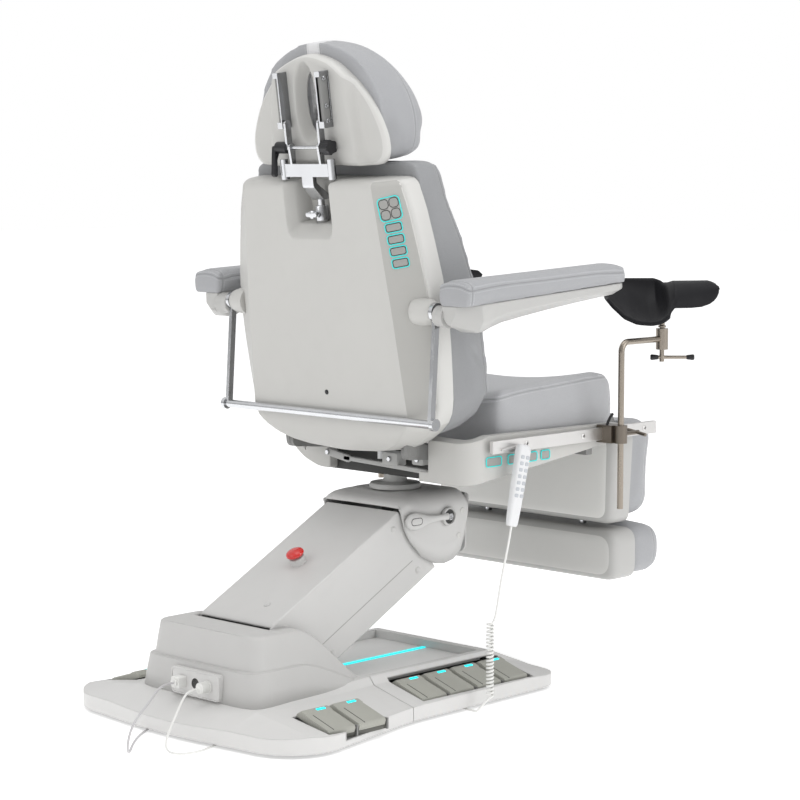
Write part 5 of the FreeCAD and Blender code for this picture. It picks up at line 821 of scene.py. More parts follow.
@dataclass
class Studio:
    """Camera, light and floor."""

    camera_at: Triple = (-3.598, 3.657, 1.175)
    yaw: float = 44.11
    pitch: float = 5.83
    lens: float = 103.6
    low_sky: float = 0.38
    high_sky: float = 0.8
    floor_lift: float = 0.45
    floor_half: float = 30.0
    sensor: float = 36.0
    lamps: Tuple[Tuple[str, Point, Point, float, float], ...] = (
        ("key", (1.6, 4.6, 3.4), (0.0, 0.0, 0.6), 3.0, 30.0),
        ("top", (-0.4, 0.2, 4.2), (0.0, 0.0, 0.5), 3.5, 46.0),
        ("side", (-4.6, -1.6, 2.4), (0.0, -0.2, 0.6), 2.6, 55.0))

    def build(self) -> None:
        """Make the whole studio."""
        self.camera()
        self.floor()
        self.world()
        for lamp in self.lamps:
            self.lamp(*lamp)

    def camera(self) -> None:
        """Stand the camera where the photograph was taken."""
        yaw, pitch = math.radians(self.yaw), math.radians(self.pitch)
        look = Vector((math.sin(yaw) * math.cos(pitch), -math.cos(yaw) * math.cos(pitch), -math.sin(pitch)))
        data = bpy.data.cameras.new("camera")
        data.lens, data.sensor_width = self.lens, self.sensor
        made = link("camera", data)
        made.location = self.camera_at
        made.rotation_euler = look.to_track_quat("-Z", "Y").to_euler()
        bpy.context.scene.camera = made

    def floor(self) -> None:
        """Lay a plain pale floor."""
        mesh = bpy.data.meshes.new("floor")
        half = self.floor_half
        mesh.from_pydata([(-half, -half, 0), (half, -half, 0), (half, half, 0), (-half, half, 0)], [],
                         [(0, 1, 2, 3)])
        graph = Graph(bpy.data.materials.new("pale_floor"))
        cloud = graph.noise(0.6, 2.0)
        colour = graph.mix(cloud, (0.93, 0.93, 0.93), (0.95, 0.95, 0.95))
        graph.surface(graph.shader(Base_Color=colour, Roughness=0.8 + cloud * 0.1, Emission_Color=colour,
                                   Emission_Strength=self.floor_lift))
        mesh.materials.append(graph.owner)
        made = link("floor", mesh)

    def world(self) -> None:
        """Light the room softly from all sides, with white behind the object."""
        world = bpy.data.worlds.new("room")
        bpy.context.scene.world = world
        graph = Graph(world)
        way = graph.node("ShaderNodeTexCoord", output="Generated")
        height = graph.node("ShaderNodeSeparateXYZ", None, {0: way}, 2)
        seen = graph.node("ShaderNodeLightPath", output="Is Camera Ray")
        glow = self.low_sky + height.above(-0.05, 0.5) * (self.high_sky - self.low_sky)
        power = glow.maths("MAXIMUM", glow, seen)
        light = graph.node("ShaderNodeBackground", None, {0: (1, 1, 1, 1), 1: power})
        graph.surface(light, "ShaderNodeOutputWorld")
        bpy.context.scene.view_settings.view_transform = "Standard"

    def lamp(self, name: str, where: Point, target: Point, size: float, power: float) -> None:
        """Hang one soft square lamp."""
        data = bpy.data.lights.new(name, "AREA")
        data.size, data.energy = size, power
        made = link(name, data)
        made.location = where
        made.rotation_euler = (Vector(target) - Vector(where)).to_track_quat("-Z", "Y").to_euler()


# Cords


def route(name: str, points: Sequence[Point], resolution: int) -> bpy.types.Object:
    """A smooth open line with these control points.

    Args:
        name: the line's name.
        points: control points in drawing millimetres.
        resolution: steps between two control points.

    Returns:
        The curve object.
    """
    data = bpy.data.curves.new(name, "CURVE")
    data.dimensions = "3D"
    line = data.splines.new("NURBS")
    line.points.add(len(points) - 1)
    for spot, point in zip(line.points, points):
        spot.co = (*(DRAWING @ Vector(point)), 1.0)
    line.order_u = 3
    line.use_endpoint_u = True
    data.resolution_u = resolution
    return link(name, data)


@dataclass
class RearLeads:
    """The two leads that run from the panel down to the floor and under the base."""

    diameter: float = 5.0
    left_length: float = 0.4851
    right_length: float = 0.3244
    left: Tuple[Point, ...] = (
        (30, 634, 99), (30, 660, 99), (16, 690, 93.5), (-8, 724, 86), (-36, 768, 77), (-54, 806, 62),
        (-65, 829, 43), (-70, 839, 21), (-68, 836, 3.4), (-50, 814.8, 3.4), (-24, 790, 3.4), (16, 745, 3.4),
        (48, 700, 3.4), (66, 668, 3.4))
    right: Tuple[Point, ...] = (
        (-50, 634, 99), (-50, 660, 99), (-62, 686, 89), (-79, 715, 71), (-90, 742, 47), (-97, 760, 26),
        (-104, 769, 10), (-120, 773, 3.4), (-140, 770, 3.4), (-153, 755, 3.4), (-157.5, 728, 3.4),
        (-151, 695, 3.4), (-141, 668, 3.4))

    def build(self) -> None:
        """Lay both leads."""
        self.lead("lead_left", self.left, self.left_length, Look.GREY_CORD)
        self.lead("lead_right", self.right, self.right_length, Look.CORD)

    def lead(self, name: str, points: Sequence[Point], length: float, look: Look) -> None:
        """Lay one lead as a round sheath on its line."""
        made = route(name, points, 12)
        made.data.bevel_depth = self.diameter * 0.0005
        made.data.bevel_resolution = 5
        made.data.use_fill_caps = True
        made.data.materials.append(look.value.material())
        settle(made, "base", ["rear_leads"])
        DRAWING @ Vector(points[0])


@dataclass
class HandsetCord:
    """The handset's cord: a straight hang, a curled length and a run along the floor."""

    diameter: float = 5.0
    length: float = 1.1384
    curl_radius: float = 6.5
    curl_turns: int = 20
    curl_pitch: float = 8.0
    steps: int = 14
    keep: float = 0.66
    curl_at: Triple = (-345, 62, 196)
    hang: Tuple[Triple, ...] = (
        (-358.3, 10.0, 401.3), (-358.3, 11.2, 396.4), (-357.0, 20.0, 355.0), (-352.0, 31.0, 300.0),
        (-349.0, 37.0, 262.0), (-348.5, 44.0, 226.0), (-350.5, 53.0, 204.0))
    floor_run: Tuple[Triple, ...] = (
        (-351.2, 72, 33), (-348, 84, 24), (-341, 90, 12.5), (-332, 89.5, 4.2), (-318, 87.5, 3.6),
        (-300, 85.5, 3.6), (-285, 84, 3.6))

    def points(self) -> List[Point]:
        """Control points from the handset to the far end under the base."""
        line: List[Point] = list(self.hang)
        x, y, z = self.curl_at
        for step in range(self.steps * self.curl_turns + 1):
            turn = step / self.steps
            angle = math.pi + FULL_TURN * turn
            line.append((x + self.curl_radius * math.cos(angle), y - self.curl_radius * math.sin(angle),
                         z - self.curl_pitch * turn))
        return line + list(self.floor_run)

    def build(self) -> None:
        """Sweep the sheath along the cord's own spline."""
        guide = route("cord_line", self.points(), 3)
        mesh = bpy.data.meshes.new_from_object(guide)
        path = [vertex.co.copy() for vertex in mesh.vertices]
        bpy.data.meshes.remove(mesh)
        bpy.data.objects.remove(guide)
        maker = Maker(Matrix.Identity(4))
        maker.tube(path, self.diameter * 0.0005, 10)
        made = maker.piece("handset_lead", Look.CORD, "seat", "cord", ["handset_cord"])
        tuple(path[0])
        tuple(path[0])
        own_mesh(made)


# Cushions


class Face(Enum):
    """The side of a cushion that a person leans on."""

    UP = (0.0, 0.0, 1.0)
    FRONT = (0.0, -1.0, 0.0)
    BACKREST = (0.0, -math.cos(BACK_LEAN), math.sin(BACK_LEAN))


@dataclass
class Cushion:
    """One upholstered pad, blown up from its CAD form by a cloth simulation."""

    node: str
    body: str
    face: Face
    drop: float = 10.0
    look: Look = Look.CUSHION
    shrink: float = 3.0
    cap: float = 6.0
    voxel: float = 6.0
    groove: float = 1.6
    end_seam: Optional[float] = None
    fill: float = 0.8
    ease: int = 4
    bowl_back: float = 0.0
    deepen: float = 0.0
    crown: float = 0.0
    nose: float = 0.0
    nose_long: float = 0.055
    pressure: float = 4.0
    stiffness: float = 12.0
    quality: int = 4
    frames: int = 20
    seam_wide: float = 0.005

    def build(self) -> None:
        """Swell the pad, sew its seams and put it in its CAD node's place."""
        made = link(self.node + "_cover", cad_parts[self.node].data.copy())
        self.start_shape(made)
        self.swell(made)
        self.smooth(made)
        self.sew(made)
        made.data.materials.clear()
        made.data.materials.append(self.look.value.material())
        made.data.polygons.foreach_set("use_smooth", [True] * len(made.data.polygons))
        settle(made, self.body, [self.node])

    @staticmethod
    def taken(made: bpy.types.Object) -> None:
        """Replace the mesh by what its modifiers make of it."""
        graph = bpy.context.evaluated_depsgraph_get()
        mesh = bpy.data.meshes.new_from_object(made.evaluated_get(graph))
        made.modifiers.clear()
        made.data = mesh

    def start_shape(self, made: bpy.types.Object) -> None:
        """Remesh the CAD form evenly and draw it in a little."""
        remesh = made.modifiers.new("even", "REMESH")
        remesh.mode, remesh.voxel_size = "VOXEL", self.voxel * MM
        self.taken(made)
        if self.bowl_back:
            self.fit_bowl(made)
        if self.deepen:
            self.hang_down(made)
        if self.crown:
            self.raise_top(made)
        if self.nose:
            self.round_nose(made)
        places, normals = self.arrays(made)
        front = np.array(self.face.value)
        inward = np.where((normals @ front > -0.6)[:, None], normals, 0.0) * self.shrink * MM
        self.put(made, places - inward)

    @staticmethod
    def reshape(made: bpy.types.Object, base: Matrix, move: Callable[[float, float, float], Point]) -> None:
        """Move each point of the mesh, measured in millimetres of a base frame."""
        inverse = base.inverted()
        for vertex in made.data.vertices:
            vertex.co = base @ Vector(move(*(inverse @ vertex.co)))
        made.data.update()

    def fit_bowl(self, made: bpy.types.Object) -> None:
        """Draw the headrest pad's back rearwards to its bowl, and narrow and lift its top."""
        foot, tall, front, deep, narrow, lift = 617.0, 241.0, -45.0, 90.0, 0.12, 9.0

        def move(x: float, d: float, h: float) -> Point:
            """Place of one point in the bowl."""
            rise = smooth_step(0.35, 1.0, clamp((h - foot) / tall))
            return x * (1.0 - narrow * rise), d + self.bowl_back * clamp((d - front) / deep), h + lift * rise

        self.reshape(made, BACK, move)

    def hang_down(self, made: bpy.types.Object) -> None:
        """Draw the lower half of an armrest pad down over its body."""
        tip, long, top, deep = -500.0, 520.0, 48.0, 20.0

        def move(x: float, y: float, z: float) -> Point:
            """Place of one point, lower towards the rear and the bottom."""
            return x, y, z - self.deepen * clamp((y - tip) / long) * max(0.0, (top - z) / deep)

        self.reshape(made, REST, move)

    def raise_top(self, made: bpy.types.Object) -> None:
        """Lift the back pad's top above its shell."""
        self.reshape(made, BACK, lambda x, d, h: (x, d, h + self.crown * smooth_step(500.0, 600.0, h)))

    def round_nose(self, made: bpy.types.Object) -> None:
        """Round the seat pad's upper front edge."""
        places = self.arrays(made)[0]
        front, low, high = places[:, 1].min(), places[:, 2].min(), places[:, 2].max()
        share = np.clip((front + self.nose_long - places[:, 1]) / self.nose_long, 0.0, 1.0)
        lifted = np.clip((places[:, 2] - low) / (high - low), 0.0, 1.0)
        places[:, 2] -= self.nose * MM * share ** 2.2 * lifted
        self.put(made, places)

    @staticmethod
    def arrays(made: bpy.types.Object) -> Tuple[np.ndarray, np.ndarray]:
        """Places and normals of the mesh's points."""
        count = len(made.data.vertices)
        places, normals = np.zeros(count * 3), np.zeros(count * 3)
        made.data.vertices.foreach_get("co", places)
        made.data.vertices.foreach_get("normal", normals)
        return places.reshape(-1, 3), normals.reshape(-1, 3)

    @staticmethod
    def put(made: bpy.types.Object, places: np.ndarray) -> None:
        """Move the mesh's points."""
        made.data.vertices.foreach_set("co", np.ascontiguousarray(places, dtype=np.float32).ravel())
        made.data.update()

    def swell(self, made: bpy.types.Object) -> None:
        """Blow the cover up with Blender's cloth, capped so that it stays in its room."""
        start, normals = self.arrays(made)
        cloth = made.modifiers.new("cover", "CLOTH")
        cloth.settings.use_pressure = True
        cloth.settings.uniform_pressure_force = self.pressure
        cloth.settings.effector_weights.gravity = 0.0
        cloth.settings.tension_stiffness = cloth.settings.compression_stiffness = self.stiffness
        cloth.settings.quality = self.quality
        cloth.point_cache.frame_start, cloth.point_cache.frame_end = 1, self.frames
        scene = bpy.context.scene
        for step in range(1, self.frames + 1):
            scene.frame_set(step)
        self.taken(made)
        scene.frame_set(1)
        moved = self.arrays(made)[0] - start
        size = np.linalg.norm(moved, axis=1, keepdims=True)
        moved *= np.minimum(1.0, self.cap * MM / np.maximum(size, 1e-9))
        rests = np.clip((-(normals @ np.array(self.face.value)) - 0.35) / 0.4, 0.0, 1.0)
        self.put(made, start + moved * (1.0 - rests[:, None]))

    def smooth(self, made: bpy.types.Object) -> None:
        """Even out the remesh's steps and subdivide once."""
        ease = made.modifiers.new("ease", "SMOOTH")
        ease.factor, ease.iterations = 0.5, self.ease
        finer = made.modifiers.new("finer", "SUBSURF")
        finer.levels = finer.render_levels = 1
        self.taken(made)

    def sew(self, made: bpy.types.Object) -> None:
        """Store the distance to the seams for the leather, and draw the pad in along them."""
        places, normals = self.arrays(made)
        front = Vector(self.face.value)
        side = Vector((1.0, 0.0, 0.0))
        along = front.cross(side)
        u, v, height = places @ np.array(side), places @ np.array(along), places @ np.array(front)
        u, v = u - u.mean(), v - v.mean()
        top = normals @ np.array(front) > 0.93
        terms = np.stack([np.ones_like(u), u, v, u * u, v * v, u * v, u ** 4, v ** 4, u * u * v], axis=1)
        fitted = terms @ np.linalg.lstsq(terms[top], height[top], rcond=None)[0]
        seam = height - (fitted - self.drop * MM)
        seam[normals @ np.array(front) < -0.55] = 1.0
        end = np.ones_like(seam)
        if self.end_seam is not None:
            inset = self.end_seam * MM
            end = v - (v.max() - inset if along.y > 0 else v.min() + inset)
        nearest = np.minimum(np.abs(seam), np.abs(end))
        dip = np.exp(-(nearest / self.seam_wide) ** 2) * self.groove * MM
        self.put(made, places - normals * dip[:, None])
        run = np.where(np.abs(seam) < np.abs(end), np.where(np.abs(normals[:, 0]) > 0.7, v, u), places[:, 2])
        for name, values in (("seam", seam), ("seam_end", end), ("run", run)):
            layer = made.data.attributes.new(name, "FLOAT", "POINT")
            layer.data.foreach_set("value", values.astype(np.float32))


CUSHIONS: Tuple[Cushion, ...] = (
    Cushion("seat_cushion", "seat", Face.UP, drop=11.0, look=Look.LIT_SEAT_CUSHION, groove=0.9, ease=26,
            nose=26.0),
    Cushion("back_cushion", "back", Face.BACKREST, drop=14.0, look=Look.SHADED_BACK_CUSHION, ease=8, crown=11.0),
    Cushion("headrest_cushion", "headrest", Face.BACKREST, drop=40.0, look=Look.HEAD_CUSHION, groove=1.0,
            bowl_back=26.5),
    Cushion("leg_cushion", "leg", Face.FRONT, drop=30.0, groove=0.8),
    Cushion("foot_cushion", "foot", Face.FRONT, drop=30.0, groove=0.8),
    *(Cushion(f"armrest_pad_{side}", f"armrest_{side}", Face.UP, drop=9.0, shrink=1.5, cap=4.0, voxel=4.0,
              groove=0.9, end_seam=17.0, deepen=12.0) for side in ("left", "right")),
)


# Base


@dataclass
class BaseUnit:
    """Pedals and their sills, the tray's liner, the pivot housing and the connector panel's fittings."""

    pitch: float = 88.0
    long: float = 98.0
    rise: float = 31.0
    wide: float = 77.0
    rows: Tuple[Tuple[float, float, float, int], ...] = ((350.0, 44.0, 508.0, 2), (288.0, 43.0, 169.0, 4))
    tread: Tuple[Triple, ...] = (
        (-49, -7, 2), (-48, -3, 0.6), (-45.5, -0.6, 0), (-42, 0, 0), (22, 0, 0), (25, 1.6, 0), (37, 1.8, 0),
        (40, 0.6, 0), (49, -9, 1))
    crown: Table = ((268, 78), (300, 104), (350, 148), (395, 186), (430, 206), (455, 212), (602, 212))
    ledge: Table = ((268, 72), (300, 84), (350, 106), (400, 126), (440, 138), (470, 140), (602, 140))
    foot_half: Table = ((268, 176), (330, 187), (400, 190), (602, 190))
    step_half: Table = ((268, 172), (350, 176), (602, 176))
    crown_half: Table = ((268, 160), (350, 157), (602, 155))
    rounding: Table = (
        (0.0, 0), (0.3, 0), (0.6, 0), (0.7, 0), (0.8, 1.5), (0.88, 5), (0.94, 12), (0.98, 24), (1.0, 45))
    housing_rear: float = 602.0
    housing_sill: float = 64.0
    slot_half: float = 117.0
    slot_end: float = 500.0
    socket_x: float = 10.0
    socket: Table = ((9.4, -9.0), (9.4, 0.3), (10.8, 0.8), (11.6, 0.0))
    plug_ribs: int = 6
    rib_pitch: float = 3.2

    def build(self) -> None:
        """Make the pedals, the housing and the fittings."""
        number = 0
        for outer, height, first, count in self.rows:
            for index in range(count):
                number += 1
                for side, name in ((1, "left"), (-1, "right")):
                    self.pedal(f"pedal_{name}_{number}", side, outer, height, first - index * self.pitch)
        self.sills()
        self.housing()
        self.panel()

    def pedal(self, body: str, side: int, outer: float, height: float, y: float) -> None:
        """Make one pedal with its lit window and painted shade in the groove beside its tread."""
        tread = self.slope(side, outer, height, y)
        Maker().loft([self.tread_section(*station) for station in self.tread], tread).piece(
            body + "_tread", Look.PEDAL, body, "pedal", [body])
        Maker().pillow(tread @ at(-side * 11, 31.5, 1.7), 25, 7, 2, -1.0, 0.8, 0.6).piece(
            body + "_window", Look.LIGHT, body, "light")
        # painted shade in the groove beside the tread
        Maker().pillow(tread @ at(side * 23, -14, 0), 2.0, 64, 0.9, -1.0, 0.3, 0.2).piece(
            body + "_groove", Look.SHADE_AND_DARK, body, "pedal")

    def slope(self, side: int, outer: float, height: float, y: float) -> Matrix:
        """Frame on a pedal's tread: Y runs up the slope, towards the middle of the base."""
        middle = Vector((side * (outer - self.long / 2), y, height + self.rise / 2))
        return facing(middle, (side * self.rise, 0, self.long), (-side * self.long, 0, self.rise))

    def sills(self) -> None:
        """Close the pedal pockets along their outer ends and line the tray's floor."""
        sills = Maker()
        for outer, height, first, count in self.rows:
            for side in SIDES:
                place = self.slope(side, outer, height, first - (count - 1) * self.pitch / 2)
                sills.pillow(place @ at(0, -40, 0), count * self.pitch, 16, 1.5, -26, -16, 0.8)
        sills.piece("pedal_sills", Look.BED, "base", "pedal")
        Maker().pillow(at(0, 80, 67), 316, 356, 8, -0.4, 0.8, 0.4).piece(
            "tray_liner", Look.TRAY, "base", "shell_cool")

    def tread_section(self, place: float, top: float, inset: float) -> List[Point]:
        """Cross-section of a pedal with eased upper corners."""
        half = self.wide / 2 - inset
        corner = [(half, -15), (half, top - 4), (half - 1.2, top - 1.2), (half - 4, top)]
        return [(x, place, z) for x, z in mirrored(corner)]

    def housing(self) -> None:
        """Make the stepped housing, whose tail sweeps down beside the arm."""
        shell = Maker()
        rows = [self.housing_row(self.housing_rear - back, share) for share, back in self.rounding]
        rows += [self.housing_row(place, 1.0) for place in spread(556.0, 268.0, 34)]
        shell.loft(rows, capped=False, wrap=False)
        hole = [face for face, middle in shell.middles()
                if abs(middle.x) < self.slot_half and middle.y < self.slot_end]
        bmesh.ops.delete(shell.bm, geom=hole, context="FACES")
        shell.weld()
        shell.piece("housing_shell", Look.HOUSING, "base", "shell_cool", ["pivot_housing"], thick=3.5)

    def housing_row(self, y: float, share: float) -> List[Point]:
        """One row of the housing's skin, from one foot over the top to the other.

        Args:
            y: its place along the base.
            share: part of the full width that it spans.

        Returns:
            The row's points.
        """
        halves = (self.foot_half, self.step_half, self.crown_half)
        foot, step, top = (along_curve(y, table) for table in halves)
        ledge, crown = along_curve(y, self.ledge), along_curve(y, self.crown)
        sill = self.housing_sill
        low, high = ledge - sill, crown - ledge
        half = [(foot, sill), ((foot + step) / 2, sill + low / 2), (step, ledge - min(7, low * 0.4)),
                (step - 1.5, ledge - min(2.0, low * 0.1)), (step - 5, ledge),
                (step - 9, ledge + min(0.5, high * 0.03)), (step - 11, ledge + min(4, high * 0.2)),
                ((step - 11 + top) / 2, ledge + high * 0.5), (top, crown - min(10, high * 0.4)),
                (top - 2, crown - min(4, high * 0.16)), (top - 7, crown - min(0.8, high * 0.04)),
                (top - 14, crown), (self.slot_half + 1, crown), (60, crown)]
        lean = 0.09 * smooth_step(430, 600, y)
        back = 8.0 * smooth_step(556, 600, y)
        return [(x * share, y - lean * (z - sill) - (back if z > ledge - 0.1 else 0.0), z)
                for x, z in mirrored(half, [(0.0, crown)])]

    def panel(self) -> None:
        """Paint shade into the middle socket with a near-black lining, raise the panel's rim and dress the
        two plugs.
        """
        face = rear_face(0, 608, 99)
        # painted shade inside the socket
        Maker().lathe(self.socket, face @ at(self.socket_x, 0, 0)).piece(
            "socket_shade", Look.SHADE_AND_DARK, "base", "black")
        Maker().ring(face @ at(self.socket_x, 0, 0), 149, 53, 11, 2.0).piece(
            "panel_rim", Look.COOL, "base", "shell_cool")
        plugs = Maker()
        plugs.pillow(face @ at(-30, 0, 0), 25, 24, 4, 0.2, 22, 2.0)
        ribs = [(13.5, 0.2), (13.5, 4.0)]
        for index in range(self.plug_ribs):
            ribs += [(radius, level + index * self.rib_pitch)
                     for radius, level in ((10.6, 4.4), (10.6, 5.6), (12.0, 6.0), (12.0, 7.2))]
        plugs.lathe(ribs + [(8.0, 25.0), (3.6, 30.0)], face @ at(50, 0, 0))
        plugs.piece("plug_sleeves", Look.CORD, "base", "cord")


# Lift


@dataclass
class LiftUnit:
    """The stop button, arm seams, head cover, screw caps, swivel lock lever and swivel post."""

    stop_along: float = 195.0
    half: float = 122.0
    arm_half: float = 113.0
    arm_top: float = 38.0
    stop_head: Table = (
        (9, -6), (9, 20), (14, 20.5), (19, 21.5), (20.5, 23.5), (20.3, 26), (18.5, 29), (14, 31.5),
        (8, 32.8), (0, 33.2))
    stop_collar: Table = ((16.6, 0.2), (16.6, 2), (14.4, 3), (14.4, 13), (13.6, 15.0), (11, 15.2), (10.6, 12))
    lever_at: Spot = (-41.0, 393.0)
    lever_x: float = -131.5
    lever_hub: Table = ((21, 1.5), (21.5, 6), (20.5, 9), (17, 10), (16.4, 6), (7, 6))
    lever_nut: Table = ((9, 6.0), (9, 12.5), (7.6, 13.6), (4.4, 13.6), (4.0, 12.4), (0, 12.4))
    lever_rows: Tuple[Triple, ...] = (
        (-34, 8, 4.5), (-20, 7, 4.5), (2, 7, 4.5), (30, 10, 5), (52, 16, 7), (72, 20, 8), (90, 17, 7),
        (99, 9, 4.5), (101, 3, 1.5))
    turned: Table = (
        (20, 346), (20, 451), (58, 451), (58.5, 453), (58.5, 459), (56, 462.6), (40, 463.4), (30, 466),
        (26, 472), (25, 490))
    tilt_nut: Table = ((9, 8), (9, 12), (13, 12.4), (13, 17), (11.4, 18.6), (0, 18.6))
    tilt_x: float = 114.4
    cap: Table = ((7, -1), (7, 0.6), (5.8, 1.5), (4.2, 1.5), (3.9, 0.9), (0, 0.9))
    skirt: Table = (
        (-112, 424), (-110, 392), (-100, 345), (-85, 310), (-62, 293), (-32, 287), (0, 291), (40, 311),
        (78, 349), (96, 379), (104, 408), (109, 421))
    top: Table = (
        (-112, 438), (-108, 445), (-102, 448.6), (-92, 450), (30, 450), (60, 447), (85, 442), (100, 436),
        (106, 431), (109, 426))

    def build(self) -> None:
        """Make the pieces from the arm upwards."""
        self.button()
        self.arm_seams()
        self.head_cover()
        self.caps()
        self.lever()
        self.post()

    def button(self) -> None:
        """Turn the flat red mushroom head on its stem, and its collar."""
        place = at(0, -self.stop_along, self.arm_top)
        Maker(ARM).lathe(self.stop_head, place).piece(
            "stop_head", Look.RED, "stop_button", "red", ["emergency_stop_button"])
        Maker(ARM).lathe(self.stop_collar, place).piece("stop_collar", Look.CHROME, "lift_arm", "chrome")

    def arm_seams(self) -> None:
        """Score the parting line of the arm's two covers and plug its upper face."""
        seam = Maker(ARM)
        for side in SIDES:
            line = side_face(side, self.arm_half, -205, -84)
            seam.pillow(line, 392, 1.8, 0.8, -1.0, 0.25, 0.2)
        seam.piece("arm_seams", Look.KEY, "lift_arm", "black")
        Maker(ARM).lathe(((8, -0.5), (8, 0.6), (7, 1.2), (0, 1.3)), at(-40, -48, self.arm_top)).piece(
            "arm_plug", Look.HOUSE, "lift_arm", "shell_cool")

    def head_row(self, y: float) -> List[Point]:
        """One row of the head cover's skin, from one skirt over the top to the other."""
        low, high = along_curve(y, self.skirt), along_curve(y, self.top)
        radius = min(40.0 - 22.0 * smooth_step(35.0, 95.0, y), (high - low) * 0.9)
        half = [(self.half, low + (high - radius - low) * share) for share in (0.0, 0.35, 0.7)]
        for step in range(9):
            angle = QUARTER_TURN * step / 8
            half.append((self.half - radius + radius * math.cos(angle),
                         high - radius + radius * math.sin(angle)))
        half.append((40.0, high))
        return [(x, y, z) for x, z in mirrored(half)]

    def head_cover(self) -> None:
        """Make the domed cover with its round cheeks, closed in front."""
        cover = Maker()
        places = [-112, -111.5, -110.5, -109, -106] + spread(-103, 100, 46) + [103, 105.5, 107.5, 109]
        cover.loft([self.head_row(place) for place in places], capped=False, wrap=False)
        cover.pillow(facing((0, -107, 370), (0, -1, 0), UP), 236, 138, 24, -2, 2, 1.5)
        cover.piece("head_cover", Look.HOUSE, "lift_head", "shell_cool", ["lift_head_cover"], thick=4.0)

    def caps(self) -> None:
        """Cap the screws of the head cover and of the arm's covers."""
        head, arm = Maker(), Maker(ARM)
        for side in SIDES:
            for y, z in ((-92, 400), (-80, 345)):
                head.lathe(self.cap, side_face(side, self.half, y, z), 24)
            for y, z in ((-16, 12), (-383, 12), (-105, -118), (-405, -112)):
                arm.lathe(self.cap, side_face(side, self.arm_half, y, z), 24)
        # The caps use the painted-light copy of the shell colour.
        head.piece("head_screw_caps", Look.LIT_SHELL, "lift_head", "shell_cool")
        arm.piece("arm_screw_caps", Look.LIT_SHELL, "lift_arm", "shell_cool")

    def lever(self) -> None:
        """Make the lock lever: a hub with a hexagon nut and a flared handle."""
        y, z = self.lever_at
        hub = side_face(-1, self.half, y, z)
        arm = Maker()
        arm.lathe(self.lever_hub, hub)
        arm.loft([[(self.lever_x + thick * math.cos(turn), place, z + 1 + tall * math.sin(turn))
                   for turn in circle(20)] for place, tall, thick in self.lever_rows])
        arm.piece("lock_lever_arm", Look.HOUSE, "lock_lever", "shell_cool", ["swivel_lock_lever"])
        # painted shade in the hub's recess and in a ring around the handle
        recess_shade = Maker()
        recess_shade.lathe(((16.2, 5.0), (16.2, 6.6), (0, 6.6)), hub)
        recess_shade.ring(side_face(-1, 138.4, 73, z + 1), 34, 15, 7, 0.8)
        recess_shade.piece("lock_lever_recess_shade", Look.SHADE_AND_DARK, "lock_lever", "black")
        Maker().lathe(self.lever_nut, hub, 6).piece("lock_lever_nut", Look.CHROME, "lock_lever", "chrome")

    def post(self) -> None:
        """Turn the flanged post and set the ears of the tilt pin on its cross beam."""
        post = Maker()
        post.lathe(self.turned, Matrix.Identity(4), 56)
        post.pillow(at(0, -14, 0), 252, 64, 14, 484, 500, 3)
        for side in SIDES:
            ear = side_face(side, self.tilt_x, -20, 0)
            outline = round_poly(((-40, 496), (40, 496), (17, 538), (-17, 538)), (4, 4, 20, 20))
            post.prism(outline, ear, 0, 10, 1.0)
            post.lathe(self.tilt_nut, side_face(side, self.tilt_x, -20, 520), 6)
        post.piece("swivel_post", Look.COLUMN, "swivel", "frame_grey", ["swivel_column"])


# Back and headrest


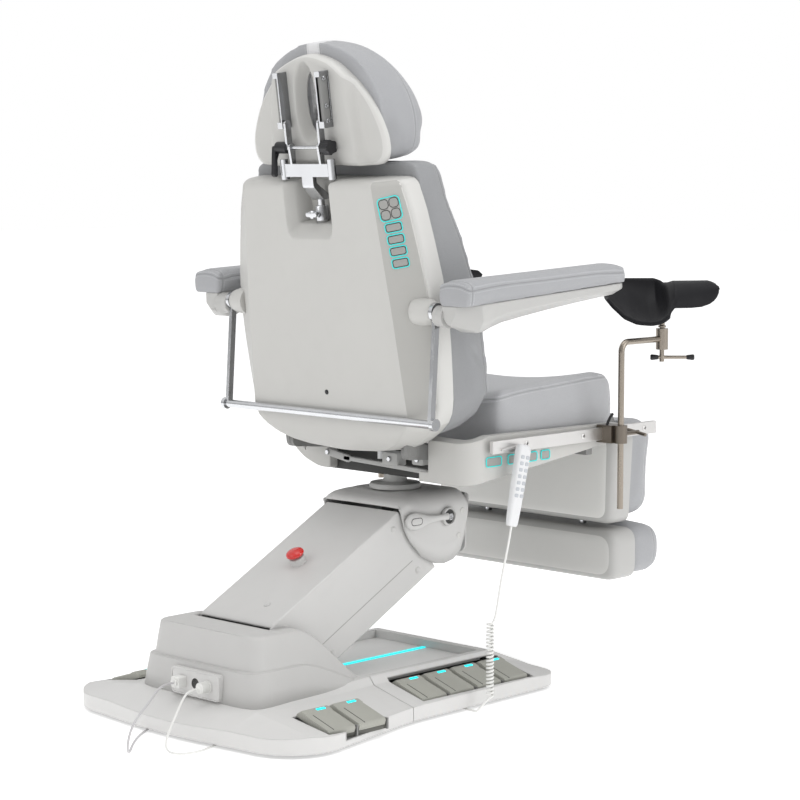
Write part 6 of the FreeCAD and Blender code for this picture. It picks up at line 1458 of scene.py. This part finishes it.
@dataclass
class BackShell:
    """The back's shell: a flat rear, bevelled sides, a round rim and a notch for the headrest post."""

    front: float = 48.0
    rear: float = 138.0
    rim: float = 9.0
    bevel_start: float = 1.5
    bevel_gap: float = 10.5
    bevel_rear: float = 137.2
    bevel_fall: float = 41.2
    notch_slope: float = 26.0
    notch_well: float = 40.0
    collar: Table = ((30, 0), (30, 16), (28.5, 28), (25.5, 40), (22.5, 47), (20, 49.5), (12, 49.5))
    edge: Table = (
        (-12, 60), (-10, 104), (-5, 150), (5, 190), (20, 222), (40, 252), (60, 274), (80, 286), (105, 293),
        (150, 297), (230, 302), (311, 303.5), (380, 296), (450, 284), (520, 270), (545, 263), (560, 258),
        (575, 254), (583, 247), (588, 238), (590, 226))
    flat: Table = (
        (-12, 18), (-5, 104), (5, 146), (20, 178), (40, 206), (60, 228), (80, 238), (311, 221), (450, 208),
        (545, 199), (572, 197), (590, 193))
    notch: Quad = (53.0, 70.0, 500.0, 465.0)
    keys_at: Tuple[float, ...] = (491.4, 466.5, 441.6, 416.7)
    group_at: float = 530.5

    def build(self) -> None:
        """Make the shell, its collars and plug, and the touch keys."""
        self.shell()
        self.fittings()
        self.keys()

    def row(self, h: float) -> List[Point]:
        """Half of one row of the shell, from the middle of its rear to the front of its side."""
        edge, flat = self.sides(h)
        scale = min(1.0, flat / 150.0)
        inner = [x * scale for x in (0, 12, 24, 36, 44, 49, 53, 56, 59, 62, 65, 68, 71, 75, 84, 100, 120)]
        spots = [(x, self.rear) for x in inner]
        rest = flat - self.bevel_start - inner[-1]
        spots += [(inner[-1] + rest * share, self.rear) for share in (0.35, 0.7, 1.0)]
        spots += [self.bevel(flat, edge, share) for share in (0.0, 0.04, 0.2, 0.4, 0.6, 0.8, 0.97, 1.0)]
        spots += [(edge - 8.6, 93.0), (edge - 4.5, 91.5), (edge - 2, 88), (edge - 0.6, 83), (edge, 77),
                  (edge, 60), (edge - 1, self.front), (max(edge - 60, 20), self.front)]
        low = 0.45 * max(0.0, (60.0 - h) / 72.0) ** 2
        high = 0.3 * (1 - math.sqrt(max(0.0, 1 - max(0.0, (h - 576.0) / 14.0) ** 2)))
        row = []
        for x, d in spots:
            d -= self.notch_depth(x, h)
            row.append((x, self.front + (d - self.front) * (1 - low - high), h))
        return row

    def sides(self, h: float) -> Spot:
        """Half widths at a height: of the whole shell and of its flat rear."""
        return along_curve(h, self.edge), along_curve(h, self.flat)

    def bevel(self, flat: float, edge: float, share: float) -> Spot:
        """A place on the bevel, from the flat rear to the rim."""
        across = flat + self.bevel_start + (edge - self.bevel_gap - flat) * share
        return across, self.bevel_rear - self.bevel_fall * share

    def notch_depth(self, x: float, h: float) -> float:
        """How far the notch sinks in at a place of the rear face."""
        half, outer_half, floor, outer_floor = self.notch
        side = max(0.0, (x - half) / (outer_half - half))
        foot = max(0.0, (floor - h) / (floor - outer_floor))
        out = math.hypot(side, foot)
        slope = self.notch_slope * (1 - clamp((out - 0.2) / 0.8))
        return slope + self.notch_well * (1 - smooth_step(0.0, 0.18, out))

    def shell(self) -> None:
        """Skin the rows of the shell."""
        heights = [-12, -10.5, -8, -5, -1, 5, 12, 20, 30, 40, 50, 60, 70] + spread(80, 440, 24)
        heights += [452] + spread(460, 506, 26)
        heights += [512, 520, 532, 545, 553, 560, 566, 572, 577, 581, 584.5, 587, 589, 590]
        half_rows = [self.row(h) for h in heights]
        rows = [[(-x, d, h) for x, d, h in reversed(row[1:])] + row for row in half_rows]
        first = [(x, self.front, h) for x, d, h in rows[0]]
        last = [(x, self.front, h) for x, d, h in rows[-1]]
        shell = Maker(BACK)
        shell.loft([first] + rows + [last], capped=False, wrap=False)
        # The right-hand bevel's faces get painted shade, the rims the painted-light copy of the shell.
        for face, middle in shell.middles():
            edge, flat = self.sides(middle.z)
            if 80 < middle.z < 587 and flat + self.bevel_start < -middle.x < edge - self.rim:
                face.material_index = 1
            elif 60 < middle.z < 586 and abs(middle.x) > edge - self.rim:
                face.material_index = 2
        shell.weld()
        shell.piece("back_moulding", Look.WARM, "back", "shell", ["back_shell"],
                    extra=[Look.SHADED_BEVEL, Look.LIT_SHELL])

    def fittings(self) -> None:
        """Add the collars of the armrest tube, the rear plug and the socket's wing screw."""
        collars = Maker(BACK)
        for side in SIDES:
            collars.lathe(self.collar, side_face(side, 262, 98, 311))
        collars.piece("armrest_collars", Look.WARM, "back", "shell")
        Maker(BACK).lathe(((5.5, -1), (5.5, 0.6), (4.5, 1.4), (0, 1.5)), rear_face(0, 138, 127)).piece(
            "back_plug", Look.BLACK, "back", "black")
        screw = Maker(BACK)
        screw.lathe(((15, 500), (15, 530), (13.5, 532), (9, 532)), at(0, 95, 0))
        screw.lathe(((5, 14), (5, 26), (9, 26.5), (9, 33), (7, 34.5), (0, 34.5)),
                    rear_face(0, 95, 516))
        screw.pillow(rear_face(0, 127, 516), 34, 11, 5, -2, 3, 1.5)
        screw.piece("post_socket", Look.CHROME, "back", "chrome")

    def spot(self, h: float) -> Matrix:
        """Frame on the right-hand bevel at a height, with Z out of the shell."""
        places = []
        for level in (h - 10, h, h + 10):
            edge, flat = self.sides(level)
            x, d = self.bevel(flat, edge, 0.47)
            places.append(Vector((-x, d, level)))
        edge, flat = self.sides(h)
        across = Vector((-(edge - self.bevel_gap - flat), -self.bevel_fall, 0.0))
        up = places[2] - places[0]
        return facing(places[1], across.cross(up), up)

    def keys(self) -> None:
        """Set the touch keys on the bevel, each with a lit rim and painted shade in the gap around it."""
        keys, rims, lines = Maker(BACK), Maker(BACK), Maker(BACK)
        group = self.spot(self.group_at)
        rims.ring(group @ at(0, 0, 1.0), 47, 49, 9, 1.0)
        for column in SIDES:
            for row in SIDES:
                keys.pillow(group @ at(column * 11.0, row * 11.4, 0), 18, 18.5, 7, -0.5, 2.0, 0.9)
                # painted shade in the gap around each key
                lines.ring(group @ at(column * 11.0, row * 11.4, 0.9), 19.4, 20, 7.5, 0.6)
        for h in self.keys_at:
            rims.ring(self.spot(h) @ at(0, 0, 0.8), 37, 20, 5.5, 0.95)
            keys.pillow(self.spot(h), 31, 14, 4, -0.5, 2.0, 0.9)
            lines.ring(self.spot(h) @ at(0, 0, 0.9), 32.4, 15.4, 4.5, 0.6)
        keys.piece("back_touch_keys", Look.KEY, "back", "key", ["back_keys"])
        rims.piece("back_key_rims", Look.RIM, "back", "light")
        lines.piece("back_key_gap_shade", Look.SHADE_AND_DARK, "back", "black")


@dataclass
class HeadShell:
    """The headrest's bell-shaped moulding with an oval recess and side scoops, and its rails' fittings."""

    half: Table = (
        (617, 175), (621, 187), (630, 198), (646, 205), (675, 204), (700, 196), (722, 186), (751, 169),
        (780, 145), (809, 112), (833, 80), (846, 50), (853, 25), (856, 4))
    rear: float = 104.0
    split: float = 72.0
    centre: float = 735.0
    recess: Quad = (28.0, 75.0, 753.0, 38.0)
    recess_x: float = 6.0
    roll: float = 24.0
    scoop: float = 15.0
    scoop_roll: float = 9.0
    rim_share: float = 0.945
    rail_at: Spot = (62.0, 118.0)
    bolt: Table = ((5.5, 6), (5.5, 10.6), (4.6, 11.4), (2.6, 11.4), (2.4, 10.0), (0, 10.0))
    around: int = 144

    def build(self) -> None:
        """Skin the bowl ring by ring from its middle to its rim, then fit the rails."""
        angles, reach = self.outline()
        turns = circle(self.around)
        edges = [float(np.interp(turn, angles, reach, period=FULL_TURN)) for turn in turns]
        shares = [0.01] + spread(0.03, 0.97, 60) + [0.98, 0.988, 0.994, 0.998, 1.0]
        rings = []
        for share in shares:
            spots = [(edge * share * math.cos(turn), self.centre + edge * share * math.sin(turn))
                     for turn, edge in zip(turns, edges)]
            rings.append([self.place(x, h, share, turn) for (x, h), turn in zip(spots, turns)])
        rings.append([(x * 0.997, self.split, h) for x, d, h in rings[-1]])
        bowl = Maker(BACK)
        bowl.loft(rings)
        # The rim's faces get the painted-light copy of the shell.
        rim = self.around * sum(share < self.rim_share for share in shares)
        for number, face in enumerate(bowl.bm.faces):
            face.material_index = int(rim <= number < self.around * len(shares))
        bowl.piece("headrest_moulding", Look.WARM, "headrest", "shell", ["headrest_shell"], extra=[Look.LIT_SHELL])
        self.rails()

    def rails(self) -> None:
        """Fill the rails' channels and set bolts in their sides."""
        inserts, bolts = Maker(BACK), Maker(BACK)
        for side in SIDES:
            channel = side_face(side, *self.rail_at, 762)
            inserts.pillow(channel, 20, 112, 2, 0.5, 8.0, 0.6)
            for h in (716, 748, 806):
                bolts.lathe(self.bolt, side_face(side, *self.rail_at, h), 20)
        inserts.piece("rail_inserts", Look.STEEL, "headrest", "frame_grey")
        bolts.piece("rail_bolts", Look.CHROME, "headrest", "chrome")

    def outline(self) -> Tuple[List[float], List[float]]:
        """Angles and distances of the rim about the middle."""
        points = [(side * half, h) for h, half in self.half for side in SIDES]
        points += [(x, self.half[0][0]) for x in spread(-168, 168, 21)]
        pairs = sorted((math.atan2(h - self.centre, x) % FULL_TURN, math.hypot(x, h - self.centre))
                       for x, h in points)
        return [turn for turn, reach in pairs], [reach for turn, reach in pairs]

    def place(self, x: float, h: float, share: float, turn: float) -> Point:
        """A point of the bowl's rear face."""
        side = smooth_step(0.45, 0.8, abs(math.cos(turn)))
        plain = self.roll * self.rolled((share - 0.87) / 0.13)
        start = 126.0 - 0.14 * (h - 640.0)
        scoop = self.scoop * smooth_step(start, start + 24.0, abs(x))
        scoop += self.scoop_roll * self.rolled((share - 0.92) / 0.08)
        wide, tall, middle, deep = self.recess
        inside = math.hypot((x - self.recess_x) / wide, (h - middle) / tall)
        depth = self.rear - (plain * (1 - side) + scoop * side)
        return (x, depth - deep * smooth_step(1.24, 0.8, inside), h)

    @staticmethod
    def rolled(share: float) -> float:
        """Fall of a rolled edge, from 0 to 1 over its width."""
        share = clamp(share)
        return 1.0 - math.sqrt(1.0 - share * share)


# Armrests


@dataclass
class Armrest:
    """One armrest body: deep and bevelled at its rear, tapering to the front."""

    name: str
    side: int
    stations: Tuple[Quad, ...] = (
        (20, -23, 350, 388), (-24, -41, 344, 426), (-44, -40, 344, 426), (-64, -34, 344, 426),
        (-100, -26, 344, 426), (-170, -19, 344, 426), (-250, -12, 344, 426), (-350, -5, 344, 426),
        (-470, 2, 344, 426), (-488, 5, 347, 421), (-496, 9, 354, 412))

    def build(self) -> None:
        """Skin the body's sections and add the neck on the tube."""
        body = Maker(REST)
        body.loft([self.section(*station) for station in self.stations])
        body.piece(f"armrest_moulding_{self.name}", Look.PALE, f"armrest_{self.name}", "shell",
                   [f"armrest_body_{self.name}"], bevel=3.0)
        neck = Maker(REST)
        neck.lathe(((11.4, 0), (20, 0), (22, 2), (22, 18), (25, 24), (25, 32)),
                   side_face(self.side, 321.6, 0, -7))
        neck.piece(f"armrest_neck_{self.name}", Look.PALE, f"armrest_{self.name}", "shell")

    def section(self, y: float, low: float, inner: float, outer: float) -> List[Point]:
        """Cross-section of the body with bevelled lower edges."""
        top = 17 + 10 * min(1.0, (20 - y) / 516)
        knee = low + (top - low) * 0.42
        points = ((inner, top), (outer, top), (outer, knee), (outer - 13, low + 3), (outer - 19, low),
                  (inner + 19, low), (inner + 13, low + 3), (inner, knee))
        return [(self.side * x, y, z) for x, z in points]


# Stirrups


@dataclass
class Cradle:
    """One leg cradle: a bowl open towards the seat, with a wing on its outer side, on a pin with a tee."""

    name: str
    pin_at: Spot
    across: Spot
    near: Spot
    top: Table = (
        (-72, 905), (-60, 913), (-33, 915), (44, 915), (58, 910), (64, 906), (72, 907), (82, 911),
        (164, 912.6), (176, 906), (182, 890))
    lip: Table = (
        (-72, 876), (-60, 861), (-35, 837), (-10, 826), (0, 824.5), (23, 823), (40, 826), (51, 831),
        (60, 838), (68, 844), (74, 850), (79, 855), (120, 854), (140, 855), (160, 861), (171, 868.6),
        (178, 877), (182, 887))
    pull: Table = (
        (-72, 880), (-18, 862), (10, 845), (30, 837), (47, 846), (58, 868), (66, 903), (80, 920), (182, 914))
    top_in: Table = ((-72, -75), (47, -82), (64, -60), (80, -35), (182, -25))
    pull_in: Table = ((-72, -70), (47, -70), (58, -40), (68, 20), (80, 42), (182, 30))
    lip_in: Table = ((-72, 60), (-35, 85), (40, 88), (60, 84), (78, 60), (120, 46), (182, 20))
    shift: float = 56.0
    tee: float = 738.0
    pin: Table = ((5.5, 728), (5.5, 806), (9, 806.5), (9, 810), (6, 812), (6, 832))
    tip: Table = ((4.6, 0), (5.4, 3), (6.6, 13), (6.6, 16), (5.2, 18), (0, 18.3))

    def build(self) -> None:
        """Make the bowl, the pin and the tee handle."""
        place = Matrix(((self.across[0], self.near[0], 0, self.pin_at[0]),
                        (self.across[1], self.near[1], 0, self.pin_at[1]), (0, 0, 1, 0), (0, 0, 0, 1)))
        bowl = Maker(DRAWING @ place)
        columns = spread(-72, 50, 30) + spread(53, 86, 16) + spread(92, 168, 12)
        columns += [171, 174, 176.5, 179, 181, 182]
        bowl.loft([self.column(u) for u in columns], capped=False, wrap=False)
        body = f"cradle_{self.name}"
        bowl.piece(body + "_bowl", Look.CRADLE, body, "cradle", [f"stirrup_cradle_{self.name}"], thick=8.0)
        pin = Maker(DRAWING @ place)
        pin.lathe(self.pin, Matrix.Identity(4), 24)
        pin.tube(((-24, 0, self.tee), (72, 0, self.tee)), 4.0, 16)
        pin.piece(body + "_pin", Look.NICKEL, body, "nickel")
        tips = Maker(DRAWING @ place)
        for start, way in ((-8, -1), (56, 1)):
            tips.lathe(self.tip, facing((start, 0, self.tee), (way, 0, 0), UP), 24)
        tips.piece(body + "_tips", Look.BLACK, body, "black")

    def column(self, u: float) -> List[Point]:
        """One line of the bowl, from its far rim to its near lip."""
        start, middle, end = ((along_curve(u, across), along_curve(u, height)) for across, height in (
            (self.top_in, self.top), (self.pull_in, self.pull), (self.lip_in, self.lip)))
        points = []
        for t in spread(0.0, 1.0, 22):
            first, second, third = (1 - t) ** 2, 2 * t * (1 - t), t * t
            points.append((u - self.shift, first * start[0] + second * middle[0] + third * end[0],
                           first * start[1] + second * middle[1] + third * end[1]))
        return points


# Seat and handset


@dataclass
class SeatUnit:
    """Fittings of the seat: screws, lit key rims, the linkage below it and the rail clamps' levers."""

    keys: Table = ((28, 46), (-32, 26), (-92, 40), (-142, 26))
    rail_x: float = 342.0
    rail_z: float = 573.0
    screws_at: Triple = (-58, -250, -470)

    def build(self) -> None:
        """Make the screws and the rims, then what hangs below and on the rails."""
        screws, slots = Maker(), Maker()
        for side in SIDES:
            for y in self.screws_at:
                self.screw(screws, slots, side_face(side, self.rail_x, y, self.rail_z), 6.0)
        screws.piece("seat_screws", Look.SATIN, "seat", "satin")
        slots.piece("seat_screw_slot_shade", Look.SHADE_AND_DARK, "seat", "black")
        rims = Maker()
        for y, wide in self.keys:
            rims.ring(side_face(-1, 324, y, 540), wide + 3, 20, 5, 1.1)
        rims.piece("seat_key_rims", Look.RIM, "seat", "light")
        self.underside()
        self.clamp_levers()

    def underside(self) -> None:
        """Hang the pan, the inner cover and the tilt linkage under the seat."""
        rear = rear_face(0, 50, 0)
        cover = Maker()
        outline = ((-314, 562), (-256, 505), (-196, 485), (-160, 485), (-160, 560))
        cover.prism(round_poly(outline, (6, 30, 20, 4, 4)), rear, -60, 0, 1.5)
        cover.piece("seat_inner_cover", Look.WARM, "seat", "shell")
        Maker().pillow(rear_face(0, 30, 512), 430, 62, 8, -150, -4, 3).piece(
            "seat_pan", Look.SHADE_AND_DARK, "seat", "black")
        links = Maker()
        for first, last, half in (((160, 522), (96, 512), 8), ((104, 513), (-144, 504), 5)):
            way = Vector((last[0] - first[0], 0, last[1] - first[1]))
            middle = ((first[0] + last[0]) / 2, 54, (first[1] + last[1]) / 2)
            place = facing(middle, (0, 1, 0), way.cross((0, 1, 0)))
            links.pillow(place, way.length + 2 * half, 2 * half, half, -4, 3, 1)
        links.pillow(rear_face(-42, 52, 524), 46, 30, 5, -20, 10, 2)
        links.pillow(rear_face(-120, 52, 536), 34, 40, 5, -20, 2, 2)
        links.piece("tilt_links", Look.COLUMN, "seat", "frame_grey")
        bolts = Maker()
        for x, z, level in ((160, 522, 57), (-42, 524, 62), (-120, 528, 54), (-120, 546, 54)):
            bolts.lathe(((6.5, -2), (6.5, 3), (5.4, 4), (0, 4)), rear_face(x, level, z), 6)
        bolts.piece("tilt_bolts", Look.CHROME, "seat", "chrome")
        Maker().lathe(((9, 520), (9, 548)), at(0, 44, 0), 24).piece(
            "tilt_post", Look.WHITE, "seat", "shell")
        screw, slot = Maker(), Maker()
        self.screw(screw, slot, rear_face(-195, 102, 580), 5.0)
        screw.piece("cover_screw", Look.SATIN, "seat", "satin")
        slot.piece("cover_screw_slot_shade", Look.SHADE_AND_DARK, "seat", "black")

    def clamp_levers(self) -> None:
        """Add the rail clamps' black levers and painted shade in the slots of their outer jaws."""
        levers, slots = Maker(), Maker()
        for side in SIDES:
            levers.tube(((side * 350, -322, 590), (side * 351, -326, 600), (side * 352, -332, 610),
                         (side * 352, -341, 617)), 3.2, 10)
            for y in (-328, -348):
                slots.pillow(side_face(side, 368, y, self.rail_z), 4, 24, 1.5, -2, 0.3, 0.2)
        levers.piece("clamp_levers", Look.BLACK, "seat", "black")
        slots.piece("clamp_slot_shade", Look.SHADE_AND_DARK, "seat", "black")

    @staticmethod
    def screw(heads: Maker, slots: Maker, place: Matrix, radius: float) -> None:
        """Turn one domed screw head, with painted shade in its cross slot."""
        heads.lathe(((radius, -0.5), (radius, 0.8), (radius * 0.8, 1.6), (0, 1.9)), place, 24)
        for turn in (0.4, 0.4 + QUARTER_TURN):
            slot = place @ Matrix.Rotation(turn, 4, "Z")
            slots.pillow(slot, radius * 1.1, radius * 0.28, 0.3, 1.0, 2.0, 0.1)


@dataclass
class LegUnit:
    """The leg and foot sections' shells with rolled rear rims, and the rods and ears that carry them."""

    roll: Table = ((0, 30), (0.6, 22), (2.6, 14), (6.5, 7.5), (12, 3), (20, 0.6), (30, 0))
    leg: Quad = (284.0, 272.0, 562.0, 343.0)
    foot: Quad = (290.0, 290.0, 331.0, 212.0)
    rim: float = 4.0
    slide_at: Spot = (150.0, -483.0)
    slide: Table = ((9, 252), (9, 491), (7, 493))
    ear_in: float = 224.4
    ear: Table = ((-502, 495), (-466, 525), (-455, 585), (-455, 600), (-485, 600), (-502, 565))

    def build(self) -> None:
        """Skin both shells, then add the rods and ears that carry them."""
        self.shell("leg_moulding", "leg", "leg_shell", Look.LIT_LEG, self.leg,
                   rear=-430, front=-502, radius=26, flare=1.6)
        self.shell("foot_moulding", "foot", "foot_shell", Look.LIT_FOOTREST, self.foot,
                   rear=-424, front=-506, radius=36, flare=1.0)
        rods, ears = Maker(), Maker()
        for side in SIDES:
            rods.lathe(self.slide, at(side * self.slide_at[0], self.slide_at[1], 0), 24)
            outline = round_poly([(side * y, z) for y, z in self.ear], (2, 12, 8, 12, 12, 6))
            ears.prism(outline, side_face(side, self.ear_in, 0, 0), 0, 10, 0.5)
        rods.piece("foot_slide_rods", Look.CHROME, "foot", "chrome")
        ears.piece("leg_hinge_ears", Look.STEEL, "leg", "frame_grey")

    def shell(self, name: str, body: str, node: str, look: Look, size: Quad,
              rear: float, front: float, radius: float, flare: float) -> None:
        """Skin one shell from its rear face over the rolled rim to its front.

        Args:
            name: the piece's name.
            body: the body that it rides on.
            node: the CAD node that it stands for.
            look: its finish.
            size: half width at the top and at the bottom, top and bottom level.
            rear: place of its rear face.
            front: place of its front edge.
            radius: radius of its corners.
            flare: how much wider the rolled rim is at the top.
        """
        top_half, low_half, top, low = size
        rings = []
        for back, inset in (*self.roll, (rear - front, 0)):
            corners = ((top_half - inset * flare, top - inset), (inset * flare - top_half, top - inset),
                       (inset - low_half, low + inset), (low_half - inset, low + inset))
            rings.append([(x, rear - back, z) for x, z in round_poly(corners, (radius,) * 4, 8)])
        made = Maker()
        made.loft(rings)
        for face, middle in made.middles():
            face.material_index = int(middle.y < rear - self.rim)
        made.piece(name, look, body, "shell", [node], extra=[Look.SECTION])


@dataclass
class Handset:
    """The hand control that hangs on the rail, with its keys."""

    outer_x: float = -369.3
    y: float = -10.0
    z: float = 488.0
    lean: float = 13.0
    sink: float = 11.0
    key_rows: int = 7
    key_pitch: float = 14.0
    key_top: float = 62.0
    key_x: float = 8.2
    sections: Tuple[Triple, ...] = (
        (-89, 22, 8), (-87.5, 28, 11), (-83, 31, 14), (-60, 33, 16), (0, 35, 18), (45, 37, 19), (74, 38, 19),
        (83, 36, 17), (87.5, 31, 13), (89, 24, 8))

    def build(self) -> None:
        """Skin the body and lay two columns of keys on it."""
        lean = math.radians(self.lean)
        face = facing((self.outer_x, self.y, self.z), (-1, 0, 0), (0, -math.sin(lean), math.cos(lean)))
        body = Maker()
        rings = []
        for place, wide, thick in self.sections:
            outline = round_rect(wide, thick, min(6.0, thick * 0.42))
            rings.append([(x, place, z - self.sink) for x, z in outline])
        body.loft(rings, face)
        body.piece("handset_moulding", Look.WHITE, "seat", "shell", ["handset"], bevel=1.0)
        keys = Maker()
        for row in range(self.key_rows):
            place = self.key_top - row * self.key_pitch
            for column in SIDES:
                spot = face @ at(column * self.key_x, place, -2.2 + 0.012 * place)
                keys.pillow(spot, 11, 8, 2.4, -1.5, 1.0, 0.6)
        keys.piece("handset_keys", Look.SOFT_KEY, "seat", "key")


def dress_nodes() -> None:
    """Give every CAD node that shows its finish."""
    for look, names in NODE_LOOKS.items():
        for name in names:
            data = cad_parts[name].data
            data.materials.clear()
            data.materials.append(look.value.material())


def write_sizes() -> None:
    """Bring the view layer up to date."""
    bpy.context.view_layer.update()


def main() -> None:
    """Build the studio, the cords and then each sub-assembly in order."""
    logging.basicConfig(level=logging.INFO, format="%(message)s")
    Studio().build()
    RearLeads().build()
    HandsetCord().build()
    dress_nodes()
    for cushion in CUSHIONS:
        cushion.build()
    units = [BaseUnit(), LiftUnit(), SeatUnit(), BackShell(), HeadShell(), LegUnit(), Handset()]
    units += [Armrest("left", 1), Armrest("right", -1)]
    units += [Cradle("right", (-378.0, -485.0), (-0.7193, -0.6947), (-0.6947, 0.7193)),
              Cradle("left", (378.0, -485.0), (0.9877, 0.1564), (-0.1564, 0.9877))]
    for unit in units:
        unit.build()
    write_sizes()


if __name__ == "__main__":
    main()
